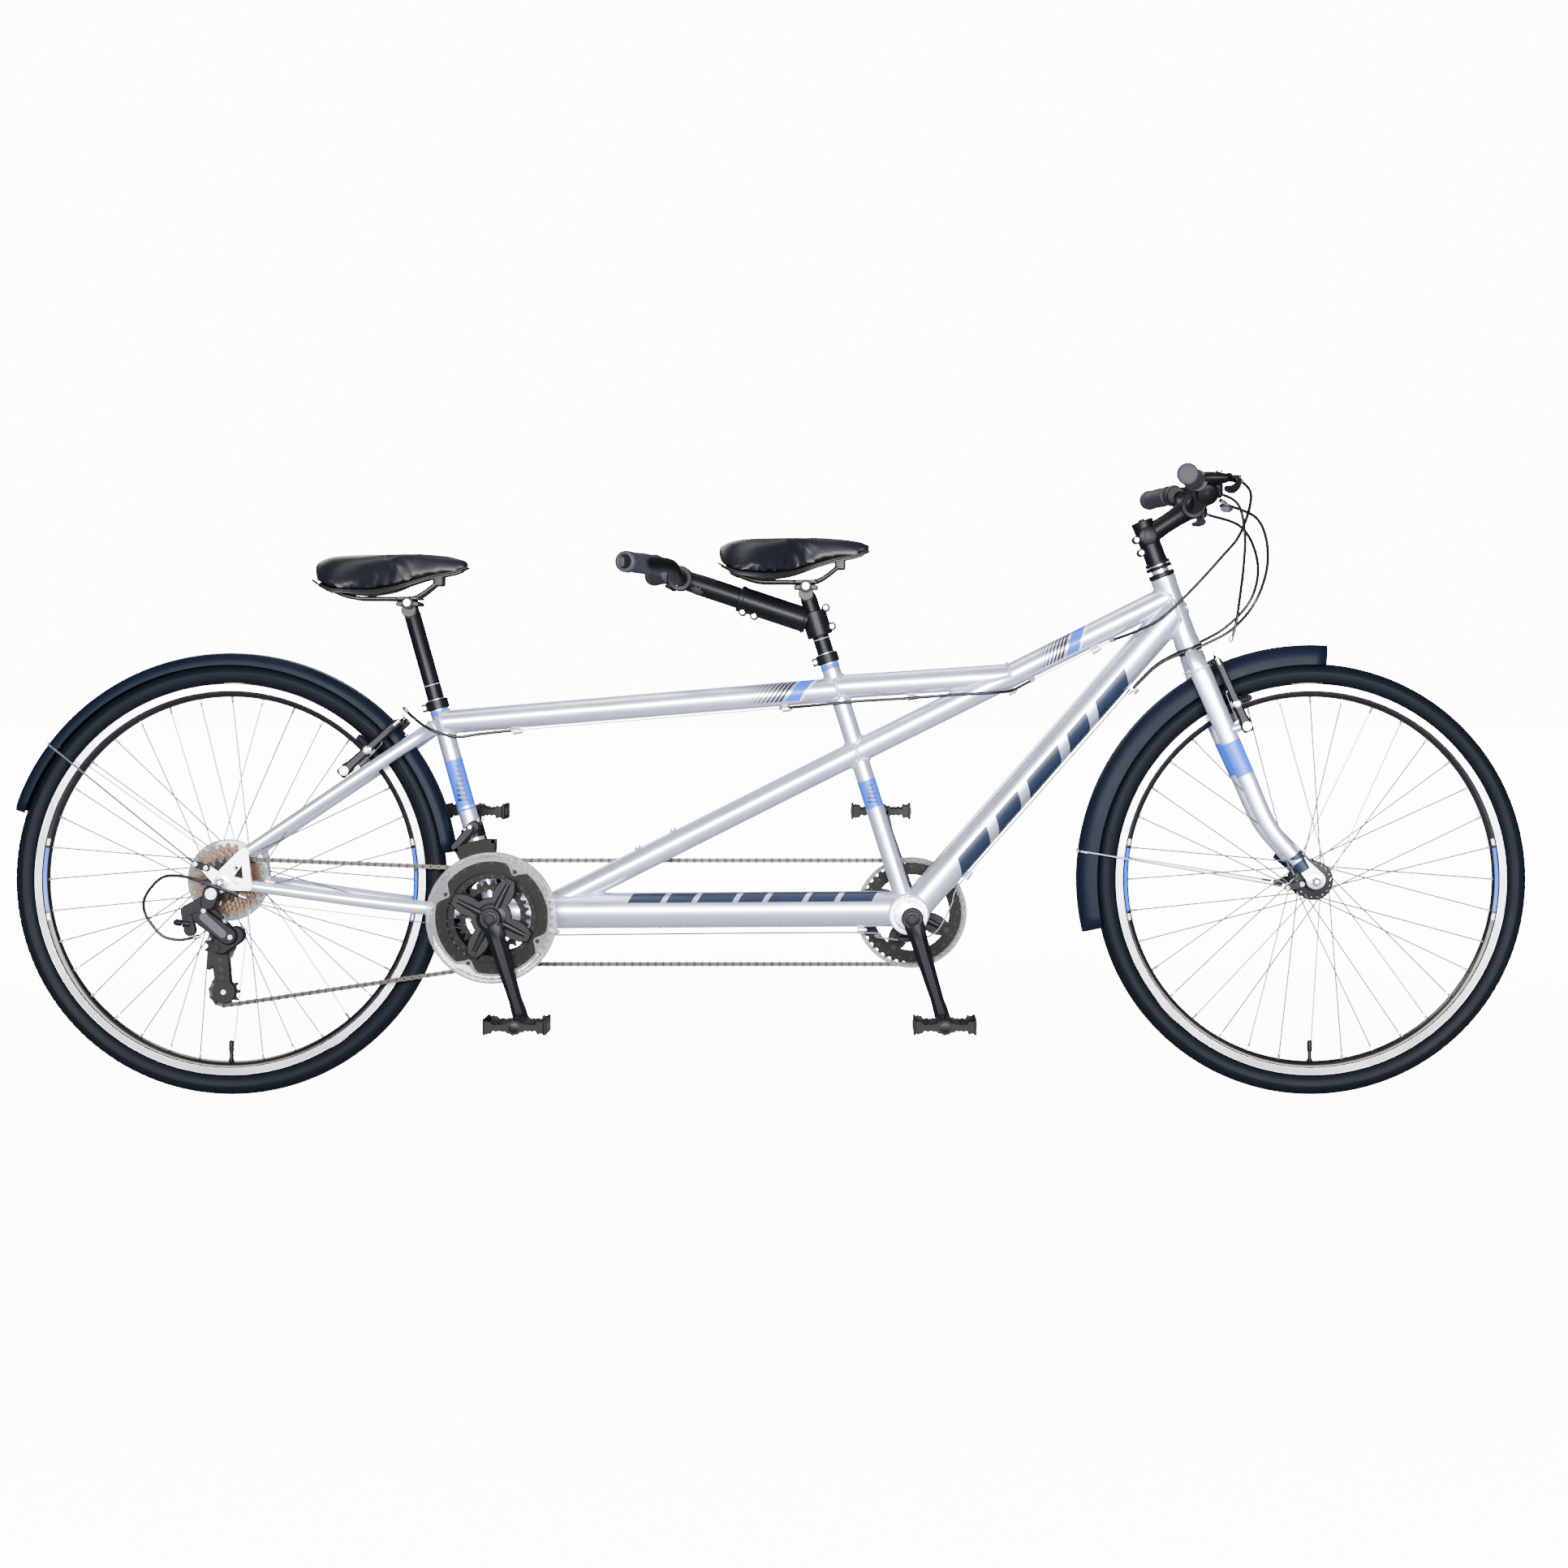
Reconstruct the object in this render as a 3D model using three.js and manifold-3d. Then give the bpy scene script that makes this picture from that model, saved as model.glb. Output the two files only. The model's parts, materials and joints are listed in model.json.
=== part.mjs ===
// A tandem bicycle for two riders, in millimetres.
// +X is forwards, +Y is the riders' left, +Z is up.
// The origin is on the ground, midway between the two axles, in the wheels' middle plane.
import * as THREE from 'three';
import { mergeVertices } from 'three/addons/utils/BufferGeometryUtils.js';
import Module from 'manifold-3d';

const wasm = await Module();
wasm.setup();

// ---------------------------------------------------------------- driving dimensions
const GAP = 0.3;                 // clearance between pieces that touch
const ARC = 3;                   // segments in each quarter of a small round end
const FLATNESS = 0.02;           // faces closer to one plane than this are joined
const PITCH = 12.7;              // chain pitch
const TYRE_R = 349;              // outer radius of the tyres
const WHEELBASE = 1748;
const BB_HEIGHT = 291;           // height of both crank axles
const BB_SPACING = 53 * PITCH;   // a whole number of chain links between the crank axles
const REAR_BB_X = -445;
const CRANK = 170;
const CRANK_ANGLE = THREE.MathUtils.degToRad(17);   // right cranks hang this far ahead of straight down
const HEAD_ANGLE = THREE.MathUtils.degToRad(20.5);  // steering axis, from the vertical
const HEAD_LENGTH = 120;
const BAR_HALF = 300;            // half the captain's handlebar width
const STOKER_BAR_HALF = 280;
const TIMING_TEETH = 42;
const RING_TEETH = [48, 38, 28];             // outer, middle, inner
const COG_TEETH = [28, 24, 22, 20, 18, 16, 14];
const COG_ON_CHAIN = 4;          // index of the cog that the chain runs on
const PULLEY_TEETH = 11;
const DRIVE_Y = -49;             // plane of the drive chain
const TIMING_Y = 50;             // plane of the timing chain
const RING_STEP = 7;
const COG_STEP = 5;
const CHAIN_WIDTH = 7;
const PLATE = 2.4;               // thickness of a toothed ring
const FENDER_HALF = 27;
const DROPOUT_Y = 67.5;          // inner face of the rear dropouts
const FORK_TIP_Y = 50;           // inner face of the fork tips
const POST_R = 13.6;             // seat posts
const POST_BORE = POST_R + GAP;  // the tubes and clamp round them
const BOTTLE_BOSSES = [323, 387]; // bottle bosses, from the upper end of the rear diagonal tube
const BOSS_TOP = 24;             // their flat tops, from that tube's middle

const v = (x, y, z) => new THREE.Vector3(x, y, z);
const rearAxle = v(-WHEELBASE / 2, 0, TYRE_R);
const frontAxle = v(WHEELBASE / 2, 0, TYRE_R);
const rearBB = v(REAR_BB_X, 0, BB_HEIGHT);
const frontBB = v(REAR_BB_X + BB_SPACING, 0, BB_HEIGHT);
const shellCentre = v(frontBB.x - 5, 0, BB_HEIGHT + 1);   // eccentric shell round the front axle
const headBottom = v(677, 0, 725);
const steerUp = v(-Math.sin(HEAD_ANGLE), 0, Math.cos(HEAD_ANGLE));
const headTop = headBottom.clone().addScaledVector(steerUp, HEAD_LENGTH);
const rearSeatTop = v(-543, 0, 640);
const frontSeatTop = v(89, 0, 715);
const rearSeatUp = rearSeatTop.clone().sub(rearBB).normalize();
const frontSeatUp = frontSeatTop.clone().sub(frontBB).normalize();
const guidePulley = v(-882, DRIVE_Y, 245);
const tensionPulley = v(-874, DRIVE_Y, 172);
const hangerBolt = v(-888, 0, 331);

const pitchRadius = (teeth) => PITCH / (2 * Math.sin(Math.PI / teeth));
const along = (start, direction, distance) => start.clone().addScaledVector(direction, distance);

// ---------------------------------------------------------------- materials
const finish = (color, roughness, metalness) => (
  new THREE.MeshStandardMaterial({ color, roughness, metalness }));
const FRAME = finish(0xa9b0c6, 0.35, 0.7);
const SILVER = finish(0xc9ccd4, 0.3, 0.9);
const BLACK = finish(0x17181c, 0.4, 0.3);
const RUBBER = finish(0x1d1d1f, 0.85, 0);
const GRIP = finish(0x3a3c44, 0.8, 0);
const VINYL = finish(0x1a1a1c, 0.6, 0);
const FENDER = finish(0x1b2033, 0.55, 0);
const STEEL = finish(0x6d5a48, 0.4, 0.9);
const CABLE = finish(0x141416, 0.5, 0);

// ---------------------------------------------------------------- solids
function solid(geometry) {
  const bare = new THREE.BufferGeometry();
  bare.setAttribute('position', geometry.getAttribute('position').clone());
  if (geometry.index) bare.setIndex(geometry.index.clone());
  const merged = mergeVertices(bare, 1e-3);
  const corners = [];
  for (let i = 0; i < merged.index.count; i += 3) {
    const [a, b, c] = [0, 1, 2].map((k) => merged.index.getX(i + k));
    if (a !== b && b !== c && c !== a) corners.push(a, b, c);
  }
  const vertProperties = new Float32Array(merged.attributes.position.array);
  const make = (list) => new wasm.Manifold(
    new wasm.Mesh({ numProp: 3, vertProperties, triVerts: new Uint32Array(list) }));
  const body = make(corners);
  if (body.volume() > 0) return body;
  for (let i = 0; i < corners.length; i += 3) {
    [corners[i], corners[i + 1]] = [corners[i + 1], corners[i]];
  }
  return make(corners);
}

const join = (...bodies) => bodies.reduce((a, b) => a.add(b));
const cut = (body, ...tools) => tools.reduce((a, b) => a.subtract(b), body);

// A tube end fitted to its neighbours: what they cut off is dropped.
const fitted = (body, ...tools) => cut(body, ...tools).decompose()
  .reduce((a, b) => (b.volume() > a.volume() ? b : a));

// A round bar between two points, straight or tapered.
function rod(a, b, ra, rb = ra, sides = 12) {
  const geometry = new THREE.CylinderGeometry(rb, ra, a.distanceTo(b), sides);
  const turn = new THREE.Quaternion().setFromUnitVectors(v(0, 1, 0), b.clone().sub(a).normalize());
  geometry.applyQuaternion(turn);
  const middle = a.clone().add(b).multiplyScalar(0.5);
  geometry.translate(middle.x, middle.y, middle.z);
  return solid(geometry);
}

// A round bar across the bicycle.
const crossRod = (x, z, y0, y1, r, sides = 16) => rod(v(x, y0, z), v(x, y1, z), r, r, sides);

// A round bar along a smooth curve.
function pipe(points, r, sides, steps) {
  const section = new THREE.Shape();
  for (let i = 0; i < sides; i += 1) {
    const angle = (2 * Math.PI * i) / sides;
    if (i === 0) section.moveTo(r, 0);
    else section.lineTo(r * Math.cos(angle), r * Math.sin(angle));
  }
  const extrudePath = new THREE.CatmullRomCurve3(points, false, 'centripetal');
  return solid(new THREE.ExtrudeGeometry(section, { steps, extrudePath, bevelEnabled: false }));
}

// A flat plate whose outline is drawn in x and z, between two places across the bicycle.
function plate(shape, y0, y1, curveSegments = ARC) {
  const depth = Math.abs(y1 - y0);
  const geometry = new THREE.ExtrudeGeometry(shape, { depth, curveSegments, bevelEnabled: false });
  geometry.rotateX(Math.PI / 2);
  geometry.translate(0, Math.max(y0, y1), 0);
  return solid(geometry);
}

// A body of revolution about an axle; its profile is (radius, place across) and closes on itself.
function turned(centre, profile, segments) {
  const points = [...profile, profile[0]].map(([r, y]) => new THREE.Vector2(r, y));
  const geometry = new THREE.LatheGeometry(points, segments);
  geometry.translate(centre.x, centre.y, centre.z);
  return solid(geometry);
}

// A section carried through a row of places, closed at both ends.
function sweep(section, count, place) {
  const size = section.length;
  const positions = [];
  const index = [];
  for (let i = 0; i <= count; i += 1) {
    section.forEach(([u, w]) => positions.push(...place(i / count, u, w).toArray()));
  }
  for (let i = 0; i < count; i += 1) {
    for (let k = 0; k < size; k += 1) {
      const a = i * size + k;
      const b = i * size + ((k + 1) % size);
      index.push(a, b, b + size, a, b + size, a + size);
    }
  }
  const outline = section.map(([u, w]) => new THREE.Vector2(u, w));
  const cap = THREE.ShapeUtils.triangulateShape(outline, []);
  const direct = THREE.ShapeUtils.area(outline) > 0;
  cap.forEach(([a, b, c]) => {
    const last = count * size;
    const [p, q] = direct ? [b, a] : [a, b];
    index.push(p, q, c);
    index.push(q + last, p + last, c + last);
  });
  const geometry = new THREE.BufferGeometry();
  geometry.setAttribute('position', new THREE.Float32BufferAttribute(positions, 3));
  geometry.setIndex(index);
  return solid(geometry);
}

// A round-ended link outline between two centres in x and z.
function link(a, b, ra, rb) {
  const lean = Math.atan2(b.z - a.z, b.x - a.x);
  const spread = Math.acos((ra - rb) / Math.hypot(b.x - a.x, b.z - a.z));
  const shape = new THREE.Shape();
  shape.absarc(a.x, a.z, ra, lean + spread, lean + 2 * Math.PI - spread, false);
  shape.absarc(b.x, b.z, rb, lean - spread, lean + spread, false);
  return shape;
}

const oval = (sides) => Array.from({ length: sides }, (_, i) => {
  const angle = (2 * Math.PI * i) / sides;
  return [Math.cos(angle), Math.sin(angle)];
});

// A tapered oval tube through a row of points, each with its half width across and half depth.
function stay(points, sides = 8) {
  return sweep(oval(sides), points.length - 1, (t, u, w) => {
    const i = Math.round(t * (points.length - 1));
    const before = points[Math.max(i - 1, 0)].at;
    const after = points[Math.min(i + 1, points.length - 1)].at;
    const forward = after.clone().sub(before).normalize();
    const depth = forward.clone().cross(v(0, 1, 0)).normalize();
    const across = depth.clone().cross(forward).normalize();
    const { at, half, deep } = points[i];
    return at.clone().addScaledVector(across, u * half).addScaledVector(depth, w * deep);
  });
}

// A toothed ring in its own plane. Where a chain runs on it, it has triangular teeth; elsewhere its
// rim has one corner for each tooth.
function toothed(centre, teeth, y, hole, meshing = true, thickness = PLATE) {
  const pitch = pitchRadius(teeth);
  const shape = new THREE.Shape();
  for (let i = 0; i < teeth; i += 1) {
    const root = (2 * Math.PI * i) / teeth;
    const tip = root + Math.PI / teeth;
    const rim = meshing ? pitch - 4 : pitch + 1;
    const from = [centre.x + rim * Math.cos(root), centre.z + rim * Math.sin(root)];
    if (i === 0) shape.moveTo(...from);
    else shape.lineTo(...from);
    if (meshing) {
      shape.lineTo(centre.x + (pitch + 3.4) * Math.cos(tip), centre.z + (pitch + 3.4) * Math.sin(tip));
    }
  }
  if (hole > 0) {
    const opening = new THREE.Path();
    opening.absarc(centre.x, centre.z, hole, 0, 2 * Math.PI, true);
    shape.holes.push(opening);
  }
  return plate(shape, y - thickness / 2, y + thickness / 2, 6);
}

const group = new THREE.Group();
function add(name, body, material) {
  const { vertProperties, triVerts } = body.asOriginal().simplify(FLATNESS).getMesh();
  const geometry = new THREE.BufferGeometry();
  geometry.setAttribute('position', new THREE.BufferAttribute(new Float32Array(vertProperties), 3));
  geometry.setIndex(new THREE.BufferAttribute(new Uint32Array(triVerts), 1));
  geometry.computeVertexNormals();
  const mesh = new THREE.Mesh(geometry, material);
  mesh.name = name;
  group.add(mesh);
}

// ---------------------------------------------------------------- frame
const tubes = {
  head: { a: headBottom, b: headTop, r: 19.5 },
  rearSeat: { a: rearBB, b: rearSeatTop, r: 15 },
  frontSeat: { a: shellCentre, b: frontSeatTop, r: 15 },
  rearTop: { a: v(-532, 0, 603), b: v(108, 0, 656), r: 19.5 },
  frontTop: { a: v(108, 0, 660), b: v(395, 0, 679), r: 19.5 },
  diagonalFront: { a: v(139, 0, 555), b: v(654, 0, 811), r: 19.5 },
  diagonalRear: { a: v(139, 0, 555), b: v(-329, 0, 320), r: 19.5 },
  down: { a: shellCentre, b: v(660, 0, 790), r: 26 },
  boom: { a: v(rearBB.x, 0, 297), b: v(shellCentre.x, 0, 301), r: 29 },
};
const tube = ({ a, b, r }, grow = 0) => rod(a, b, r + grow, r + grow, 14);
const shellSolid = (centre, r, half, grow = 0) => (
  crossRod(centre.x, centre.z, -half - grow, half + grow, r + grow, 20));
const REAR_SHELL_R = 21;
const FRONT_SHELL_R = 31;
const SHELL_HALF = 34;

// A seat tube with its crank shell below and, at the top, the collar that clamps the seat post.
function seatTube({ a, b, r }, up, shell, shellR, axle) {
  const collar = rod(along(b, up, -14), along(b, up, 4), r + 3.5, r + 3.5, 12);
  const boltMiddle = along(b, up, -10).add(v(-r - 7, 0, 0));
  const lug = rod(boltMiddle.clone().setY(-9), boltMiddle.clone().setY(9), 5, 5, 8);
  const ear = rod(along(b, up, -10), boltMiddle, 5, 5, 8);
  const bore = rod(along(b, up, -140), along(b, up, 20), POST_BORE, POST_BORE, 16);
  const body = join(rod(a, b, r, r, 14), collar, lug, ear, shellSolid(shell, shellR, SHELL_HALF));
  return cut(body, bore, crossRod(axle.x, axle.z, -40, 40, 16));
}

// The head tube, open for the steerer, with a bearing cup at each end.
function headTube() {
  const cup = (at, side) => rod(along(at, steerUp, -side * 4), along(at, steerUp, side * 12), 22, 20, 16);
  const lower = cup(headBottom, -1);
  const upper = cup(headTop, 1);
  const bore = rod(along(headBottom, steerUp, -30), along(headTop, steerUp, 30), 16, 16, 16);
  return cut(join(tube(tubes.head), lower, upper), bore);
}

function addMainFrame() {
  const grown = (name) => tube(tubes[name], GAP);
  const rearShell = shellSolid(rearBB, REAR_SHELL_R, SHELL_HALF, GAP);
  const frontShell = shellSolid(shellCentre, FRONT_SHELL_R, SHELL_HALF, GAP);
  const bosses = BOTTLE_BOSSES.map((distance) => {
    const { a, b } = tubes.diagonalRear;
    const forward = b.clone().sub(a).normalize();
    const out = v(forward.z, 0, -forward.x);
    const foot = along(a, forward, distance);
    return rod(along(foot, out, 15), along(foot, out, BOSS_TOP), 6, 6, 8);
  });
  const band = rod(along(rearBB, rearSeatUp, 128), along(rearBB, rearSeatUp, 150), 18, 18, 16);
  const seat = seatTube(tubes.rearSeat, rearSeatUp, rearBB, REAR_SHELL_R, rearBB);
  add('head_tube', headTube(), FRAME);
  add('rear_seat_tube', join(seat, cut(band, tube(tubes.rearSeat, -2))), FRAME);
  add('front_seat_tube',
    seatTube(tubes.frontSeat, frontSeatUp, shellCentre, FRONT_SHELL_R, frontBB), FRAME);
  add('rear_top_tube', fitted(tube(tubes.rearTop), grown('rearSeat'), grown('frontSeat')), FRAME);
  add('front_top_tube', fitted(tube(tubes.frontTop), grown('frontSeat'), grown('diagonalFront')), FRAME);
  add('diagonal_tube_front', fitted(tube(tubes.diagonalFront), grown('frontSeat'), grown('head'),
    grown('diagonalRear')), FRAME);
  add('diagonal_tube_rear', fitted(join(tube(tubes.diagonalRear), ...bosses), grown('frontSeat'),
    grown('boom')), FRAME);
  add('down_tube', fitted(tube(tubes.down), grown('head'), grown('diagonalFront'), frontShell,
    grown('frontSeat')), FRAME);
  add('boom_tube', fitted(tube(tubes.boom), rearShell, frontShell, grown('rearSeat'), grown('frontSeat'),
    grown('down')), FRAME);
}

// A rear dropout plate; the right one carries the derailleur hanger.
function dropout(side) {
  const y0 = side * DROPOUT_Y;
  const y1 = side * (DROPOUT_Y + 5);
  const shapes = [
    link(v(-838, 0, 344), rearAxle, 12, 17),
    link(v(-846, 0, 388), rearAxle, 10, 17),
  ];
  if (side < 0) shapes.push(link(rearAxle, hangerBolt, 14, 9));
  return cut(join(...shapes.map((shape) => plate(shape, y0, y1))),
    crossRod(rearAxle.x, rearAxle.z, y0 - 9, y0 + 9, 5.2));
}

function addStays() {
  const seatTube = tube(tubes.rearSeat, GAP);
  const shell = shellSolid(rearBB, REAR_SHELL_R, SHELL_HALF, GAP);
  const boom = tube(tubes.boom, GAP);
  [1, -1].forEach((side) => {
    const word = side > 0 ? 'left' : 'right';
    const seatPoints = [
      { at: v(-541, side * 12, 597), half: 9, deep: 12 },
      { at: v(-582, side * 39, 569), half: 8.5, deep: 12 },
      { at: v(-700, side * 52, 489), half: 8.5, deep: 11 },
      { at: v(-842, side * 64.5, 393), half: 7.5, deep: 9 },
    ];
    const chainPoints = [
      { at: v(-458, side * 24, 295), half: 8, deep: 14 },
      { at: v(-520, side * 31, 301), half: 8.5, deep: 15 },
      { at: v(-640, side * 46, 315), half: 8.5, deep: 14 },
      { at: v(-836, side * 64.5, 343), half: 7.5, deep: 12 },
    ];
    const plates = dropout(side);
    const grownPlates = join(plates.translate([GAP, 0, GAP]), plates.translate([-GAP, 0, GAP]));
    const seatStay = fitted(stay(seatPoints), seatTube, grownPlates, tube(tubes.rearTop, GAP));
    const bridge = crossRod(-579, 574, -24, 35, 5.5, 8);
    const whole = side > 0 ? join(seatStay, bridge) : seatStay;
    add(`seatstay_${word}`, whole, FRAME);
    add(`chainstay_${word}`, join(fitted(stay(chainPoints), shell, seatTube, boom), plates), FRAME);
  });
}

// ---------------------------------------------------------------- fork, fenders
function addFork() {
  const crown = along(headBottom, steerUp, -29);
  const steerer = rod(along(crown, steerUp, -4), along(headTop, steerUp, 14), 14.3, 14.3, 10);
  const race = rod(along(headBottom, steerUp, -22), along(headBottom, steerUp, -12.4), 20, 21, 12);
  const blade = (side) => stay([
    { at: v(684, side * 42, 712), half: 9.5, deep: 18 },
    { at: v(730, side * 43, 594), half: 9.5, deep: 18 },
    { at: v(766, side * 46, 513), half: 9.5, deep: 17 },
    { at: v(801, side * 50, 437), half: 9, deep: 15 },
    { at: v(852, side * 53, 374), half: 7, deep: 12 },
  ]);
  const tip = (side) => (
    plate(link(v(850, 0, 378), frontAxle, 11, 15), side * FORK_TIP_Y, side * (FORK_TIP_Y + 6)));
  const boss = (side) => rod(v(732, side * 43, 590), v(752, side * 43, 597), 6, 6, 8);
  const parts = [1, -1].flatMap((side) => [blade(side), tip(side), boss(side)]);
  const body = join(crossBar(crown), steerer, race, ...parts);
  add('fork', cut(body, crossRod(frontAxle.x, frontAxle.z, -70, 70, 5.2, 12)), FRAME);
}

// The fork crown: a deep oval bar across the top of the blades.
function crossBar(crown) {
  return sweep(oval(8), 4, (t, u, w) => {
    const y = (t - 0.5) * 2 * 50;
    const drop = 0.0015 * y * y;
    const ahead = v(Math.cos(HEAD_ANGLE), 0, Math.sin(HEAD_ANGLE));
    return along(along(v(crown.x, y, crown.z), ahead, 19 * u), steerUp, 13 * w - drop);
  });
}

// A mudguard: a thin arched strip round part of a wheel, between two angles from straight ahead.
function fender(axle, radius, from, to, steps) {
  const arch = [-1, -0.8, 0, 0.8, 1];
  const outer = arch.map((s) => [s * FENDER_HALF, radius - 14 * s * s * s * s]);
  const inner = arch.map((s) => [s * (FENDER_HALF - 2), radius - 2.4 - 12 * s * s * s * s]).reverse();
  return sweep([...outer, ...inner], steps, (t, u, w) => {
    const angle = THREE.MathUtils.degToRad(from + t * (to - from));
    return v(axle.x + w * Math.cos(angle), u, axle.z + w * Math.sin(angle));
  });
}

// A wire from the mudguard's edge to its foot near the axle, on both sides.
const WIRE_R = 1.9;
function fenderWires(axle, radius, degrees, foot) {
  const angle = THREE.MathUtils.degToRad(degrees);
  const edge = radius - 9;
  const top = v(axle.x + edge * Math.cos(angle), FENDER_HALF - 2.4, axle.z + edge * Math.sin(angle));
  return [1, -1].map((side) => (
    rod(v(top.x, side * top.y, top.z), v(foot.x, side * foot.y, foot.z), WIRE_R, WIRE_R, 4)));
}

const REAR_FENDER_R = 358;
const FRONT_FENDER_R = 371;
function addFenders() {
  const rearLink = [1, -1].map((side) => (
    plate(link(v(-915, 0, 378), v(-893, 0, 354), 9, 7), side * 73, side * 77)));
  const frontLink = [1, -1].map((side) => (
    plate(link(v(820, 0, 342), v(842, 0, 345), 7, 7), side * 61, side * 65)));
  const rear = join(fender(rearAxle, REAR_FENDER_R, 7, 162, 14),
    ...fenderWires(rearAxle, REAR_FENDER_R, 143, v(-915, 75, 378)), ...rearLink);
  const front = join(fender(frontAxle, FRONT_FENDER_R, 86, 193, 10),
    ...fenderWires(frontAxle, FRONT_FENDER_R, 173, v(820, 63, 342)), ...frontLink);
  const seatTubes = tube(tubes.rearSeat, 2);
  add('rear_fender', cut(rear, seatTubes), FENDER);
  add('front_fender', front, FENDER);
}

// ---------------------------------------------------------------- wheels
const RIM_R = 317;
const SPOKES = 36;
const SPOKE_R = 1.2;
const SPOKE_END_R = 298;         // where the spokes enter the rim
const SPOKE_LEAN = THREE.MathUtils.degToRad(62);    // between a spoke's two ends, about the axle
const TYRE_HALF = 19;            // half the tyre's width
const TYRE_DEEP = 17.5;          // half its depth from tread to bead
function wheel(axle, flanges, flangeR) {
  const rim = turned(axle, [
    [RIM_R, -12.5], [304, -12.5], [295, -7], [295, 7], [304, 12.5], [RIM_R, 12.5], [311, 0],
  ], 32);
  const [left, right] = flanges;
  const hub = turned(axle, [
    [5.6, right - 8], [14, right - 8], [14, right - 2], [flangeR + 4, right - 2], [flangeR + 4, right + 2],
    [13, right + 6], [13, left - 6], [flangeR + 4, left - 2], [flangeR + 4, left + 2],
    [14, left + 2], [14, left + 8], [5.6, left + 8],
  ], 10);
  const spokes = [];
  for (let i = 0; i < SPOKES; i += 1) {
    const rimAngle = (2 * Math.PI * (i + 0.5)) / SPOKES;
    const flange = i % 2 ? left : right;
    const lean = i % 4 < 2 ? 1 : -1;
    const hubAngle = rimAngle + lean * SPOKE_LEAN;
    const around = (angle, r, y) => v(axle.x + r * Math.cos(angle), y, axle.z + r * Math.sin(angle));
    const foot = around(hubAngle, flangeR, flange + 2 * lean);
    const head = around(rimAngle, SPOKE_END_R, Math.sign(flange) * 2);
    spokes.push(rod(foot, head, SPOKE_R, SPOKE_R, 3));
  }
  return join(rim, hub, ...spokes);
}

function tyre(axle) {
  const middle = TYRE_R - TYRE_DEEP;
  const profile = oval(8).map(([u, w]) => [middle + TYRE_DEEP * u, TYRE_HALF * w]);
  return turned(axle, profile, 32);
}

// Axle, skewer, end nut and cam lever as one assembly.
function skewer(axle, half, leverAngle) {
  const side = v(axle.x, half + 9, axle.z);
  const tip = side.clone().add(v(46 * Math.cos(leverAngle), 8, 46 * Math.sin(leverAngle)));
  return join(
    crossRod(axle.x, axle.z, -half - 6, half + 8, 4.6, 8),
    crossRod(axle.x, axle.z, -half - 14, -half - GAP, 10, 10),
    crossRod(axle.x, axle.z, half + GAP, half + 13, 9, 10),
    rod(side, tip, 5, 4, 8),
  );
}

function addWheels() {
  add('front_tyre', tyre(frontAxle), RUBBER);
  add('front_wheel', wheel(frontAxle, [34, -34], 24), SILVER);
  add('front_skewer', skewer(frontAxle, 56, 2.6), SILVER);
  add('rear_tyre', tyre(rearAxle), RUBBER);
  add('rear_wheel', wheel(rearAxle, [36, -22], 28), SILVER);
  add('rear_skewer', skewer(rearAxle, 72.5, 0.15), SILVER);
}

// ---------------------------------------------------------------- chains
// The loop that a chain follows round toothed wheels, each turning clockwise (1) or not (-1),
// seen from the right. Points are on the pitch line.
function chainLoop(wheels, arcStep) {
  const touch = wheels.map((from, i) => {
    const to = wheels[(i + 1) % wheels.length];
    const gap = to.at.clone().sub(from.at);
    const heading = Math.atan2(gap.z, gap.x);
    const tilt = Math.asin((to.turn * to.r - from.turn * from.r) / Math.hypot(gap.x, gap.z));
    return heading + tilt + Math.PI / 2;
  });
  return wheels.flatMap((spot, i) => {
    const arrive = touch[(i + wheels.length - 1) % wheels.length];
    const leave = touch[i];
    let swing = (leave - arrive) % (2 * Math.PI);
    if (spot.turn > 0 && swing > 0) swing -= 2 * Math.PI;
    if (spot.turn < 0 && swing < 0) swing += 2 * Math.PI;
    const steps = Math.max(2, Math.ceil(Math.abs(swing) / arcStep));
    return Array.from({ length: steps + 1 }, (_, k) => {
      const angle = arrive + (swing * k) / steps;
      const reach = spot.r * spot.turn;
      const x = spot.at.x + reach * Math.cos(angle);
      return new THREE.Vector2(x, spot.at.z + reach * Math.sin(angle));
    });
  });
}

// A chain as one flat band on its pitch line, slotted where the toothed discs enter it.
const CHAIN_HALF = 4.2;          // half the height of a link
function chain(wheels, y, discs) {
  const grow = (amount) => chainLoop(wheels.map((w) => ({ ...w, r: w.r + amount * w.turn })), 0.42);
  const shape = new THREE.Shape(grow(CHAIN_HALF).reverse());
  shape.holes.push(new THREE.Path(grow(-CHAIN_HALF)));
  const slots = discs.map(({ at, r }) => (
    crossRod(at.x, at.z, y - PLATE / 2 - 0.5, y + PLATE / 2 + 0.5, r + CHAIN_HALF + 0.2, 26)));
  return cut(plate(shape, y - CHAIN_WIDTH / 2, y + CHAIN_WIDTH / 2), ...slots);
}

function addChains() {
  const timing = pitchRadius(TIMING_TEETH);
  const timingWheels = [{ at: rearBB, r: timing, turn: 1 }, { at: frontBB, r: timing, turn: 1 }];
  const ring = { at: rearBB, r: pitchRadius(RING_TEETH[1]), turn: 1 };
  const cog = { at: rearAxle, r: pitchRadius(COG_TEETH[COG_ON_CHAIN]), turn: 1 };
  const guide = { at: guidePulley, r: pitchRadius(PULLEY_TEETH), turn: -1 };
  const tension = { at: tensionPulley, r: pitchRadius(PULLEY_TEETH), turn: 1 };
  const driveWheels = [ring, tension, guide, cog];
  add('timing_chain', chain(timingWheels, TIMING_Y, timingWheels), STEEL);
  add('drive_chain', chain(driveWheels, DRIVE_Y, driveWheels), STEEL);
}

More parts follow.
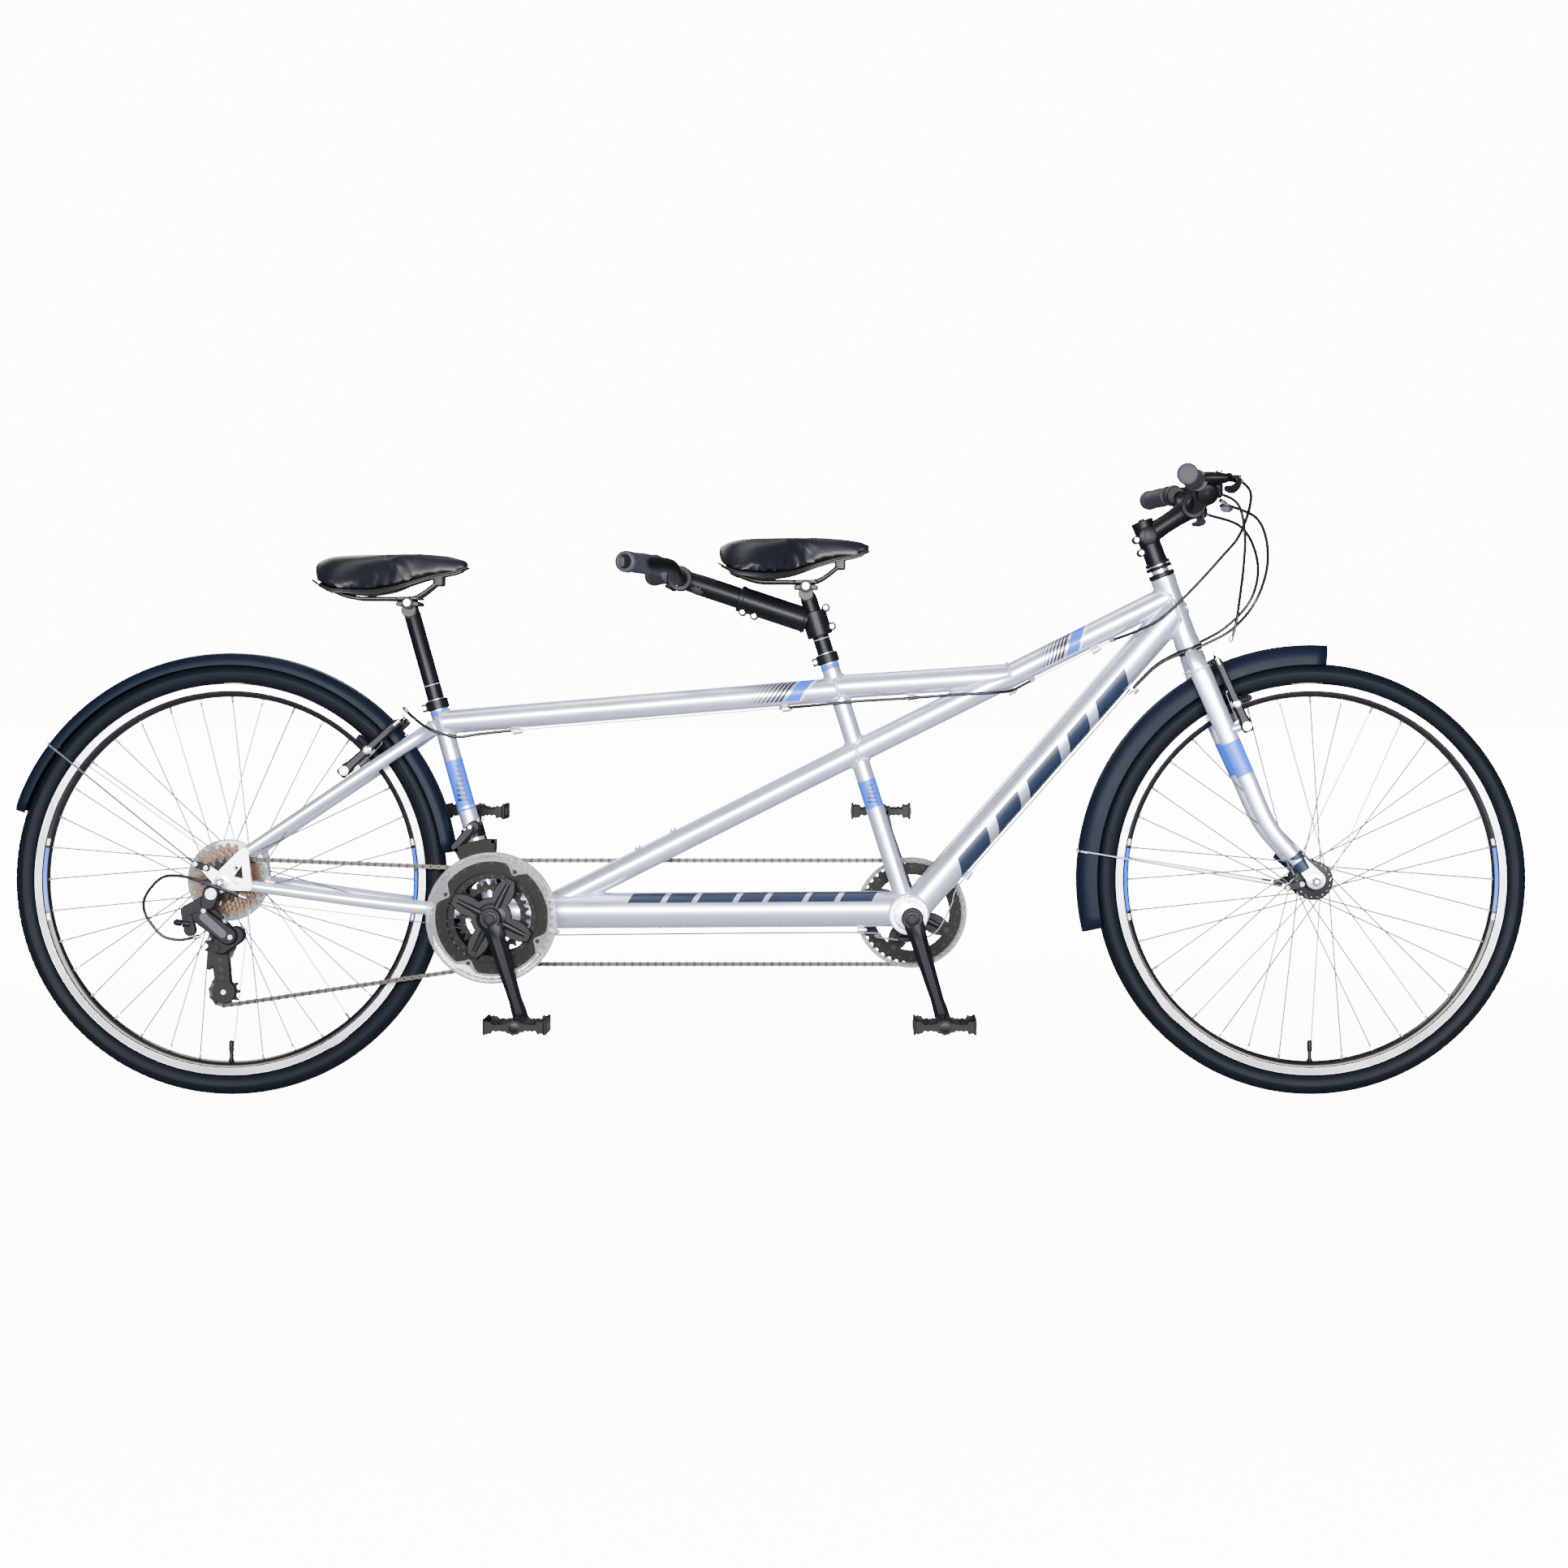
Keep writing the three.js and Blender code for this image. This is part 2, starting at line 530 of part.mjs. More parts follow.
// ---------------------------------------------------------------- cranks and pedals
const RING_HOLES = [58, 52, 40];
const SPIDER_ANGLES = [63, 153, 243, 333];
const RING_BOLT_R = 64;          // the ring bolts' distance from the axle
const ARM_IN = 68;
const ARM_OUT = 81;
const PEDAL_IN = 88;
const PEDAL_OUT = 176;
const armEnd = (bb, side) => v(
  bb.x - side * CRANK * Math.sin(CRANK_ANGLE), 0, bb.z + side * CRANK * Math.cos(CRANK_ANGLE));

// A crank arm with its pedal spindle.
function crankArm(bb, side) {
  const end = armEnd(bb, side);
  const arm = plate(link(bb, end, 17, 12), side * ARM_IN, side * ARM_OUT);
  const spindle = crossRod(end.x, end.z, side * (ARM_OUT - 2), side * (PEDAL_OUT - 6), 5.5, 12);
  return join(arm, spindle);
}

// A four-armed star that carries toothed rings.
function spider(bb, y0, y1, reach) {
  const corners = SPIDER_ANGLES.flatMap((degrees) => [[-0.13, reach], [0.13, reach], [Math.PI / 4, 19]]
    .map(([turn, r]) => {
      const angle = THREE.MathUtils.degToRad(degrees) + turn;
      return new THREE.Vector2(bb.x + r * Math.cos(angle), bb.z + r * Math.sin(angle));
    }));
  return plate(new THREE.Shape(corners), y0, y1);
}

// A left crank with its timing ring, fitted on the end of the axle.
function timingCrank(bb) {
  const ring = toothed(bb, TIMING_TEETH, TIMING_Y, 61);
  const arms = spider(bb, TIMING_Y + PLATE / 2 - 0.6, TIMING_Y + 6, 72);
  const boss = crossRod(bb.x, bb.z, TIMING_Y - 2, ARM_IN + 1, 15);
  const socket = crossRod(bb.x, bb.z, TIMING_Y - 8, ARM_IN - 4, 9.3);
  return cut(join(crankArm(bb, 1), ring, arms, boss), socket);
}

// A right crank with the crank axle and, at the rear, the three driving rings.
function axleCrank(bb, withRings) {
  const axle = crossRod(bb.x, bb.z, -ARM_IN - 2, ARM_IN - 4.5, 8.5);
  const boss = crossRod(bb.x, bb.z, -ARM_IN - 1, -45, 15);
  const parts = [crankArm(bb, -1), axle, boss];
  if (withRings) {
    RING_TEETH.forEach((teeth, i) => {
      const y = DRIVE_Y - RING_STEP + i * RING_STEP;
      parts.push(toothed(bb, teeth, y, RING_HOLES[i], i === 1));
    });
    parts.push(spider(bb, DRIVE_Y - 5, DRIVE_Y - 1.8, 69));
    parts.push(spider(bb, DRIVE_Y - 1.9, DRIVE_Y + RING_STEP + 1, 53));
    SPIDER_ANGLES.forEach((degrees) => {
      const angle = THREE.MathUtils.degToRad(degrees);
      const x = bb.x + RING_BOLT_R * Math.cos(angle);
      const z = bb.z + RING_BOLT_R * Math.sin(angle);
      parts.push(crossRod(x, z, DRIVE_Y - RING_STEP - 4, DRIVE_Y + 1, 5, 6));
    });
  }
  return join(...parts);
}

// A pedal body: a frame with blunt corners round two windows, bored for its spindle.
function pedal(bb, side) {
  const at = armEnd(bb, side);
  const quarter = [[50, 8], [42, 13]];
  const turnedAbout = [[1, 1], [-1, 1], [-1, -1], [1, -1]];
  const outline = turnedAbout.flatMap(([sx, sz]) => {
    const points = quarter.map(([x, z]) => new THREE.Vector2(at.x + sx * x, at.z + sz * z));
    return sx * sz > 0 ? points : points.reverse();
  });
  const body = plate(new THREE.Shape(outline), side * PEDAL_IN, side * PEDAL_OUT);
  const window = (x) => {
    const box = new THREE.BoxGeometry(24, 62, 60);
    box.translate(x, (side * (PEDAL_IN + PEDAL_OUT)) / 2, at.z);
    return solid(box);
  };
  const bore = crossRod(at.x, at.z, side * (PEDAL_IN - 2), side * (PEDAL_OUT - 5), 6.2, 12);
  return cut(body, window(at.x - 27), window(at.x + 27), bore);
}

function addDrivetrain() {
  add('captain_crank_left', timingCrank(frontBB), BLACK);
  add('captain_crank_right', axleCrank(frontBB, false), BLACK);
  add('stoker_crank_left', timingCrank(rearBB), BLACK);
  add('stoker_crank_right', axleCrank(rearBB, true), BLACK);
  add('captain_pedal_left', pedal(frontBB, 1), BLACK);
  add('captain_pedal_right', pedal(frontBB, -1), BLACK);
  add('stoker_pedal_left', pedal(rearBB, 1), BLACK);
  add('stoker_pedal_right', pedal(rearBB, -1), BLACK);
}

// ---------------------------------------------------------------- gears
// The seven cogs on the freewheel body, bored for the hub.
function freewheel() {
  const cogs = COG_TEETH.map((teeth, i) => (
    toothed(rearAxle, teeth, DRIVE_Y + (COG_ON_CHAIN - i) * COG_STEP, 0, i === COG_ON_CHAIN, 1.8)));
  const first = DRIVE_Y + COG_ON_CHAIN * COG_STEP + 1;
  const last = DRIVE_Y - 2 * COG_STEP - 1;
  const body = crossRod(rearAxle.x, rearAxle.z, last, first, 20, 16);
  return cut(join(body, ...cogs), crossRod(rearAxle.x, rearAxle.z, first + 5, last - 5, 14.6, 20));
}

// The hanger knuckle, the parallelogram and the lower knuckle that holds the cage.
function rearDerailleur() {
  const knuckle = v(-900, 0, 304);
  const lower = v(-858, 0, 262);
  return join(
    plate(link(hangerBolt, knuckle, 10, 12), -85, -DROPOUT_Y - 5 - GAP),
    plate(link(knuckle, lower, 13, 15), -82, -61),
    plate(link(lower, guidePulley, 12, 10), -74, -60),
  );
}

// Two cage plates and the pins that the pulleys turn on.
function derailleurCage() {
  const plates = [[-60 + GAP, -57.5], [-43, -41]].map(([y0, y1]) => (
    plate(link(guidePulley, tensionPulley, 11, 12), y0, y1)));
  const pins = [guidePulley, tensionPulley].map((p) => crossRod(p.x, p.z, -58, -42, 2.8, 10));
  return join(...plates, ...pins);
}

// The cage over the driving rings, hung from the band on the rear seat tube.
function frontDerailleur() {
  const panel = (from, to, y0, y1) => {
    const shape = new THREE.Shape();
    shape.absarc(rearBB.x, rearBB.z, to, 1.5, 2.2, false);
    shape.absarc(rearBB.x, rearBB.z, from, 2.2, 1.5, true);
    return plate(shape, y0, y1);
  };
  const arm = plate(link(v(-476, 0, 436), v(-470, 0, 416), 11, 9), -60, -26);
  return join(panel(104.5, 128, -59, -57), panel(86, 128, -42, -40), panel(120, 128, -58, -41), arm);
}

function addGears() {
  add('freewheel_cogs', freewheel(), STEEL);
  add('rear_derailleur', rearDerailleur(), BLACK);
  add('derailleur_cage', derailleurCage(), BLACK);
  add('guide_pulley', toothed(guidePulley, PULLEY_TEETH, DRIVE_Y, 3.1), BLACK);
  add('tension_pulley', toothed(tensionPulley, PULLEY_TEETH, DRIVE_Y, 3.1), BLACK);
  add('front_derailleur', frontDerailleur(), SILVER);
}

// ---------------------------------------------------------------- rim brakes
// One arm on each side, pivoting on a boss, its shoe facing the rim.
function brakeArm(axle, pivot, length, side) {
  const radial = pivot.clone().sub(axle).normalize();
  const tangent = radial.clone().cross(v(0, 1, 0));
  const top = along(pivot, radial, length);
  const arm = plate(link(pivot, top, 9, 7), side * 46, side * 57);
  const padAt = along(axle, radial, 310.5);
  const post = rod(v(padAt.x, side * 20, padAt.z), v(padAt.x, side * 60, padAt.z), 4, 4, 8);
  const shoe = sweep([[-30, -5], [30, -5], [30, 5], [-30, 5]], 1, (t, u, w) => (
    v(0, side * (14.3 + t * 9), 0).add(along(along(padAt, tangent, u), radial, w))));
  return join(arm, post, shoe);
}

const REAR_BRAKE_PIVOT = v(-682, 0, 526);
const FRONT_BRAKE_PIVOT = v(764.6, 0, 597.5);
function addBrakes() {
  [1, -1].forEach((side) => {
    const word = side > 0 ? 'left' : 'right';
    add(`rear_brake_arm_${word}`, brakeArm(rearAxle, REAR_BRAKE_PIVOT, 118, side), BLACK);
    add(`front_brake_arm_${word}`, brakeArm(frontAxle, FRONT_BRAKE_PIVOT, 118, side), BLACK);
  });
}

// ---------------------------------------------------------------- seats
// A padded saddle on its middle line: rear edge, length, half width, and height of its top.
function saddle({ rearX, topZ }, noseDrop) {
  const length = 258;
  return sweep(oval(12), 11, (t, u, w) => {
    const s = 0.012 + 0.976 * t;
    const x = rearX + s * length;
    const widthTaper = 0.5 + 0.5 * Math.cos(Math.PI * Math.min(1, Math.max(0, (s - 0.16) / 0.5)));
    const endRound = Math.sqrt(Math.max(0, 1 - Math.pow(Math.abs(2 * s - 1), 7)));
    const half = (26 + 74 * widthTaper) * endRound;
    const top = topZ - noseDrop * s * s + 5 * Math.cos(2 * Math.PI * s) - 5;
    const deep = (20 + 44 * widthTaper) * (0.35 + 0.65 * endRound);
    return v(x, half * u, top - deep / 2 + (deep / 2) * w);
  });
}

// Seat pillar, its clamp head and the two rails that the saddle sits on.
function seatPillar(bottom, head, { rearX, railZ, noseZ }) {
  const post = rod(bottom, head, POST_R, POST_R, 16);
  const clamp = rod(v(head.x, -27, railZ - 5), v(head.x, 27, railZ - 5), 13, 13, 10);
  const rails = [1, -1].map((side) => pipe([
    v(rearX + 34, side * 34, railZ + 12), v(rearX + 70, side * 24, railZ + 1),
    v(rearX + 110, side * 22, railZ), v(rearX + 150, side * 21, railZ), v(rearX + 205, side * 12, noseZ),
  ], 3.5, 5, 7));
  return join(post, clamp, ...rails, rod(v(head.x, 0, railZ - 20), v(head.x, 0, railZ - 4), 12, 12, 12));
}

const STOKER_SADDLE = { rearX: -741, topZ: 879, railZ: 803, noseZ: 818 };
const CAPTAIN_SADDLE = { rearX: -91, topZ: 906, railZ: 830, noseZ: 845 };
function addSeats() {
  const seats = [
    ['stoker', STOKER_SADDLE, rearSeatTop, rearSeatUp, 156],
    ['captain', CAPTAIN_SADDLE, frontSeatTop, frontSeatUp, 106],
  ];
  seats.forEach(([who, place, top, up, rise]) => {
    const pillar = seatPillar(along(top, up, -120), along(top, up, rise), place);
    add(`${who}_seatpost`, pillar, SILVER);
    add(`${who}_saddle`, cut(saddle(place, 14), ...railRoom(place)), VINYL);
  });
}

// Room under the saddle for its rails and clamp.
function railRoom({ rearX, railZ, noseZ }) {
  const box = new THREE.BoxGeometry(190, 84, 40);
  box.translate(rearX + 125, 0, railZ);
  const lift = solid(box);
  const nose = new THREE.BoxGeometry(60, 34, 40);
  nose.translate(rearX + 195, 0, noseZ - 14);
  return [lift, solid(nose)];
}

// ---------------------------------------------------------------- handlebars
const captainClamp = v(683, 0, 953);
const stokerClamp = v(-147, 0, 836);
const BAR_R = 12.7;
const BAR_HOLE_R = 13.2;

// A bar that rises and sweeps back on both sides of its clamp, with a grip on each end.
function handlebar(clamp, half, rise, sweepBack, r) {
  const side = (s) => [
    v(clamp.x, s * 32, clamp.z), v(clamp.x, s * 56, clamp.z),
    v(clamp.x - 2, s * 100, clamp.z + 0.35 * rise), v(clamp.x - 8, s * 150, clamp.z + 0.95 * rise),
    v(clamp.x - sweepBack * 0.6, s * 215, clamp.z + rise), v(clamp.x - sweepBack, s * half, clamp.z + rise),
  ];
  const grip = (s) => rod(
    v(clamp.x - sweepBack * 0.42, s * (half - 125), clamp.z + rise * 0.99),
    v(clamp.x - sweepBack, s * half, clamp.z + rise), 16, 17, 12);
  const bar = pipe([...side(-1).reverse(), v(clamp.x, 0, clamp.z), ...side(1)], r, 8, 16);
  return join(bar, grip(1), grip(-1));
}

// Brake lever perch and shifter housing, clamped inboard of each grip.
function controls(s) {
  return join(
    rod(v(676, s * 150, 981), v(668, s * 178, 982), 18, 18, 12),
    plateBox(v(700, s * 166, 986), v(40, 34, 22)),
    rod(v(686, s * 140, 968), v(690, s * 168, 958), 20, 18, 12),
  );
}

function plateBox(centre, size) {
  const box = new THREE.BoxGeometry(size.x, size.y, size.z);
  box.translate(centre.x, centre.y, centre.z);
  return solid(box);
}

function brakeLever(s) {
  const curve = [v(732, s * 166, 986), v(733, s * 190, 976), v(722, s * 225, 966), v(706, s * 270, 962)];
  return pipe(curve, 6, 8, 10);
}

function shiftLever(s) {
  return rod(v(715, s * 150, 945), v(712, s * 196, 936), 6, 5, 8);
}

// The stem: a column on the steerer, a neck forward to the bar clamp, and two bolts behind.
function captainStem() {
  const foot = along(headTop, steerUp, 14.5);
  const top = along(headTop, steerUp, 94);
  const column = rod(foot, top, 17.5, 17.5, 16);
  const neck = rod(along(top, steerUp, -16), captainClamp, 16, 15, 14);
  const clamp = crossRod(captainClamp.x, captainClamp.z, -22, 22, 21, 14);
  const bolts = [22, 44].map((down) => {
    const at = along(top, steerUp, -down);
    return rod(v(at.x - 20, -12, at.z - 6), v(at.x - 20, 12, at.z - 6), 6.5, 6.5, 8);
  });
  const barHole = crossRod(captainClamp.x, captainClamp.z, -60, 60, BAR_HOLE_R);
  return cut(join(column, neck, clamp, ...bolts), barHole);
}

function addHandlebars() {
  const bar = handlebar(captainClamp, BAR_HALF, 30, 42, BAR_R);
  add('captain_stem', captainStem(), BLACK);
  add('captain_bar', join(bar, controls(1), controls(-1)), BLACK);
  [1, -1].forEach((s) => {
    const word = s > 0 ? 'left' : 'right';
    const perchRoom = plateBox(v(700, s * 166, 986), v(48, 36, 24));
    const shifterRoom = rod(v(686, s * 140, 968), v(690, s * 168, 958), 21.5, 19.5, 12);
    add(`brake_lever_${word}`, cut(brakeLever(s), perchRoom), BLACK);
    add(`shift_lever_${word}`, cut(shiftLever(s), shifterRoom), GRIP);
  });
}

// The stoker's stem: a clamp on the captain's seat post and a slider that carries the rear bar.
function addStokerStem() {
  const post = along(frontSeatTop, frontSeatUp, 50);
  const slope = stokerClamp.clone().sub(post).normalize();
  const outerEnd = along(post, slope, 132);
  const clampBody = rod(along(post, frontSeatUp, -21), along(post, frontSeatUp, 21), 21, 21, 16);
  const outer = rod(along(post, slope, 8), outerEnd, 18.5, 18.5, 16);
  const postHole = rod(along(post, frontSeatUp, -60), along(post, frontSeatUp, 60), POST_BORE, POST_BORE, 16);
  const tubeHole = rod(along(post, slope, 30), along(post, slope, 160), 16 + GAP, 16 + GAP, 16);
  const bolts = [v(post.x + 15, 0, post.z + 26), v(post.x + 25, 0, post.z - 4)].map((p) => (
    rod(v(p.x, -10, p.z), v(p.x, 10, p.z), 5, 5, 8)));
  add('stoker_stem_clamp', cut(join(clampBody, outer, ...bolts), postHole, tubeHole), BLACK);
  const inner = rod(along(post, slope, 62), along(stokerClamp, slope, -2), 16, 16, 16);
  const clamp = crossRod(stokerClamp.x, stokerClamp.z, -22, 22, 21);
  const barHole = crossRod(stokerClamp.x, stokerClamp.z, -60, 60, BAR_HOLE_R);
  add('stoker_stem_slider', cut(join(inner, clamp), barHole), BLACK);
  add('stoker_bar', handlebar(stokerClamp, STOKER_BAR_HALF, 15, 66, BAR_R), BLACK);
}

// ---------------------------------------------------------------- cables
const CABLE_R = 2.5;
const TOP_TUBE_OUT = tubes.rearTop.r + CABLE_R + 0.5;    // from a top tube's middle to a cable below it

// The straight run of a cable below a tube, from one x to another, with its ends held in line.
function below({ a, b }, from, to) {
  const forward = b.clone().sub(a).normalize();
  const inward = 20 * Math.sign(to - from);
  return [from, from + inward, to - inward, to].map((x) => {
    const spot = a.clone().lerp(b, (x - a.x) / (b.x - a.x));
    return along(spot, v(forward.z, 0, -forward.x), TOP_TUBE_OUT);
  });
}

// The brake and gear cables of the front half; the rear brake's cable goes on below the diagonal
// tube and the top tubes, and passes the diagonal and both seat tubes on their right.
function addCables() {
  const frontBrake = [
    v(738, 150, 988), v(772, 120, 966), v(776, 60, 915), v(764, -20, 860), v(752, -58, 800),
    v(745, -68, 762), v(738, -68, 735),
  ];
  const brakeStart = below(tubes.diagonalFront, 543, 410);
  const brakeFront = [
    v(738, -150, 988), v(762, -120, 962), v(750, -84, 905), v(721, -62, 866), v(672, -42, 811),
    v(628, -31, 770), v(590, -17, 750),
    brakeStart[0].clone().add(v(4, 0, 2)),
  ];
  const brakeRear = [
    ...brakeStart, v(388, -10, 654), v(366, -20, 652), v(340, -25, 650), v(300, -23.5, 648),
    v(262, -17, 645), v(205, -9, 641), v(152, -18, 638),
    v(115, -20.5, 635), v(76, -17, 631), ...below(tubes.rearTop, 20, -424),
    v(-472, -15, 584), v(-507, -22, 580), v(-548, -30, 592), v(-572, -52, 612), v(-580, -66, 622),
  ];
  const stop = underDownTube(515, 31.5);
  const gearRight = [
    v(716, -128, 950), v(776, -100, 925), v(797, -60, 866), v(784, -30, 803), v(745, -38, 755),
    v(697, -36, 728), v(632, -20, 700), v(stop.x, -6, stop.z),
  ];
  const gearLeft = [
    v(716, 128, 950), v(776, 100, 925), v(797, 60, 866), v(784, 34, 806), v(745, 44, 760),
    v(697, 36, 732), v(632, 20, 700), v(stop.x, 6, stop.z),
  ];
  const frontStop = crossRod(stop.x, stop.z, -9, 9, 4.5, 8);
  add('front_brake_cable', pipe(frontBrake, CABLE_R, 8, 18), CABLE);
  add('brake_cable_front', pipe(brakeFront, CABLE_R, 8, 18), CABLE);
  add('brake_cable_rear', pipe(brakeRear, CABLE_R, 8, 48), CABLE);
  add('gear_cables_front',
    join(pipe(gearRight, CABLE_R, 8, 14), pipe(gearLeft, CABLE_R, 8, 14), frontStop), CABLE);
  add('gear_cables_rear', gearCablesRear(), CABLE);
}

// A place below the down tube: its distance up from the crank axle and out from the tube's middle.
function underDownTube(distance, out) {
  const up = tubes.down.b.clone().sub(tubes.down.a).normalize();
  return along(along(tubes.down.a, up, distance), v(up.z, 0, -up.x), out);
}

// Both gear cables behind the first stop: under the down tube, round the front shell through its
// guide, under the boom tube, and on to the rear mechanism (right) and the front mechanism (left).
function gearCablesRear() {
  const under = (side) => [
    ...[506, 440, 260, 96].map((distance) => underDownTube(distance, 30).setY(side * 6)),
    v(292, side * 7, 306), v(266, side * 7, 262),
    v(224, side * 7, 250), v(170, side * 7, 255), v(131, side * 7, 262),
  ];
  const toMech = [
    ...under(-1), v(-370, -7, 258), v(-440, -9, 257), v(-520, -30, 276), v(-640, -48, 292), v(-780, -63, 312),
    v(-835, -82, 325), v(-887, -94, 346), v(-929, -92, 359), v(-965, -88, 357), v(-992, -84, 328),
    v(-995, -80, 303), v(-982, -77, 279), v(-965, -75, 262), v(-940, -74, 257), v(-912, -74, 262),
  ];
  const toFrontMech = [
    ...under(1), v(-370, 7, 258), v(-440, 7, 257), v(-474, 6, 264), v(-494, 0, 294), v(-495, -10, 340),
    v(-502, -18, 392), v(-498, -22, 422),
  ];
  const guide = plateBox(v(219, 0, 252), v(26, 22, 9));
  return join(pipe(toMech, CABLE_R, 8, 38), pipe(toFrontMech, CABLE_R, 8, 28), guide);
}

addMainFrame();
addStays();
addFork();
addFenders();
addWheels();
addChains();
addDrivetrain();
addGears();
addBrakes();
addSeats();
addHandlebars();
addStokerStem();
addCables();

export default group;
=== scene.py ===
"""The looks of the tandem bicycle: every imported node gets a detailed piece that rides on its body.

Lengths are in millimetres until Form.build() turns them into metres. X points to the front wheel,
Y to the riders' left and Z up.
"""
import math

import bmesh
import bpy
import json
import numpy as np
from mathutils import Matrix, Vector


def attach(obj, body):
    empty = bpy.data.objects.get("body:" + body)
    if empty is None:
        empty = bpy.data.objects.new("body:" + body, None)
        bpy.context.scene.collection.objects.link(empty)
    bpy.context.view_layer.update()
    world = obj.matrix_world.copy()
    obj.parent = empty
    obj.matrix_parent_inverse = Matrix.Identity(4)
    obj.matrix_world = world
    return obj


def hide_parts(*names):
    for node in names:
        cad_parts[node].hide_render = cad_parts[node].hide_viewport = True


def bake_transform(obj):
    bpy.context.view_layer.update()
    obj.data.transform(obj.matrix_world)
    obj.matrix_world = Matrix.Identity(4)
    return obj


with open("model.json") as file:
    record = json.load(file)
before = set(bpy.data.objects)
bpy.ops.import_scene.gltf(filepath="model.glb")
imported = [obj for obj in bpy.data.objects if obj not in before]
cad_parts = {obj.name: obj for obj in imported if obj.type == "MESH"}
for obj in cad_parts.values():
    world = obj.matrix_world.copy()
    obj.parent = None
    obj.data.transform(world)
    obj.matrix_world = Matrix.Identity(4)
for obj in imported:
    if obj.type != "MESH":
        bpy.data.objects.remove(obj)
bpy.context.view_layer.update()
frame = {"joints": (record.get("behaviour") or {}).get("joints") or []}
MM = 0.001
JOINTS = {joint["name"]: joint for joint in frame["joints"]}


def pivot(name):
    """Where a joint's axis passes, in millimetres."""
    return np.array(JOINTS[name]["pos_m"]) / MM


REAR_AXLE = pivot("rear_wheel_turn")
FRONT_AXLE = pivot("front_wheel_turn")
REAR_CRANKS = pivot("stoker_crank_turn")
FRONT_CRANKS = pivot("captain_crank_turn")
STEER_BASE = pivot("steering_turn")
STEER_UP = np.array(JOINTS["steering_turn"]["axis"])
STEER_FORE = np.array([STEER_UP[2], 0, -STEER_UP[0]])
ACROSS = np.array([0.0, 1.0, 0.0])
LEVEL = np.array([1.0, 0.0, 0.0])
UP = np.array([0.0, 0.0, 1.0])

# Frame tubes: two ends on the tube's middle line, and the radius.
BOTTOM_SHELL = FRONT_CRANKS + [-5, 0, 1]
STOKER_POST = np.array([-543.0, 0, 640])
CAPTAIN_POST = np.array([89.0, 0, 715])
REAR_SEAT = (REAR_CRANKS, STOKER_POST, 15.0)
FRONT_SEAT = (BOTTOM_SHELL, CAPTAIN_POST, 15.0)
HEAD = (STEER_BASE, STEER_BASE + 120 * STEER_UP, 19.5)
REAR_TOP = (np.array([-532.0, 0, 603]), np.array([108.0, 0, 656]), 19.5)
FRONT_TOP = (np.array([108.0, 0, 660]), np.array([395.0, 0, 679]), 19.5)
DIAGONAL_FRONT = (np.array([139.0, 0, 555]), np.array([654.0, 0, 811]), 19.5)
DIAGONAL_REAR = (np.array([139.0, 0, 555]), np.array([-329.0, 0, 320]), 19.5)
DOWN = (BOTTOM_SHELL, np.array([660.0, 0, 790]), 26.0)
BOOM = (np.array([-445.0, 0, 297]), np.array([223.0, 0, 301]), 29.0)
SHELL_REAR = (REAR_CRANKS - 34 * ACROSS, REAR_CRANKS + 34 * ACROSS, 21.0)
SHELL_FRONT = (BOTTOM_SHELL - 34 * ACROSS, BOTTOM_SHELL + 34 * ACROSS, 31.0)


# ---------------------------------------------------------------- shapes


def unit(vector):
    """The vector, at length one."""
    vector = np.asarray(vector, float)
    return vector / np.linalg.norm(vector)


def square_to(axis, towards=None):
    """Two directions square to an axis and to each other, the first one towards a wanted direction."""
    axis = unit(axis)
    if towards is None:
        towards = UP if abs(axis[2]) < 0.9 else LEVEL
    first = unit(np.asarray(towards, float) - axis * np.dot(towards, axis))
    return first, np.cross(axis, first)


def skin(rows, ring=False):
    """Closed surface through loops of points; ring joins the last loop to the first."""
    rows = np.asarray(rows, float)
    count, size = rows.shape[:2]
    faces = []
    for i in range(count if ring else count - 1):
        here, there = i * size, (i + 1) % count * size
        for j in range(size):
            after = (j + 1) % size
            faces.append((here + j, here + after, there + after, there + j))
    if not ring:
        faces.append(tuple(range(size - 1, -1, -1)))
        faces.append(tuple(range((count - 1) * size, count * size)))
    return rows.reshape(-1, 3), faces


def sheet_of(rows):
    """Open surface through rows of points, for a transfer on a tube."""
    rows = np.asarray(rows, float)
    count, size = rows.shape[:2]
    faces = []
    for i in range(count - 1):
        for j in range(size - 1):
            first = i * size + j
            faces.append((first, first + 1, first + size + 1, first + size))
    return rows.reshape(-1, 3), faces


def turned(profile, centre=(0, 0, 0), axis=(0, 1, 0), sides=48, ring=False):
    """(along, radius) pairs turned about an axis; a third number makes that loop a polygon."""
    first, second = square_to(axis)
    axis = unit(axis)
    turn = np.arange(sides) * 2 * np.pi / sides
    rows = []
    for entry in profile:
        along, radius = entry[0], entry[1]
        size = np.full(sides, float(radius))
        if len(entry) > 2:
            wedge = 2 * np.pi / entry[2]
            size = radius * np.cos(wedge / 2) / np.cos(turn % wedge - wedge / 2)
        arms = np.outer(np.cos(turn) * size, first) + np.outer(np.sin(turn) * size, second)
        rows.append(np.asarray(centre) + axis * along + arms)
    return skin(rows, ring)


def smooth(points, spacing=4.0):
    """A smooth path through points, sampled about every `spacing` millimetres."""
    points = np.asarray(points, float)
    ends = np.vstack([2 * points[0] - points[1], points, 2 * points[-1] - points[-2]])
    path = []
    for p, q, r, s in zip(ends, ends[1:], ends[2:], ends[3:]):
        steps = max(2, int(np.linalg.norm(r - q) / spacing))
        for t in np.arange(steps) / steps:
            path.append(
                0.5 * (2 * q + (r - p) * t + (2 * p - 5 * q + 4 * r - s) * t**2
                       + (3 * q - p - 3 * r + s) * t**3)
            )
    return np.vstack([path, points[-1]])


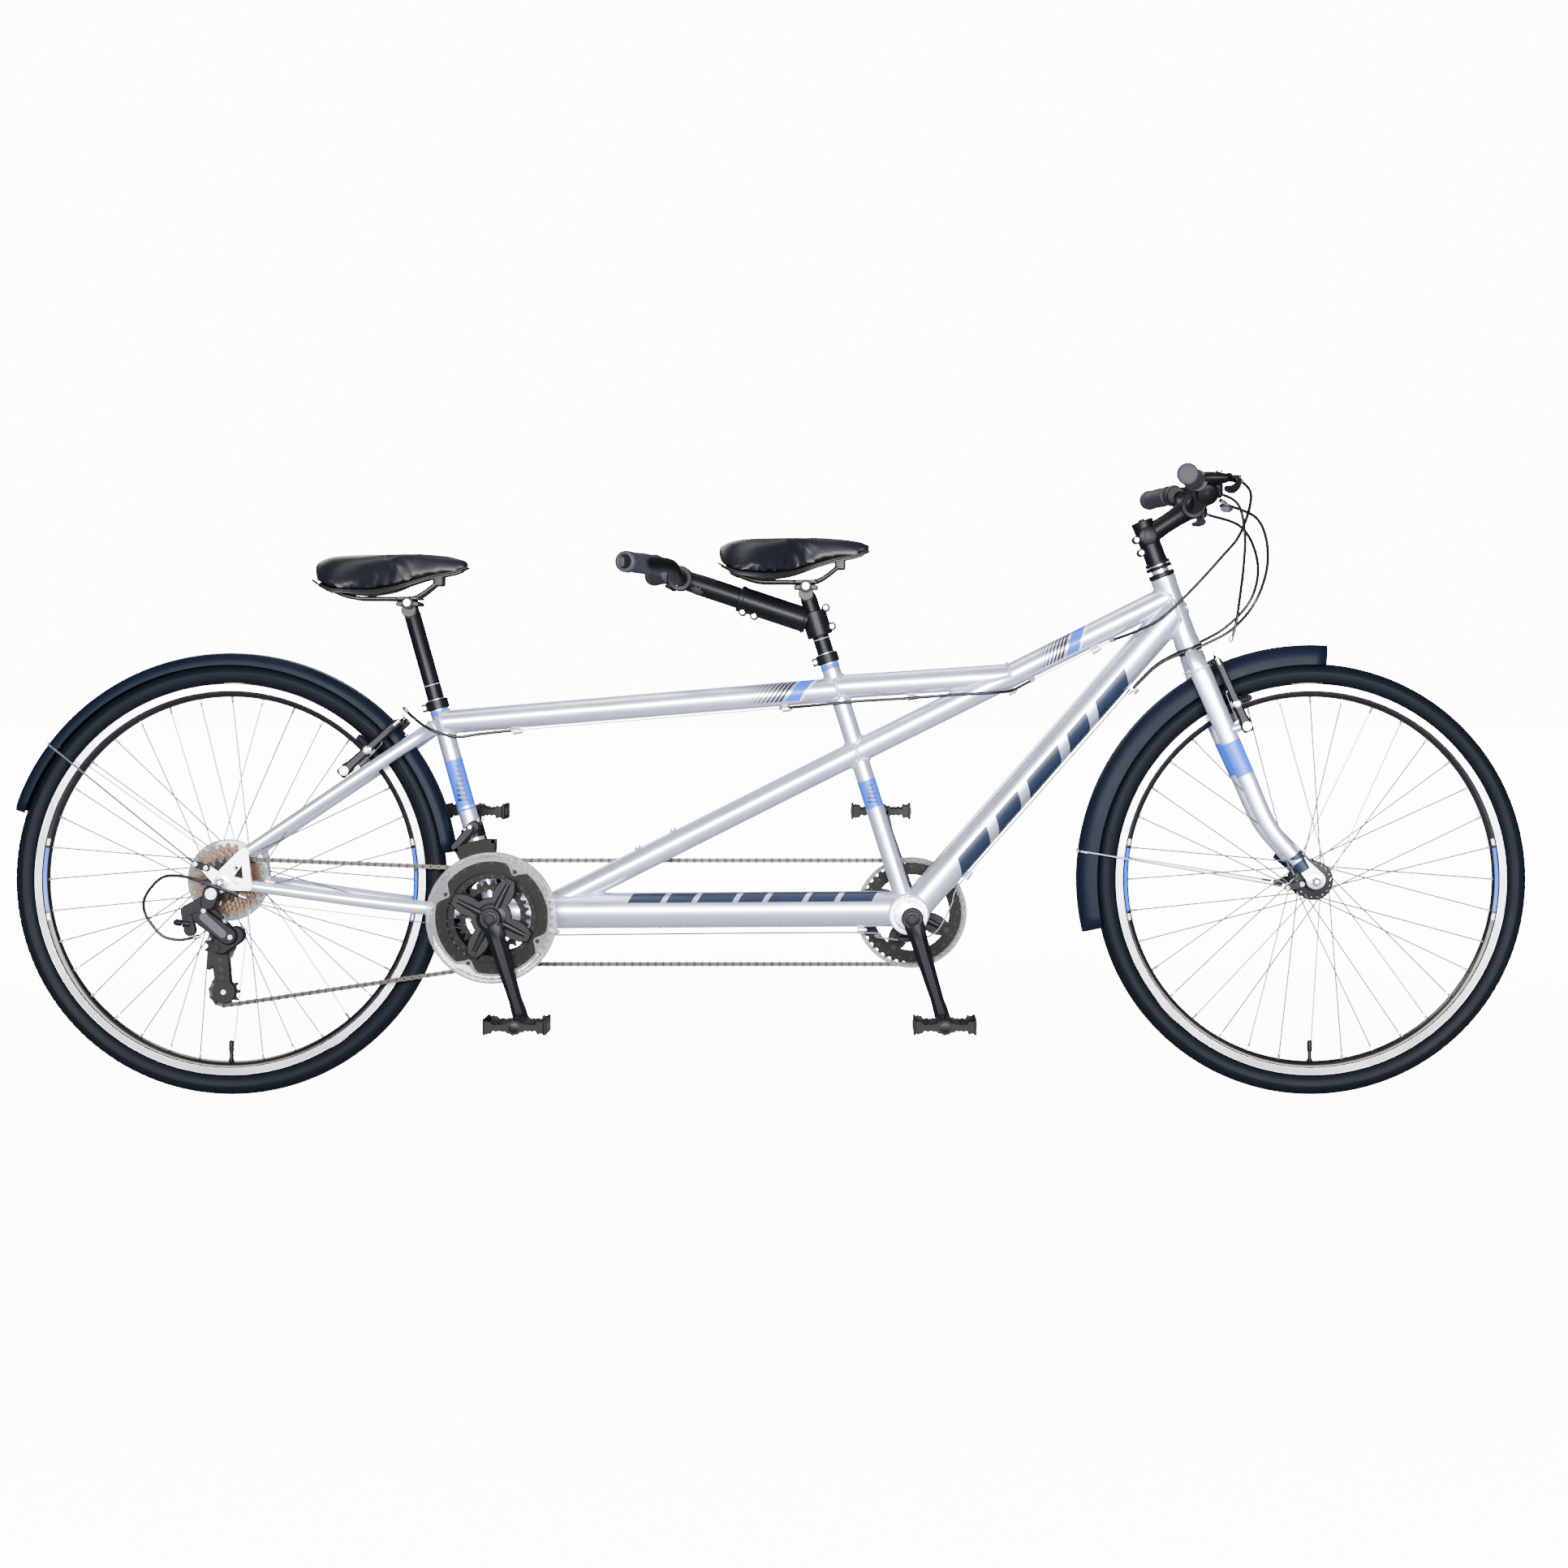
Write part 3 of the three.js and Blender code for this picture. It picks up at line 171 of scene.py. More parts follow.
def sweep(path, radius, across=None, towards=None, sides=16, ring=False):
    """A tube along a path; radius is deep along `towards` and across is its other half width."""
    path = np.asarray(path, float)
    count = len(path)
    radius = np.broadcast_to(np.asarray(radius, float), count)
    across = radius if across is None else np.broadcast_to(np.asarray(across, float), count)
    if ring:
        tangents = np.roll(path, -1, 0) - np.roll(path, 1, 0)
    else:
        tangents = np.gradient(path, axis=0)
    turn = np.arange(sides) * 2 * np.pi / sides
    first, _ = square_to(tangents[0], towards)
    rows = []
    for i in range(count):
        axis = unit(tangents[i])
        wanted = first if towards is None else towards
        first, second = square_to(axis, wanted)
        arms = np.outer(np.cos(turn) * radius[i], first) + np.outer(np.sin(turn) * across[i], second)
        rows.append(path[i] + arms)
    return skin(rows, ring)


def plate(outline, low, high, hole=None, edge=0.5):
    """An outline in X and Z made into a plate from Y low to high, with softened edges."""
    outline = np.asarray(outline, float)
    ahead = np.roll(outline, -1, 0) - np.roll(outline, 1, 0)
    outward = np.stack([ahead[:, 1], -ahead[:, 0]], 1)
    outward /= np.maximum(np.linalg.norm(outward, axis=1, keepdims=True), 1e-9)
    area = np.sum(outline[:, 0] * np.roll(outline[:, 1], -1) - outline[:, 1] * np.roll(outline[:, 0], -1))
    inset = outline - outward * math.copysign(edge, area)

    def at(flat, y):
        return np.stack([flat[:, 0], np.full(len(flat), y), flat[:, 1]], 1)

    rows = [at(inset, low), at(outline, low + edge), at(outline, high - edge), at(inset, high)]
    if hole is None:
        return skin(rows)
    return skin(rows + [at(np.asarray(hole), high), at(np.asarray(hole), low)], ring=True)


def moved(shape, origin, x=LEVEL, y=ACROSS, z=UP):
    """A shape taken from its own axes to an origin and three directions."""
    points, faces = shape
    return np.asarray(origin) + points @ np.array([x, y, z], float), faces


def circle(centre, radius, sides=48, start=0.0, end=2 * np.pi, close=True):
    """Points in X and Z round a circle or an arc."""
    turn = np.linspace(start, end, sides, endpoint=not close)
    return np.stack([centre[0] + radius * np.cos(turn), centre[1] + radius * np.sin(turn)], 1)


def capsule(a, b, radius_a, radius_b, sides=14):
    """The outline round two circles, in X and Z."""
    a, b = np.asarray(a, float), np.asarray(b, float)
    heading = math.atan2(b[1] - a[1], b[0] - a[0])
    lean = math.acos(max(-1, min(1, (radius_a - radius_b) / np.linalg.norm(b - a))))
    one = circle(b, radius_b, sides, heading - lean, heading + lean, False)
    two = circle(a, radius_a, sides, heading + lean, heading + 2 * np.pi - lean, False)
    return np.vstack([one, two])


def flat(point):
    """The X and Z of a point."""
    return np.array([point[0], point[2]])


def block(low, high, round_by=2.0, taper=1.0):
    """A box with rounded upright corners and softened top and bottom edges."""
    low, high = np.asarray(low, float), np.asarray(high, float)
    middle = (low + high) / 2
    half = (high - low) / 2
    soft = min(round_by, *(0.49 * 2 * half))
    loops = []
    for z, inset, size in ((low[2], soft * 0.6, 1.0), (low[2] + soft * 0.6, 0, 1.0),
                           (high[2] - soft * 0.6, 0, taper), (high[2], soft * 0.6, taper)):
        loop = []
        for quarter in range(4):
            sign_x = (1, -1, -1, 1)[quarter]
            sign_y = (1, 1, -1, -1)[quarter]
            for k in range(4):
                angle = (quarter + k / 3) * np.pi / 2
                loop.append([
                    middle[0] + sign_x * (half[0] * size - soft) + (soft - inset) * math.cos(angle),
                    middle[1] + sign_y * (half[1] * size - soft) + (soft - inset) * math.sin(angle),
                    z,
                ])
        loops.append(loop)
    return skin(loops)


class Form:
    """One piece of the bicycle, gathered from closed shapes in several materials."""

    def __init__(self):
        self.points, self.faces, self.marks, self.materials = [], [], [], []
        self.count = 0

    def put(self, material, *shapes):
        if material not in self.materials:
            self.materials.append(material)
        mark = self.materials.index(material)
        for points, faces in shapes:
            self.points.append(points)
            self.faces += [tuple(i + self.count for i in face) for face in faces]
            self.marks += [mark] * len(faces)
            self.count += len(points)

    def build(self, name, body, nodes=(), angle=32):
        mesh = bpy.data.meshes.new(name)
        mesh.from_pydata((np.vstack(self.points) * MM).tolist(), [], self.faces)
        for material in self.materials:
            mesh.materials.append(MATERIALS[material])
        mesh.polygons.foreach_set("material_index", self.marks)
        work = bmesh.new()
        work.from_mesh(mesh)
        bmesh.ops.recalc_face_normals(work, faces=work.faces)
        work.to_mesh(mesh)
        work.free()
        mesh.shade_smooth()
        mesh.set_sharp_from_angle(angle=math.radians(angle))
        piece = bpy.data.objects.new(name, mesh)
        bpy.context.scene.collection.objects.link(piece)
        if nodes:
            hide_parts(*nodes)
        if isinstance(body, str):
            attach(piece, body)
        return piece


def bolt(form, material, centre, axis, radius=4.0, height=3.5, collar=0.0):
    """A socket-head bolt with a hexagonal recess, on an optional washer."""
    centre = np.asarray(centre, float)
    if collar:
        form.put(material, turned([(0, collar), (0.9, collar)], centre, axis, 24))
        centre = centre + unit(axis) * 0.9
    profile = [(0, radius), (height - 0.6, radius), (height, radius - 0.6),
               (height, radius * 0.6, 6), (height * 0.35, radius * 0.56, 6)]
    form.put(material, turned(profile, centre, axis, 24))


def nut(form, material, centre, axis, radius=6.0, height=4.0, stud=0.0):
    """A hexagon nut, with the end of its stud if that shows."""
    profile = [(0, radius, 6), (height - 0.5, radius, 6), (height, radius - 0.9)]
    form.put(material, turned(profile, centre, axis, 24))
    if stud:
        end = [(height - 0.1, stud), (height + stud * 0.7, stud), (height + stud, stud * 0.7)]
        form.put(material, turned(end, centre, axis, 16))


def barrel(path_from, path_to, radius, lip=0.0, sides=20):
    """A short round part between two points, with softened ends and an optional lip at the start."""
    start, end = np.asarray(path_from, float), np.asarray(path_to, float)
    length = np.linalg.norm(end - start)
    soft = min(0.6, radius * 0.3, length * 0.3)
    profile = [(0, radius + lip - soft), (soft, radius + lip)]
    if lip:
        profile += [(length * 0.2, radius + lip), (length * 0.24, radius)]
    profile += [(length - soft, radius), (length, radius - soft)]
    return turned(profile, start, end - start, sides)


# ---------------------------------------------------------------- materials

MATERIALS = {}


def material(name, colour, rough=0.4, metal=0.0, coat=0.0, grain=0.0, grain_size=400.0, bump=0.0,
             shade=0.12, stretch=(1, 1, 1), shine=0.5, **sockets):
    """A finish with uneven colour and roughness, and a fine bump, all from noise over the object."""
    made = bpy.data.materials.new(name)
    made.use_nodes = True
    tree = made.node_tree
    surface = tree.nodes["Principled BSDF"]
    surface.inputs["Metallic"].default_value = metal
    surface.inputs["Coat Weight"].default_value = coat
    surface.inputs["Coat Roughness"].default_value = 0.15
    surface.inputs["Specular IOR Level"].default_value = shine
    for socket, value in sockets.items():
        surface.inputs[socket.replace("_", " ")].default_value = value

    place = tree.nodes.new("ShaderNodeTexCoord")
    scale = tree.nodes.new("ShaderNodeMapping")
    scale.inputs["Scale"].default_value = stretch
    tree.links.new(place.outputs["Object"], scale.inputs["Vector"])

    broad = tree.nodes.new("ShaderNodeTexNoise")
    broad.inputs["Scale"].default_value = 9.0
    broad.inputs["Detail"].default_value = 5.0
    tree.links.new(scale.outputs["Vector"], broad.inputs["Vector"])
    fine = tree.nodes.new("ShaderNodeTexNoise")
    fine.inputs["Scale"].default_value = grain_size
    fine.inputs["Detail"].default_value = 3.0
    tree.links.new(scale.outputs["Vector"], fine.inputs["Vector"])

    tones = tree.nodes.new("ShaderNodeValToRGB")
    low, high = tones.color_ramp.elements
    low.position, high.position = 0.3, 0.7
    low.color = (*[c * (1 - shade) for c in colour], 1)
    high.color = (*[min(1, c * (1 + shade)) for c in colour], 1)
    both = tree.nodes.new("ShaderNodeMath")
    both.operation = "MULTIPLY_ADD"
    both.inputs[1].default_value = grain
    tree.links.new(fine.outputs["Fac"], both.inputs[0])
    tree.links.new(broad.outputs["Fac"], both.inputs[2])
    tree.links.new(both.outputs[0], tones.inputs["Fac"])
    tree.links.new(tones.outputs["Color"], surface.inputs["Base Color"])

    gloss = tree.nodes.new("ShaderNodeMapRange")
    gloss.inputs["To Min"].default_value = max(0.03, rough - 0.1)
    gloss.inputs["To Max"].default_value = min(1.0, rough + 0.1)
    tree.links.new(broad.outputs["Fac"], gloss.inputs["Value"])
    tree.links.new(gloss.outputs["Result"], surface.inputs["Roughness"])

    if bump:
        relief = tree.nodes.new("ShaderNodeBump")
        relief.inputs["Strength"].default_value = bump
        relief.inputs["Distance"].default_value = 0.0004
        tree.links.new(fine.outputs["Fac"], relief.inputs["Height"])
        tree.links.new(relief.outputs["Normal"], surface.inputs["Normal"])
    MATERIALS[name] = made
    return made


def worn(name, bare, sharpness=6.0):
    """Edges rubbed to a lighter tone, where the surface turns sharply."""
    tree = MATERIALS[name].node_tree
    surface = tree.nodes["Principled BSDF"]
    tones = surface.inputs["Base Color"].links[0].from_socket
    bend = tree.nodes.new("ShaderNodeNewGeometry")
    edge = tree.nodes.new("ShaderNodeMapRange")
    edge.inputs["From Min"].default_value = 0.54
    edge.inputs["From Max"].default_value = 0.54 + 1 / sharpness
    tree.links.new(bend.outputs["Pointiness"], edge.inputs["Value"])
    mix = tree.nodes.new("ShaderNodeMix")
    mix.data_type = "RGBA"
    mix.inputs["B"].default_value = (*bare, 1)
    tree.links.new(edge.outputs["Result"], mix.inputs["Factor"])
    tree.links.new(tones, mix.inputs["A"])
    tree.links.new(mix.outputs["Result"], surface.inputs["Base Color"])


def add_materials():
    """Every finish that the pieces use."""
    material("paint", (0.56, 0.60, 0.76), 0.31, 0.85, 0.1, grain=0.5, grain_size=2600, bump=0.05,
             shade=0.05)
    material("weld", (0.54, 0.58, 0.74), 0.38, 0.82, 0.1, grain=0.6, grain_size=900, bump=0.25,
             shade=0.08)
    material("slate_paint", (0.006, 0.011, 0.026), 0.36, grain=0.3, shade=0.12, shine=0.3)
    material("blue_transfer", (0.010, 0.062, 0.44), 0.34, grain=0.4, grain_size=900, shade=0.07,
             shine=0.3)
    material("black_transfer", (0.008, 0.008, 0.014), 0.36, grain=0.4, shine=0.3)
    material("pale_transfer", (0.66, 0.68, 0.78), 0.35, 0.1, grain=0.4, shade=0.05)
    material("alloy", (0.56, 0.57, 0.6), 0.3, 0.95, grain=0.6, grain_size=1200, bump=0.08, shade=0.1)
    material("polished", (0.7, 0.7, 0.72), 0.16, 1.0, grain=0.3, grain_size=700, shade=0.06)
    material("track", (0.7, 0.7, 0.74), 0.2, 0.9, grain=0.4, grain_size=1500, bump=0.12, shade=0.06)
    material("steel_wire", (0.24, 0.27, 0.36), 0.25, 0.9, grain=0.5, grain_size=900, shade=0.1)
    # This dark steel also makes the small dark discs that stand for holes and notches: painted shade.
    material("dark_steel_and_hole_shade", (0.0035, 0.0033, 0.0038), 0.42, grain=0.6, shine=0.1, bump=0.1, shade=0.2)
    material("black_metal_rail", (0.005, 0.005, 0.006), 0.3, 0.1, grain=0.5, bump=0.06, shade=0.2,
             shine=0.25)
    material("black_alloy", (0.0014, 0.0016, 0.0027), 0.38, 0.0, grain=0.6, grain_size=1100, bump=0.08,
             shade=0.25, shine=0.1)
    material("crank_black", (0.0013, 0.0015, 0.0026), 0.34, 0.0, grain=0.5, grain_size=900, bump=0.06,
             shade=0.25, shine=0.1)
    material("black_plastic", (0.0016, 0.0017, 0.0026), 0.45, grain=0.7, grain_size=1600, bump=0.2,
             shade=0.3, shine=0.1)
    material("slate_plastic", (0.016, 0.016, 0.027), 0.4, grain=0.5, grain_size=1500, bump=0.15,
             shine=0.25)
    material("rim_black", (0.002, 0.002, 0.003), 0.24, 0.0, grain=0.4, shade=0.2, shine=0.25)
    material("tyre", (0.0013, 0.0021, 0.0040), 0.55, grain=0.8, grain_size=700, bump=0.3, shade=0.35,
             shine=0.06)
    material("guard", (0.0017, 0.0032, 0.0075), 0.45, grain=0.5, grain_size=1200, bump=0.12, shade=0.25,
             shine=0.05)
    material("grip", (0.016, 0.0155, 0.0235), 0.62, grain=0.8, grain_size=1300, bump=0.4, shade=0.25,
             shine=0.2)
    material("vinyl", (0.0024, 0.0027, 0.0048), 0.38, grain=0.9, grain_size=520, bump=0.42, shade=0.3,
             shine=0.2)
    material("saddle_base", (0.003, 0.003, 0.004), 0.5, grain=0.6, bump=0.2, shade=0.3, shine=0.25)
    material("bronze_clamp", (0.007, 0.0055, 0.0045), 0.38, 0.2, grain=0.6, shine=0.15, bump=0.1,
             shade=0.2)
    material("chain", (0.013, 0.0095, 0.0072), 0.38, 0.5, grain=0.9, grain_size=900, bump=0.15, shade=0.3)
    material("ring", (0.0026, 0.0020, 0.0017), 0.42, grain=0.7, grain_size=800, bump=0.12, shade=0.25,
             shine=0.06)
    material("gold_cog", (0.042, 0.021, 0.009), 0.34, 0.5, grain=0.7, grain_size=900, bump=0.1,
             shade=0.25)
    material("cable", (0.0018, 0.0018, 0.0027), 0.32, grain=0.6, bump=0.1, shade=0.3, shine=0.22)
    material("clear", (0.93, 0.94, 0.97), 0.06, grain=0.2, shade=0.02, Transmission_Weight=0.93, IOR=1.42)
    for name, bare in (("black_alloy", (0.008, 0.008, 0.010)), ("crank_black", (0.008, 0.008, 0.010)),
                       ("gold_cog", (0.10, 0.06, 0.03)), ("chain", (0.03, 0.024, 0.019)),
                       ("alloy", (0.8, 0.8, 0.82))):
        worn(name, bare)


# ---------------------------------------------------------------- frame


def reach(tube, start, heading, fallback):
    """How far a line runs until it meets a tube's surface, or passes it closest."""
    low, high, radius = tube
    axis = unit(high - low)
    offset = start - low
    side = offset - axis * np.dot(offset, axis)
    run = heading - axis * np.dot(heading, axis)
    a, b, c = np.dot(run, run), np.dot(run, side), np.dot(side, side) - radius**2
    if a < 1e-6:
        return fallback
    root = b * b - a * c
    return (-b - math.sqrt(root)) / a if root > 0 else -b / a


def mitred(tube, low_on=None, high_on=None, sides=64):
    """The end loops of a tube that stops on the surfaces of other tubes."""
    low, high, radius = tube
    length = np.linalg.norm(high - low)
    axis = unit(high - low)
    first, second = square_to(axis, ACROSS)
    middle = (low + high) / 2
    loops = [[], []]
    for k in range(sides):
        angle = 2 * np.pi * k / sides
        line = middle + radius * (math.cos(angle) * first + math.sin(angle) * second)
        for loop, sign, other in ((loops[0], -1, low_on), (loops[1], 1, high_on)):
            run = length / 2 if other is None else reach(other, line, sign * axis, length / 2)
            loop.append(line + sign * axis * run)
    return np.array(loops[0]), np.array(loops[1])


def bead(loop, size=3.0, pitch=3.6):
    """A weld bead along a closed loop: overlapping ripples, as a hand welder leaves them."""
    loop = np.asarray(loop, float)
    steps = np.linalg.norm(np.roll(loop, -1, 0) - loop, axis=1)
    total = steps.sum()
    at = np.concatenate([[0], np.cumsum(steps)])
    closed = np.vstack([loop, loop[:1]])
    ripples = int(total / pitch)
    count = ripples * 6
    where = np.arange(count) * total / count
    path = np.stack([np.interp(where, at, closed[:, i]) for i in range(3)], 1)
    phase = np.arange(count) % 6 / 6
    swell = 0.80 + 0.26 * np.sqrt(np.clip(1 - (phase - 0.25) ** 2 * 2.2, 0, 1))
    return sweep(path, size * swell, sides=9, ring=True)


def along_tube(tube, distance):
    """A point on a tube's middle line, this far from its lower end."""
    low, high, _ = tube
    return low + unit(high - low) * distance


def transfer(form, kind, tube, start, end, turn_from, turn_to, slant=0.0, proud=0.22, steps=24):
    """A patch of film on a tube between two distances and two angles; angle 0 faces right, 90 up."""
    low, high, radius = tube
    axis = unit(high - low)
    top, _ = square_to(axis, UP if abs(axis[2]) < 0.8 else -LEVEL)
    rows = []
    for turn in np.radians(np.linspace(turn_from, turn_to, steps)):
        arm = (-ACROSS * math.cos(turn) + top * math.sin(turn)) * (radius + proud)
        shift = slant * math.degrees(turn) / 90
        rows.append([low + axis * (start + shift) + arm, low + axis * (end + shift) + arm])
    form.put(kind, sheet_of(rows))


def cable_stop(form, point, heading, out, size=5.0):
    """A welded-on stop: a slotted barrel on a small foot."""
    heading, out = unit(heading), unit(out)
    point = np.asarray(point, float)
    form.put("weld", sweep([point - out * 7, point - out * 2], [size * 1.1, size * 0.8], sides=12))
    form.put("paint", barrel(point - heading * 6, point + heading * 6, size, 0.5))
    form.put("alloy", barrel(point + heading * 5, point + heading * 10, size * 0.72))


def add_tube(name, tube, low_on, high_on, welds=(True, True), extras=None):
    """A painted frame tube cut to fit its neighbours, with the weld beads that show."""
    form = Form()
    low_loop, high_loop = mitred(tube, low_on, high_on)
    form.put("paint", skin([low_loop, high_loop]))
    for loop, wanted in zip((low_loop, high_loop), welds):
        if wanted:
            form.put("weld", bead(loop))
    if extras:
        extras(form)
    form.build(name + "_painted", "frame", (name,))


def hatching(form, tube, start, bars, length, slant):
    """Thin black bars that thin out along the tube, ending in a blue flag."""
    for k in range(bars):
        width = 4.6 * (k + 1) / bars
        x = start + length * k / bars
        transfer(form, "black_transfer", tube, x, x + width, -38, 78, slant)
    transfer(form, "blue_transfer", tube, start + length + 4, start + length + 26, -38, 78, slant)
    transfer(form, "pale_transfer", tube, start + length + 28, start + length + 31, -38, 78, slant)


def boom_marks(form):
    """A row of slanted dark blocks on the upper half, in place of a name."""
    start = 208
    for width in (62, 50, 66, 48, 64, 52, 61):
        transfer(form, "slate_paint", BOOM, start, start + width - 9, 28, 74, 20)
        start += width


def down_marks(form):
    """A row of large slanted dark blocks along the lower side."""
    start = 120
    for width in (92, 76, 98, 70, 94):
        transfer(form, "slate_paint", DOWN, start, start + width - 22, -76, 4, 24)
        start += width


def under_stops(tube, *distances):
    """A function that puts cable stops below a tube, at these distances along it."""
    def put(form):
        for distance in distances:
            low, high, radius = tube
            axis = unit(high - low)
            down, _ = square_to(axis, -UP)
            point = low + axis * distance + down * (radius + 5)
            cable_stop(form, point, axis, down)
    return put


def seat_cluster(form, tube, post_radius):
    """Seat tube, its collar with a pinch bolt, and a blue strip under the collar."""
    low, high, radius = tube
    axis = unit(high - low)
    length = np.linalg.norm(high - low)
    back, _ = square_to(axis, -LEVEL)
    collar = [(length - 17, radius + 0.4), (length - 16, radius + 3.2), (length - 2, radius + 3.4),
              (length - 0.8, radius + 2.4), (length - 0.8, post_radius + 0.3),
              (length - 17, post_radius + 0.3)]
    form.put("black_alloy", turned(collar, low, axis, 48, ring=True))
    lug = high - axis * 9 + back * (radius + 5.5)
    for side in (-1, 1):
        shape = block((-5, 1.2, -6.5), (5, 7, 6.5), 2)
        points, faces = shape
        form.put("black_alloy", moved((points * [1, side, 1], faces), lug, -back, ACROSS, axis))
    bolt(form, "alloy", lug - ACROSS * 7 + back * 0.5, -ACROSS, 3.6, 3.2)
    nut(form, "alloy", lug + ACROSS * 7 + back * 0.5, ACROSS, 4.0, 3.0)
    transfer(form, "blue_transfer", tube, length - 27, length - 18.5, -180, 180, 0, 0.25, 48)


def add_seat_tubes():
    """The two seat tubes, with their collars and bolts."""
    form = Form()
    low_loop, high_loop = mitred(REAR_SEAT, SHELL_REAR, None)
    form.put("paint", skin([low_loop, high_loop]))
    form.put("weld", bead(low_loop))
    seat_cluster(form, REAR_SEAT, 13.6)
    shell_ring(form, SHELL_REAR, 17.5)
    for start, end in ((176, 180), (183, 261)):
        transfer(form, "blue_transfer", REAR_SEAT, start, end, -180, 180, 0, 0.25, 48)
    for k in range(8):
        transfer(form, "slate_paint", REAR_SEAT, 192 + k * 8, 196 + k * 8, -30, 34 - k * 7, 6, 0.4, 8)
    form.build("rear_seat_tube_painted", "frame", ("rear_seat_tube",))

    form = Form()
    low_loop, high_loop = mitred(FRONT_SEAT, SHELL_FRONT, None)
    form.put("paint", skin([low_loop, high_loop]))
    form.put("weld", bead(low_loop))
    seat_cluster(form, FRONT_SEAT, 13.6)
    shell_ring(form, SHELL_FRONT, 24)
    transfer(form, "blue_transfer", FRONT_SEAT, 182, 228, -180, 180, 0, 0.25, 48)
    for k in range(5):
        transfer(form, "slate_paint", FRONT_SEAT, 190 + k * 7, 193 + k * 7, -28, 28 - k * 7, 6, 0.4, 8)
    form.build("front_seat_tube_painted", "frame", ("front_seat_tube",))


def shell_ring(form, shell, cup):
    """A bottom-bracket shell with faced ends and bearing cups; eight dark discs on each cup are painted
    shade where its notches would be.
    """
    low, high, radius = shell
    width = np.linalg.norm(high - low)
    outside = [(0, radius - 2), (0.8, radius), (width - 0.8, radius), (width, radius - 2)]
    form.put("paint", turned(outside, low, high - low, 64))
    for end, out in ((low, -ACROSS), (high, ACROSS)):
        rim = [(-1, radius - 1.8), (0.6, radius - 1.8), (0.6, cup), (1.6, cup), (2.2, cup - 1),
               (2.2, cup - 5), (-1, cup - 5)]
        form.put("alloy", turned(rim, end, out, 48, ring=True))
        first, second = square_to(out)
        # Dark discs where the cup's notches are: painted shade, no notch is cut.
        for k in range(8):
            angle = 2 * np.pi * k / 8
            spot = end + (cup - 3) * (math.cos(angle) * first + math.sin(angle) * second) + out * 2.0
            form.put("dark_steel_and_hole_shade", turned([(0, 1.5), (0.5, 1.3)], spot, out, 12))


def add_main_frame():
    """The seat tubes, the straight tubes between them, and the head tube."""
    add_seat_tubes()
    add_tube("rear_top_tube", REAR_TOP, REAR_SEAT, FRONT_SEAT, extras=lambda f: (
        hatching(f, REAR_TOP, 500, 9, 62, 24), under_stops(REAR_TOP, 118, 556)(f)))
    add_tube("front_top_tube", FRONT_TOP, FRONT_SEAT, DIAGONAL_FRONT, extras=under_stops(FRONT_TOP, 118))
    add_tube("diagonal_tube_front", DIAGONAL_FRONT, FRONT_SEAT, HEAD, extras=lambda f: (
        hatching(f, DIAGONAL_FRONT, 320, 9, 58, 24), under_stops(DIAGONAL_FRONT, 268, 420)(f)))
    add_tube("diagonal_tube_rear", DIAGONAL_REAR, FRONT_SEAT, BOOM, extras=bottle_bosses)
    add_tube("down_tube", DOWN, SHELL_FRONT, HEAD,
             extras=lambda f: (down_marks(f), under_stops(DOWN, 110)(f)))
    add_tube("boom_tube", BOOM, SHELL_REAR, SHELL_FRONT, extras=lambda f: (
        boom_marks(f), under_stops(BOOM, 92, 590)(f)))
    add_head_tube()


def bottle_bosses(form):
    """The two threaded bosses on the rear diagonal tube."""
    low, high, radius = DIAGONAL_REAR
    axis = unit(high - low)
    above, _ = square_to(axis, UP)
    for distance in (323, 387):
        foot = low + axis * distance + above * (radius - 1)
        form.put("weld", turned([(0, 7.2), (1.6, 6.2), (2, 5)], foot, above, 24))
        form.put("alloy", turned([(1.5, 4.6), (4.6, 4.6), (5, 4), (5, 2.4), (3, 2.3)], foot, above, 24))


def add_head_tube():
    """The head tube, its two bearing cups and the plain round badge."""
    low, _, radius = HEAD
    form = Form()
    flare = [(0, radius + 1.2), (9, radius + 1.2), (16, radius), (104, radius), (111, radius + 1.2),
             (120, radius + 1.2)]
    form.put("paint", turned(flare, low, STEER_UP, 64))
    for start, finish in ((-8.5, 0.4), (120, 128.5)):
        cup = [(start, 17), (start, 19.5), (start + 2, 21.6), (finish - 1.5, 21.6), (finish, 20.4),
               (finish, 17)]
        form.put("black_alloy", turned(cup, low, STEER_UP, 64, ring=True))
    badge = low + STEER_UP * 62 + STEER_FORE * (radius + 0.1)
    form.put("polished",
             turned([(-1.2, 11), (0.3, 11), (0.9, 9.8), (0.9, 8.4), (0.5, 8.1)], badge, STEER_FORE, 40))
    form.put("blue_transfer", turned([(0, 7.6), (0.9, 7.4)], badge, STEER_FORE, 40))
    form.build("head_tube_painted", "frame", ("head_tube",))


def stay_path(points):
    """A smooth path through the points of a stay."""
    return smooth([np.array(p, float) for p in points], 9)


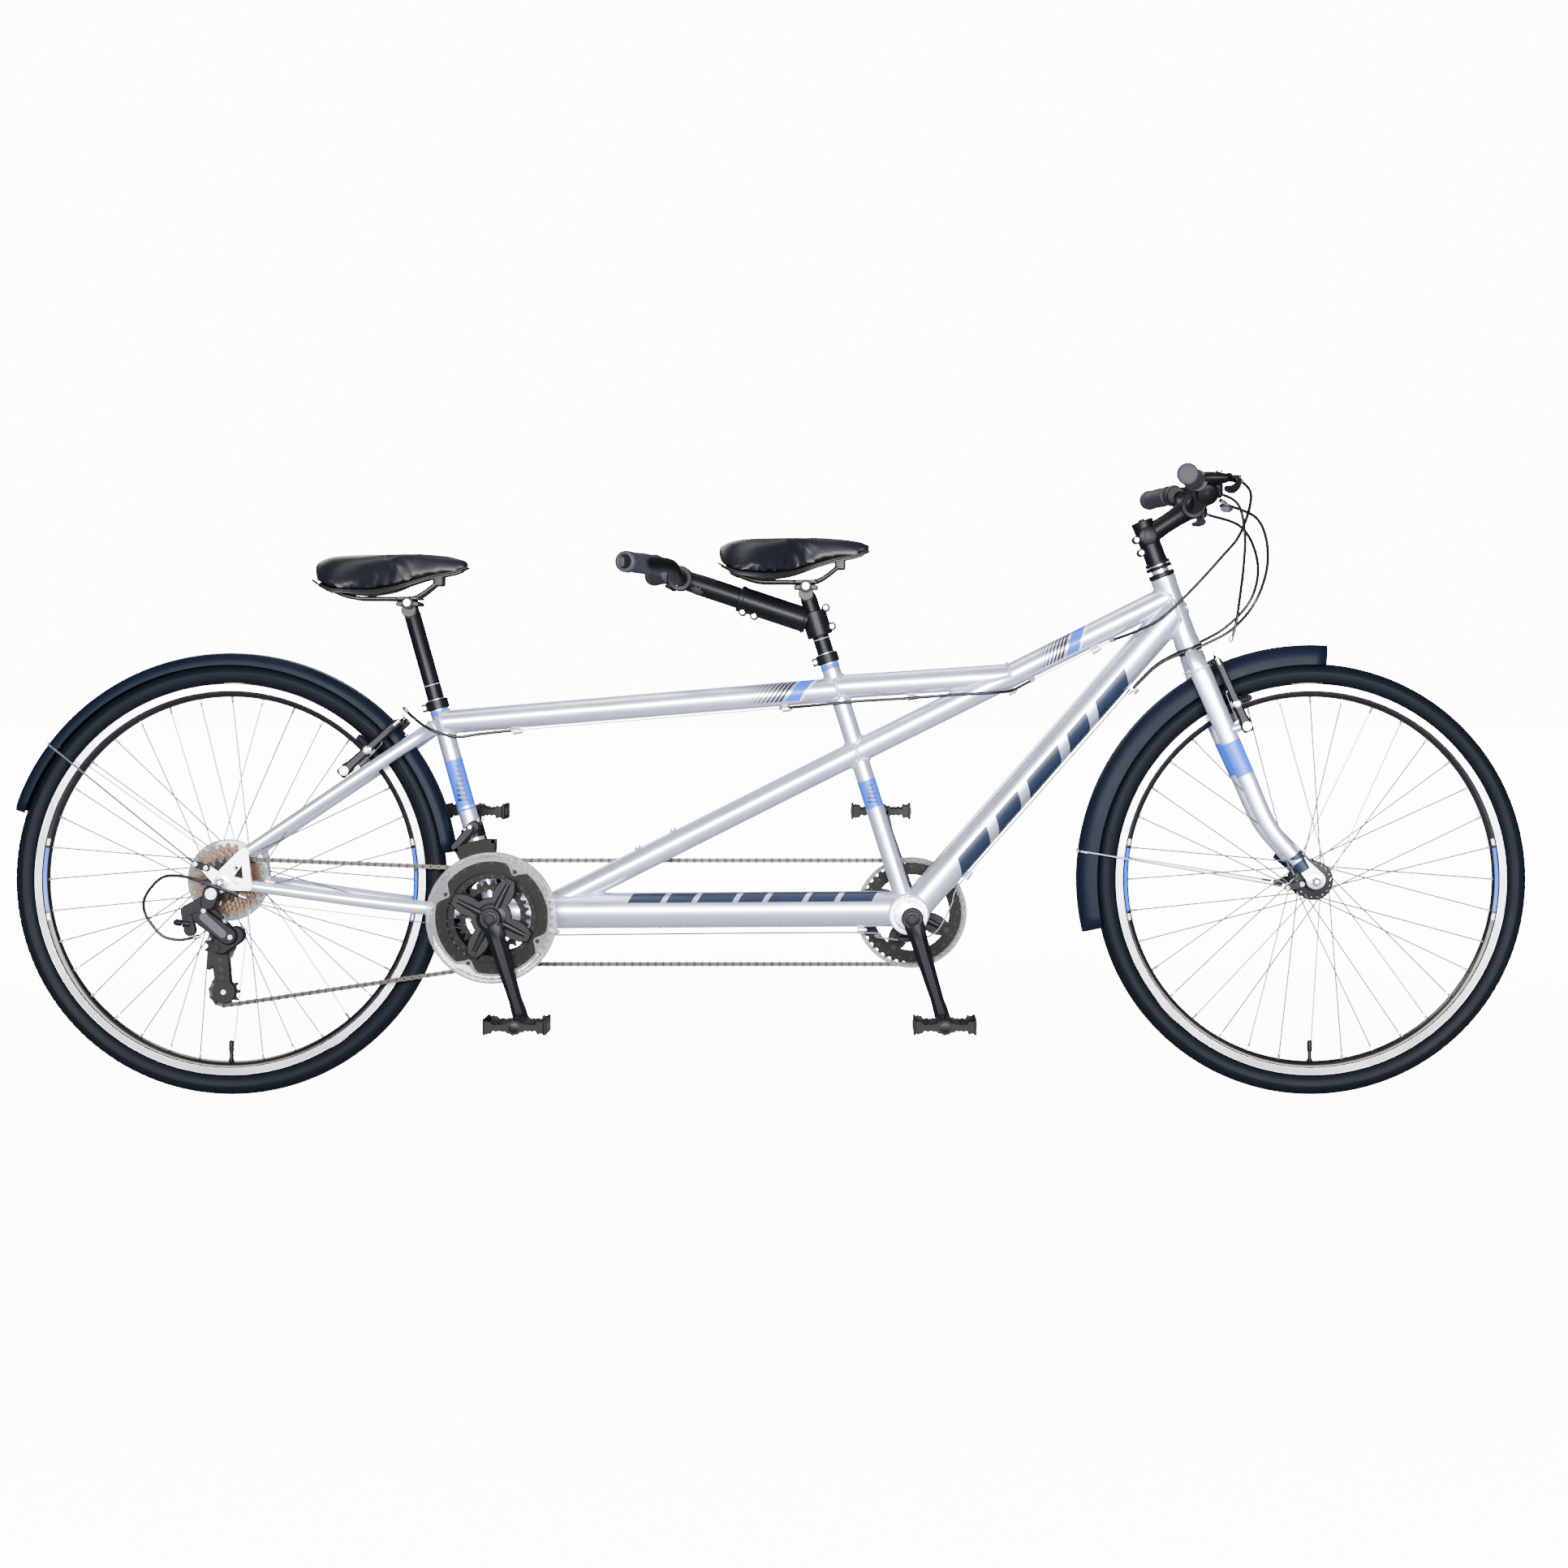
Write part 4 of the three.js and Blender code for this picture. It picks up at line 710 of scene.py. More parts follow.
def add_stays():
    """Chain stays, seat stays, bridges and brake bosses."""
    upper = ((-541, 12, 597), (-582, 39, 569), (-700, 52, 489), (-842, 64.5, 393))
    lower = ((-458, 24, 295), (-520, 31, 301), (-640, 46, 315), (-836, 64.5, 343))
    for side, word in ((1, "left"), (-1, "right")):
        mirror = np.array([1, side, 1])
        form = Form()
        path = stay_path(upper) * mirror
        t = np.linspace(0, 1, len(path))
        form.put("paint", sweep(path, 11.5 - 2.8 * t, 9 - 1.5 * t, UP, 32))
        form.put("weld", bead(end_loop(path, 0.03, 11.6, 9.2, UP), 2.6))
        brake_boss(form, np.array([-682, side * 45.0, 526]), side, np.array([-0.735, 0, -0.678]))
        if side < 0:
            bridge(form)
            cable_stop(form, (-566, -28, 590), (0.82, 0, 0.57), (0, -1, 0), 4)
        form.build("seatstay_" + word + "_painted", "frame", ("seatstay_" + word,))

        form = Form()
        path = stay_path(lower) * mirror
        t = np.linspace(0, 1, len(path))
        form.put("paint", sweep(path, 12 - 3 * t, 9 - 1.5 * t, UP, 32))
        form.put("weld", bead(end_loop(path, 0.04, 11.8, 9.2, UP), 2.6))
        dropout(form, side)
        if side < 0:
            cable_stop(form, (-800, -66, 349), (1, 0, -0.14), (0, 0, -1), 4)
        form.build("chainstay_" + word + "_painted", "frame", ("chainstay_" + word,))


def end_loop(path, fraction, deep, across, towards):
    """A loop round a swept tube at a fraction of its length, for a weld."""
    i = int(fraction * (len(path) - 1))
    axis = unit(path[i + 1] - path[i])
    first, second = square_to(axis, towards)
    turn = np.arange(40) * 2 * np.pi / 40
    return path[i] + np.outer(np.cos(turn) * deep, first) + np.outer(np.sin(turn) * across, second)


def brake_boss(form, centre, side, forward):
    """The post a brake arm turns on, with its bolt."""
    out = ACROSS * side
    form.put("paint", turned([(-6, 9), (0, 7.4), (0.6, 6.8)], centre, out, 24))
    spring = centre - unit(forward) * 9
    form.put("dark_steel_and_hole_shade", turned([(-4, 2.2), (0.5, 2)], spring, out, 12))


def bridge(form):
    """The tube between the seatstays that carries the mudguard."""
    form.put("paint", turned([(-32, 5.6), (33, 5.6)], (-579, 0, 574), ACROSS, 24))


def dropout(form, side):
    """Cast dropout plate with a pocket, an open axle slot, a boss and small eyelets."""
    near, far = side * 67.6, side * 72.4
    low, high = min(near, far), max(near, far)
    axle = flat(REAR_AXLE)
    stay_top, stay_low = np.array([-838, 396.0]), np.array([-832, 343.0])
    arms = [capsule(axle + [-2, 2], stay_top, 14, 9), capsule(axle, stay_low, 14, 9),
            capsule(stay_top, stay_low, 7, 7)]
    for layer, arm in enumerate(arms):
        form.put("alloy", plate(arm, low - 0.2 * layer, high + 0.2 * layer, edge=1.0))
    form.put("alloy", plate(capsule(axle, axle + [-28, 24], 12, 7), low - 0.3, high + 0.3, edge=0.8))
    if side < 0:
        form.put("alloy",
                 plate(capsule(axle + [-2, -2], (-888, 331), 13, 9.5), low - 0.1, high + 0.1, edge=0.8))
    out = ACROSS * side
    face = REAR_AXLE + out * 72.3
    form.put("alloy", turned([(-1, 12.5), (0.2, 12.5), (0.6, 11.6), (0.6, 6.5), (-1, 6.5)], face, out, 40,
                             ring=True))
    for spot in ((-902, 373), (-850, 372), (-850, 351)):
        ring = turned([(-0.5, 5), (0.5, 5), (0.9, 4.2), (0.9, 2.7), (-0.5, 2.7)],
                      (spot[0], face[1], spot[1]), out, 24, ring=True)
        form.put("alloy", ring)
        # A dark disc closes each eyelet's hole: painted shade inside the hole.
        form.put("dark_steel_and_hole_shade", turned([(0.0, 2.7), (0.25, 2.6)], (spot[0], face[1], spot[1]), out, 20))


# ---------------------------------------------------------------- fork and head


BLADE_STATIONS = (0, 0.08, 0.16, 0.5, 1)
BLADE_DEEP = (10, 14, 17.5, 15.5, 12)
BLADE_WIDE = (9, 11, 9.8, 9, 7)
BAND_FROM, BAND_TO = 0.44, 0.60


def blade_section(along, proud=0.0):
    """Half depth and half width of a fork blade at fractions of its length."""
    deep = np.interp(along, BLADE_STATIONS, BLADE_DEEP) + proud
    wide = np.interp(along, BLADE_STATIONS, BLADE_WIDE) + proud
    return deep, wide


def add_fork():
    """Steerer, crown, two curved blades with their coloured bands, tips and brake bosses."""
    form = Form()
    steerer = STEER_BASE - 29 * STEER_UP
    form.put("alloy", turned([(0, 14.3), (170, 14.3)], steerer, STEER_UP, 32))
    crown = [(-1, 15), (0, 18.5), (3, 20), (17, 20), (20, 18.5)]
    form.put("paint", turned(crown, steerer - STEER_UP * 2, STEER_UP, 48))
    form.put("black_alloy",
             turned([(19, 17), (19.5, 21.6), (20.4, 21.6), (20.4, 17)], steerer, STEER_UP, 48, ring=True))
    for side in (1, -1):
        start = steerer + STEER_UP * 7 + ACROSS * 6 * side
        points = [start, (680, side * 31, 712), (688, side * 42, 693), (730, side * 43, 594),
                  (766, side * 46, 513), (801, side * 50, 437), (847, side * 53, 381)]
        path = smooth(points, 7)
        deep, wide = blade_section(np.linspace(0, 1, len(path)))
        form.put("paint", sweep(path, deep, wide, LEVEL, 36))
        band = path[int(BAND_FROM * len(path)):int(BAND_TO * len(path))]
        deep, wide = blade_section(np.linspace(BAND_FROM, BAND_TO, len(band)), proud=0.3)
        form.put("blue_transfer", sweep(band, deep, wide, LEVEL, 36))
        fork_tip(form, side)
        form.put("weld", sweep([(738, side * 43, 591), (757, side * 43, 597)], [7.5, 6], sides=20))
        brake_boss(form, np.array([764.6, side * 45.5, 597.5]), side, np.array([0.4, 0, -0.915]))
        form.put("weld", bead(end_loop(path, 0.13, 15.8, 10.6, LEVEL), 2.2))
    form.build("fork_painted", "steering", ("fork",))


def fork_tip(form, side):
    """The slotted tip, with its dark painted socket on the blade."""
    axle = flat(FRONT_AXLE)
    low, high = sorted((side * 50.2, side * 55.8))
    form.put("alloy", plate(capsule((850, 380), axle + [2, 2], 10.5, 14.5), low, high, edge=0.9))
    socket = smooth([(840, side * 52.8, 391), (852, side * 53, 375), (858, side * 53, 366)], 4)
    t = np.linspace(0, 1, len(socket))
    form.put("slate_paint", sweep(socket, 12.9 - 3 * t, 7.9 - 3 * t, LEVEL, 32))
    out = ACROSS * side
    face = FRONT_AXLE + out * 55.7
    form.put("alloy",
             turned([(-1, 13), (0.3, 13), (0.7, 12), (0.7, 6), (-1, 6)], face, out, 40, ring=True))
    eyelet = np.array([853.0, side * 53.0, 345.0])
    form.put("alloy", turned([(-2.4, 5), (2.4, 5), (2.8, 4.2), (2.8, 2.6), (-2.4, 2.6)], eyelet, out, 24,
                             ring=True))


# ---------------------------------------------------------------- wheels

SPOKES = 36
RIM_IN, RIM_HALF = 295.0, 12.5
TYRE_MIDDLE, TYRE_DEEP, TYRE_HALF = 331.5, 17.5, 19.0


def tread(turn, section):
    """How deep the tread is cut at an angle round the wheel and round the tyre's section."""
    away = np.abs(section)
    wave = (turn * 150 / (2 * np.pi) + 1.6 * away) % 1
    side_cut = (away > 0.32) & (away < 0.95) & (wave < 0.36)
    line = (np.abs(away - 0.24) < 0.05) | (np.abs(away - 1.02) < 0.035)
    shoulder = (away > 1.1) & (away < 1.32) & ((turn * 300 / (2 * np.pi)) % 1 < 0.4)
    return 1.15 * side_cut + 0.9 * line + 0.5 * shoulder


def tyre_shape(axle):
    """The tyre, with its tread cut into the surface."""
    around, over = 900, 40
    turn = np.arange(around) * 2 * np.pi / around
    section = np.linspace(-2.52, 2.52, over)
    rows = []
    for angle in section:
        cut = tread(turn, angle)
        bead_step = 0.7 * math.exp(-((abs(angle) - 2.1) / 0.07) ** 2)
        radius = TYRE_MIDDLE + (TYRE_DEEP - cut + bead_step) * math.cos(angle)
        half = (TYRE_HALF - cut * 0.4) * math.sin(angle) * (1.0 if abs(angle) < 1.6 else 0.96)
        rows.append(np.stack([radius * np.cos(turn), np.full(around, half), radius * np.sin(turn)],
                             1) + axle)
    return skin(rows, ring=True)


def rim_shape(axle):
    """A double-walled rim: brake tracks, rounded well and tyre hooks, in three materials."""
    around = 180
    hook = [(-RIM_HALF + 2.4, 313.0), (-RIM_HALF + 2.2, 316.6), (-RIM_HALF + 0.9, 317.0)]
    left = [(-RIM_HALF, 316.2), (-RIM_HALF, 305.2), (-RIM_HALF + 0.5, 304.4)]
    well = [(-RIM_HALF + 1.4, 303.4), (-RIM_HALF + 1.8, 300.4), (-8.6, 296.8), (-5, 295.2), (0, 295)]
    half = hook + left + well
    profile = half + [(-y, r) for y, r in half[-2::-1]]
    return turned(profile, axle, ACROSS, around, ring=True)


def rim_track(form, axle):
    """Machined brake tracks with fine turned lines, and the bright step under each."""
    for side in (-1, 1):
        profile = [(side * (RIM_HALF - 0.6), 305)]
        for k in range(12):
            radius = 305 + k
            profile.append((side * (RIM_HALF + (0.14 if k % 2 else 0.05)), radius))
        profile.append((side * (RIM_HALF - 0.6), 316.2))
        form.put("track", turned(profile, axle, ACROSS, 180, ring=True))


def rim_marks(form, axle):
    """Blue and pale film on the dark flank of the rim, fore and aft."""
    for side in (-1, 1):
        for middle in (0, np.pi):
            for kind, start, end, low, high in (("blue_transfer", -0.17, 0.17, 297.6, 302.6),
                                                ("pale_transfer", -0.22, -0.185, 298.2, 302.6),
                                                ("pale_transfer", 0.185, 0.22, 298.2, 302.6)):
                rows = []
                for turn in np.linspace(start, end, 24) + middle:
                    y = [8.9 + (r - 297.0) * 0.47 for r in (low, high)]
                    rows.append([[axle[0] + r * math.cos(turn), side * (w + 0.5),
                                  axle[2] + r * math.sin(turn)] for r, w in zip((low, high), y)])
                form.put(kind, sheet_of(rows))


def lace(form, axle, flanges, radius):
    """Crossed spokes: heads at the flange holes, threaded nipples at the rim."""
    for k in range(SPOKES):
        side = k % 2
        pull = 1 if (k // 2) % 2 else -1
        rim_angle = 2 * np.pi * (k + 0.5) / SPOKES + np.pi / SPOKES
        hub_angle = rim_angle + pull * math.radians(62)
        y = flanges[side]
        inside = 1 if pull > 0 else -1
        hub = np.array([radius * math.cos(hub_angle), y + 1.7 * inside, radius * math.sin(hub_angle)])
        out = np.array([(RIM_IN + 0.5) * math.cos(rim_angle), 1.8 * math.copysign(1, y),
                        (RIM_IN + 0.5) * math.sin(rim_angle)])
        way = unit(out - hub)
        form.put("steel_wire", sweep([axle + hub, axle + hub + way * 20, axle + out - way * 60,
                                      axle + out - way * 8], [1.25, 1.2, 1.2, 1.25], sides=8))
        form.put("steel_wire", sweep([axle + hub + [0, -1.9 * inside, 0], axle + hub], 1.05, sides=8))
        head = [(0, 1.9), (0.8, 1.5)]
        form.put("polished", turned(head, axle + hub + [0, inside * -3.2, 0], ACROSS * -inside, 10))
        nipple = [(0, 1.5), (1, 2.0), (9, 2.0), (9.5, 2.6), (11.5, 2.8)]
        form.put("polished", turned(nipple, axle + out - way * 10.5, way, 10))


def hub_body(form, axle, left, right, flange, barrel_radius, kind, cone):
    """Hub shell with two flanges, dark pins through them as painted shade for the spoke holes, dust caps,
    cones and locknuts.
    """
    shell = [(right - 2, flange + 5), (right - 1.3, flange + 5.8), (right + 1.3, flange + 5.8),
             (right + 2, flange + 5), (right + 3.5, flange - 3), (right + 9, barrel_radius + 2),
             (right + 14, barrel_radius), (left - 14, barrel_radius), (left - 9, barrel_radius + 2),
             (left - 3.5, flange - 3), (left - 2, flange + 5), (left - 1.3, flange + 5.8),
             (left + 1.3, flange + 5.8), (left + 2, flange + 5), (left + 3, 16), (left + 7, 15),
             (left + 7, 5.2), (right - 7, 5.2), (right - 7, 15), (right - 3, 16)]
    form.put(kind, turned(shell, axle, ACROSS, 72, ring=True))
    for y, out in ((right - 7, -1), (left + 7, 1)):
        face = axle + ACROSS * y
        form.put("polished", turned([(0, 13.2), (0.8, 13.2), (1.1, 12.6), (1.1, 9), (0, 9)], face,
                                    ACROSS * out, 40, ring=True))
        run = cone - abs(y)
        form.put("alloy", turned([(0.6, 8.6), (run * 0.5, 8.6, 6), (run * 0.52, 7.8), (run, 7.8),
                                  (run, 5.3), (0.6, 5.3)], face, ACROSS * out, 36, ring=True))
    # Dark pins where the spoke holes are: painted shade round each spoke, no hole is drilled.
    for k in range(SPOKES):
        side = k % 2
        y = (left, right)[side]
        lean = math.radians(62) if (k // 2) % 2 else -math.radians(62)
        angle = 2 * np.pi * (k + 0.5) / SPOKES + np.pi / SPOKES + lean
        spot = axle + np.array([flange * math.cos(angle), y - 2.1, flange * math.sin(angle)])
        form.put("dark_steel_and_hole_shade", turned([(0, 1.7), (4.2, 1.7)], spot, ACROSS, 10))


def valve(form, axle):
    """Rubber-footed valve with a dust cap, at the bottom of the wheel."""
    foot = axle + np.array([-1.0, 0, -RIM_IN + 1])
    profile = [(-1, 5.2), (1.5, 4.6), (4, 3.3), (14, 3.1), (15, 4.1), (27, 4.3), (31, 3.8), (32.5, 2.6)]
    form.put("black_plastic", turned(profile[:4], foot, UP, 20))
    form.put("black_alloy", turned(profile[3:], foot, UP, 14))


def add_wheel(end, axle, left, right, flange, barrel_radius, kind, cone):
    """One wheel, from its rim to its hub, and its tyre."""
    form = Form()
    form.put("rim_black", rim_shape(axle))
    rim_track(form, axle)
    rim_marks(form, axle)
    lace(form, axle, (left, right), flange)
    hub_body(form, axle, left, right, flange, barrel_radius, kind, cone)
    valve(form, axle)
    form.build(end + "_wheel_laced", end + "_wheel", (end + "_wheel",))
    form = Form()
    form.put("tyre", tyre_shape(axle))
    form.build(end + "_tyre_treaded", end + "_wheel", (end + "_tyre",), 50)


def skewer(end, axle, body, reach_right, reach_left):
    """Quick-release axle with an acorn nut on the right and a cam lever on the left."""
    form = Form()
    form.put("alloy", turned([(-reach_right, 2.5), (reach_left, 2.5)], axle, ACROSS, 16))
    face = axle - ACROSS * reach_right
    form.put("alloy", turned([(0, 9.5), (1.5, 9.8), (3, 9.2), (3.4, 7.6, 6), (11, 7.2, 6), (13.5, 5.6),
                              (15, 3.4)], face, -ACROSS, 36))
    for k in range(16):
        angle = 2 * np.pi * k / 16
        arm = np.array([math.cos(angle), 0, math.sin(angle)]) * 9.4
        form.put("alloy", sweep([face + arm, face + arm - ACROSS * 2.6], 0.7, sides=6))
    cam = axle + ACROSS * reach_left
    form.put("black_alloy", turned([(0, 8.6), (1, 9.4), (6, 9.4), (7, 8.6)], cam, ACROSS, 36))
    form.put("black_alloy", turned([(7, 6.8), (15, 7.6), (17, 6.8)], cam, ACROSS, 30))
    path = smooth([cam + [0, 12, 0], cam + [-14, 13, 11], cam + [-32, 11, 25], cam + [-48, 9, 36]], 4)
    t = np.linspace(0, 1, len(path))
    form.put("black_alloy", sweep(path, 6.5 + 1.5 * np.sin(t * np.pi), 2.6 + 2 * (1 - t), UP, 20))
    form.build(end + "_skewer_detailed", body, (end + "_skewer",))


def add_wheels():
    """Both wheels and their skewers."""
    add_wheel("front", FRONT_AXLE, 34, -34, 26, 13, "black_alloy", 49.6)
    add_wheel("rear", REAR_AXLE, 36, -22, 27, 16, "alloy", 66.6)
    skewer("front", FRONT_AXLE, "front_skewer", 56.5, 56.5)
    skewer("rear", REAR_AXLE, "rear_skewer", 73, 73)


# ---------------------------------------------------------------- mudguards


def guard_shape(axle, radius, depth, start, end, half=27.0):
    """A rolled strip with deep sides and turned-in edges, between two angles in degrees."""
    count = int((end - start) * 1.6)
    rows = []
    for k, turn in enumerate(np.radians(np.linspace(start, end, count))):
        out = np.array([math.cos(turn), 0, math.sin(turn)])
        nearness = min(k, count - 1 - k) / 5
        width = half * (1 - 0.35 * max(0, 1 - nearness) ** 2)
        outer, inner = [], []
        for across in np.linspace(-1, 1, 25):
            rise = radius - depth * abs(across) ** 5
            side = math.copysign(min(abs(across) * 1.12, 1), across)
            outer.append(axle + out * rise + ACROSS * side * width)
            inner.append(axle + out * (rise - 1.5 * (1 - abs(across) ** 8)) + ACROSS * side * (width - 1.4))
        rows.append(outer + inner[::-1])
    return skin(rows)


def guard_wires(form, axle, radius, turn, foot, half=27.0):
    """One steel wire bent round under the guard and down to both sides of the axle."""
    out = np.array([math.cos(math.radians(turn)), 0, math.sin(math.radians(turn))])
    edge = axle + out * (radius - 8)
    for side in (-1, 1):
        foot_side = np.array([foot[0], side * foot[1], foot[2]])
        top = edge + ACROSS * side * (half + 2.6)
        path = smooth([edge + ACROSS * side * (half - 16) - out * 4,
                       edge + ACROSS * side * (half - 3) - out * 4, top - out * 6, top - out * 20,
                       foot_side], 6)
        form.put("steel_wire", sweep(path, 1.6, sides=10))
        form.put("slate_paint", sweep([foot_side - unit(foot_side - top) * 16, foot_side], 2.1, sides=12))
        clip = edge + ACROSS * side * (half - 9) - out * 3
        form.put("black_plastic", sweep([clip - ACROSS * 5, clip + ACROSS * 5], 3.4, sides=14))
        bolt(form, "polished", edge + ACROSS * side * (half - 9) + out * 7.4, out, 2.8, 1.8)


def guard_foot(form, a, b, side, face):
    """A black link from the frame's eyelet to the wire, with two bright screws."""
    low, high = sorted((side * (face + 0.1), side * (face + 3.9)))
    form.put("black_plastic", plate(capsule(flat(a), flat(b), 6.2, 5.2), low, high, edge=0.8))
    for spot in (a, b):
        head = np.array([spot[0], side * (face + 3.9), spot[2]])
        bolt(form, "polished", head, ACROSS * side, 4.3, 2.2)


def add_guards():
    """Both mudguards, with their stays and brackets."""
    form = Form()
    form.put("guard", guard_shape(REAR_AXLE, 366.5, 19.5, 7, 162))
    guard_wires(form, REAR_AXLE, 366.5, 143, (-915, 75, 378))
    for side in (-1, 1):
        guard_foot(form, (-898, 0, 372), (-915, 0, 378), side, 72.9)
    form.put("alloy", block((-596, -8, 560), (-589, 8, 584), 2))
    bolt(form, "polished", (-588.6, 0, 577), (1, 0, 0), 4, 2.6)
    form.build("rear_fender_formed", "frame", ("rear_fender",))

    form = Form()
    form.put("guard", guard_shape(FRONT_AXLE, 379.5, 32.0, 86, 193))
    guard_wires(form, FRONT_AXLE, 379.5, 173, (820, 63, 342))
    for side in (-1, 1):
        guard_foot(form, (851, 0, 345), (828, 0, 339), side, 60.9)
    form.build("front_fender_formed", "steering", ("front_fender",))


# ---------------------------------------------------------------- transmission

PITCH = 12.7
DRIVE_Y = -49.0
TIMING_Y = 50.0
TIMING_TEETH = 42


def pitch_radius(teeth):
    """The radius at which a chain runs on a sprocket with this many teeth."""
    return PITCH / (2 * math.sin(math.pi / teeth))


def sprocket(centre, teeth, y, thick, hole, phase=0.0):
    """A toothed ring: each tooth rises between two rollers."""
    around = teeth * 8
    turn = np.arange(around) * 2 * np.pi / around
    rise = np.cos(teeth * (turn - phase))
    root = pitch_radius(teeth) - 3.9
    radius = root + 7.0 * np.clip((rise + 0.45) / 1.45, 0, 1) ** 0.8
    outline = np.stack([centre[0] + radius * np.cos(turn), centre[2] + radius * np.sin(turn)], 1)
    inner = circle(flat(centre), hole, around)
    return plate(outline, y - thick / 2, y + thick / 2, inner, 0.35)


def loop_path(wheels, spacing):
    """Points a chain pitch apart round (centre, radius, way round) wheels, on tangent lines and arcs."""
    spans = []
    count = len(wheels)
    for i in range(count):
        (a, ra, wa), (b, rb, wb) = wheels[i], wheels[(i + 1) % count]
        gap = np.subtract(b, a)
        distance = np.linalg.norm(gap)
        heading = math.atan2(gap[1], gap[0])
        lean = math.asin((wa * ra - wb * rb) / distance)
        normal = heading + lean
        side_a = np.array([math.sin(normal), -math.cos(normal)]) * wa * ra
        side_b = np.array([math.sin(normal), -math.cos(normal)]) * wb * rb
        spans.append((np.add(a, side_a), np.add(b, side_b)))
    points = []
    for i in range(count):
        centre, radius, way = wheels[i]
        arrive = spans[i - 1][1] - centre
        leave = spans[i][0] - centre
        start = math.atan2(arrive[1], arrive[0])
        swing = (math.atan2(leave[1], leave[0]) - start) * way % (2 * np.pi)
        for t in np.linspace(0, 1, max(3, int(swing * radius / 1.5))):
            angle = start + way * swing * t
            points.append(np.add(centre, [radius * math.cos(angle), radius * math.sin(angle)]))
        points.append(spans[i][1] * 0.5 + spans[i][0] * 0.5)
    points = np.array(points)
    closed = np.vstack([points, points[:1]])
    steps = np.linalg.norm(np.diff(closed, axis=0), axis=1)
    at = np.concatenate([[0], np.cumsum(steps)])
    links = int(round(at[-1] / spacing / 2)) * 2
    where = np.arange(links) * at[-1] / links
    return np.stack([np.interp(where, at, closed[:, k]) for k in (0, 1)], 1)


def chain_shape(form, joints, y):
    """Inner and outer links in turn, with rollers and pin ends."""
    count = len(joints)
    for i in range(count):
        a, b = joints[i], joints[(i + 1) % count]
        outer = i % 2
        waist = figure_eight(a, b)
        for side in (-1, 1):
            inside = 2.65 if outer else 1.7
            low, high = sorted((y + side * inside, y + side * (inside + 0.85)))
            form.put("chain", plate(waist, low, high, edge=0.2))
        pin = np.array([a[0], y - 3.9, a[1]])
        form.put("dark_steel_and_hole_shade", turned([(0, 1.5), (0.3, 1.8), (7.5, 1.8), (7.8, 1.5)], pin, ACROSS, 8))
        form.put("chain", turned([(2.2, 3.8), (5.6, 3.8)], pin, ACROSS, 10))


def figure_eight(a, b, end=4.1, waist=3.0):
    """The outline of a link plate: two round ends and a narrower waist."""
    along = unit(np.subtract(b, a))
    side = np.array([-along[1], along[0]])
    outline = []
    for centre, way in ((b, 1), (a, -1)):
        for angle in np.radians((-75, -38, 0, 38, 75)):
            outline.append(centre + way * end * (along * math.cos(angle) + side * math.sin(angle)))
        outline.append((np.add(a, b) / 2) + way * side * waist)
    return np.array(outline)


def add_chains():
    """The timing chain on the left and the drive chain on the right."""
    form = Form()
    ring = pitch_radius(TIMING_TEETH)
    joints = loop_path([(flat(REAR_CRANKS), ring, -1), (flat(FRONT_CRANKS), ring, -1)], PITCH)
    chain_shape(form, joints, TIMING_Y)
    form.build("timing_chain_links", "frame", ("timing_chain",), 40)
    form = Form()
    guide, tension = flat(pivot("guide_pulley_turn")), flat(pivot("tension_pulley_turn"))
    wheels = [(flat(REAR_CRANKS), pitch_radius(38), -1), (tension, pitch_radius(11), -1),
              (guide, pitch_radius(11), 1), (flat(REAR_AXLE), pitch_radius(18), -1)]
    joints = loop_path(wheels, PITCH)
    chain_shape(form, joints, DRIVE_Y)
    form.build("drive_chain_links", "frame", ("drive_chain",), 40)


# ---------------------------------------------------------------- cranks and pedals

RINGS = ((48, -56.0), (38, -49.0), (28, -42.0))
COGS = ((28, -29.0), (24, -34.0), (22, -39.0), (20, -44.0), (18, -49.0), (16, -54.0), (14, -59.0))
LOBES = np.radians((63, 153, 243, 333))


def crank_arm(form, axle, pedal, side):
    """A forged arm with a ridge down its outer face, a square-taper boss and a pedal eye."""
    near, far = 68.0, 81.0
    start = np.array([axle[0], 0, axle[2]])
    end = np.array([pedal[0], 0, pedal[2]])
    along = unit(end - start)
    wide = np.cross(ACROSS, along)
    rows = []
    for t in (0.0, 0.02, 0.1, 0.22, 0.5, 0.8, 0.92, 1.0):
        half = np.interp(t, (0, 0.1, 0.22, 0.8, 0.92, 1.0), (16, 16, 14.0, 10.5, 12.0, 12.0))
        ridge = np.interp(t, (0, 0.1, 0.8, 1.0), (0.98, 1.0, 0.94, 0.9))
        loop = []
        for u, v in ((-1, 0.12), (-0.94, 0), (0.94, 0), (1, 0.12), (1, 0.55), (0.42, ridge),
                     (-0.42, ridge), (-1, 0.55)):
            y = side * (near + (far - near) * v)
            loop.append(start + along * 170 * t + wide * u * half + ACROSS * y)
        rows.append(loop)
    form.put("crank_black", skin(rows))
    for point, radius in ((start, 17.5), (end, 12.6)):
        boss = [(near, radius - 1), (near + 1, radius), (far - 2.2, radius), (far - 0.4, radius - 1.8)]
        form.put("crank_black", turned([(side * y, r) for y, r in boss], point, ACROSS, 48))
    face = start + ACROSS * side * (far - 0.4)
    out = ACROSS * side
    form.put("black_alloy",
             turned([(-0.5, 11.8), (0.7, 11.4), (1.2, 10.4), (1.2, 8), (0.4, 7.4)], face, out, 40))
    bolt(form, "dark_steel_and_hole_shade", face, out, 6.6, 2.4)
    eye = end + ACROSS * side * (far - 0.6)
    form.put("dark_steel_and_hole_shade", turned([(0, 6.8), (0.9, 6.6), (0.9, 4.2, 6), (-3, 4, 6)], eye, out, 36))


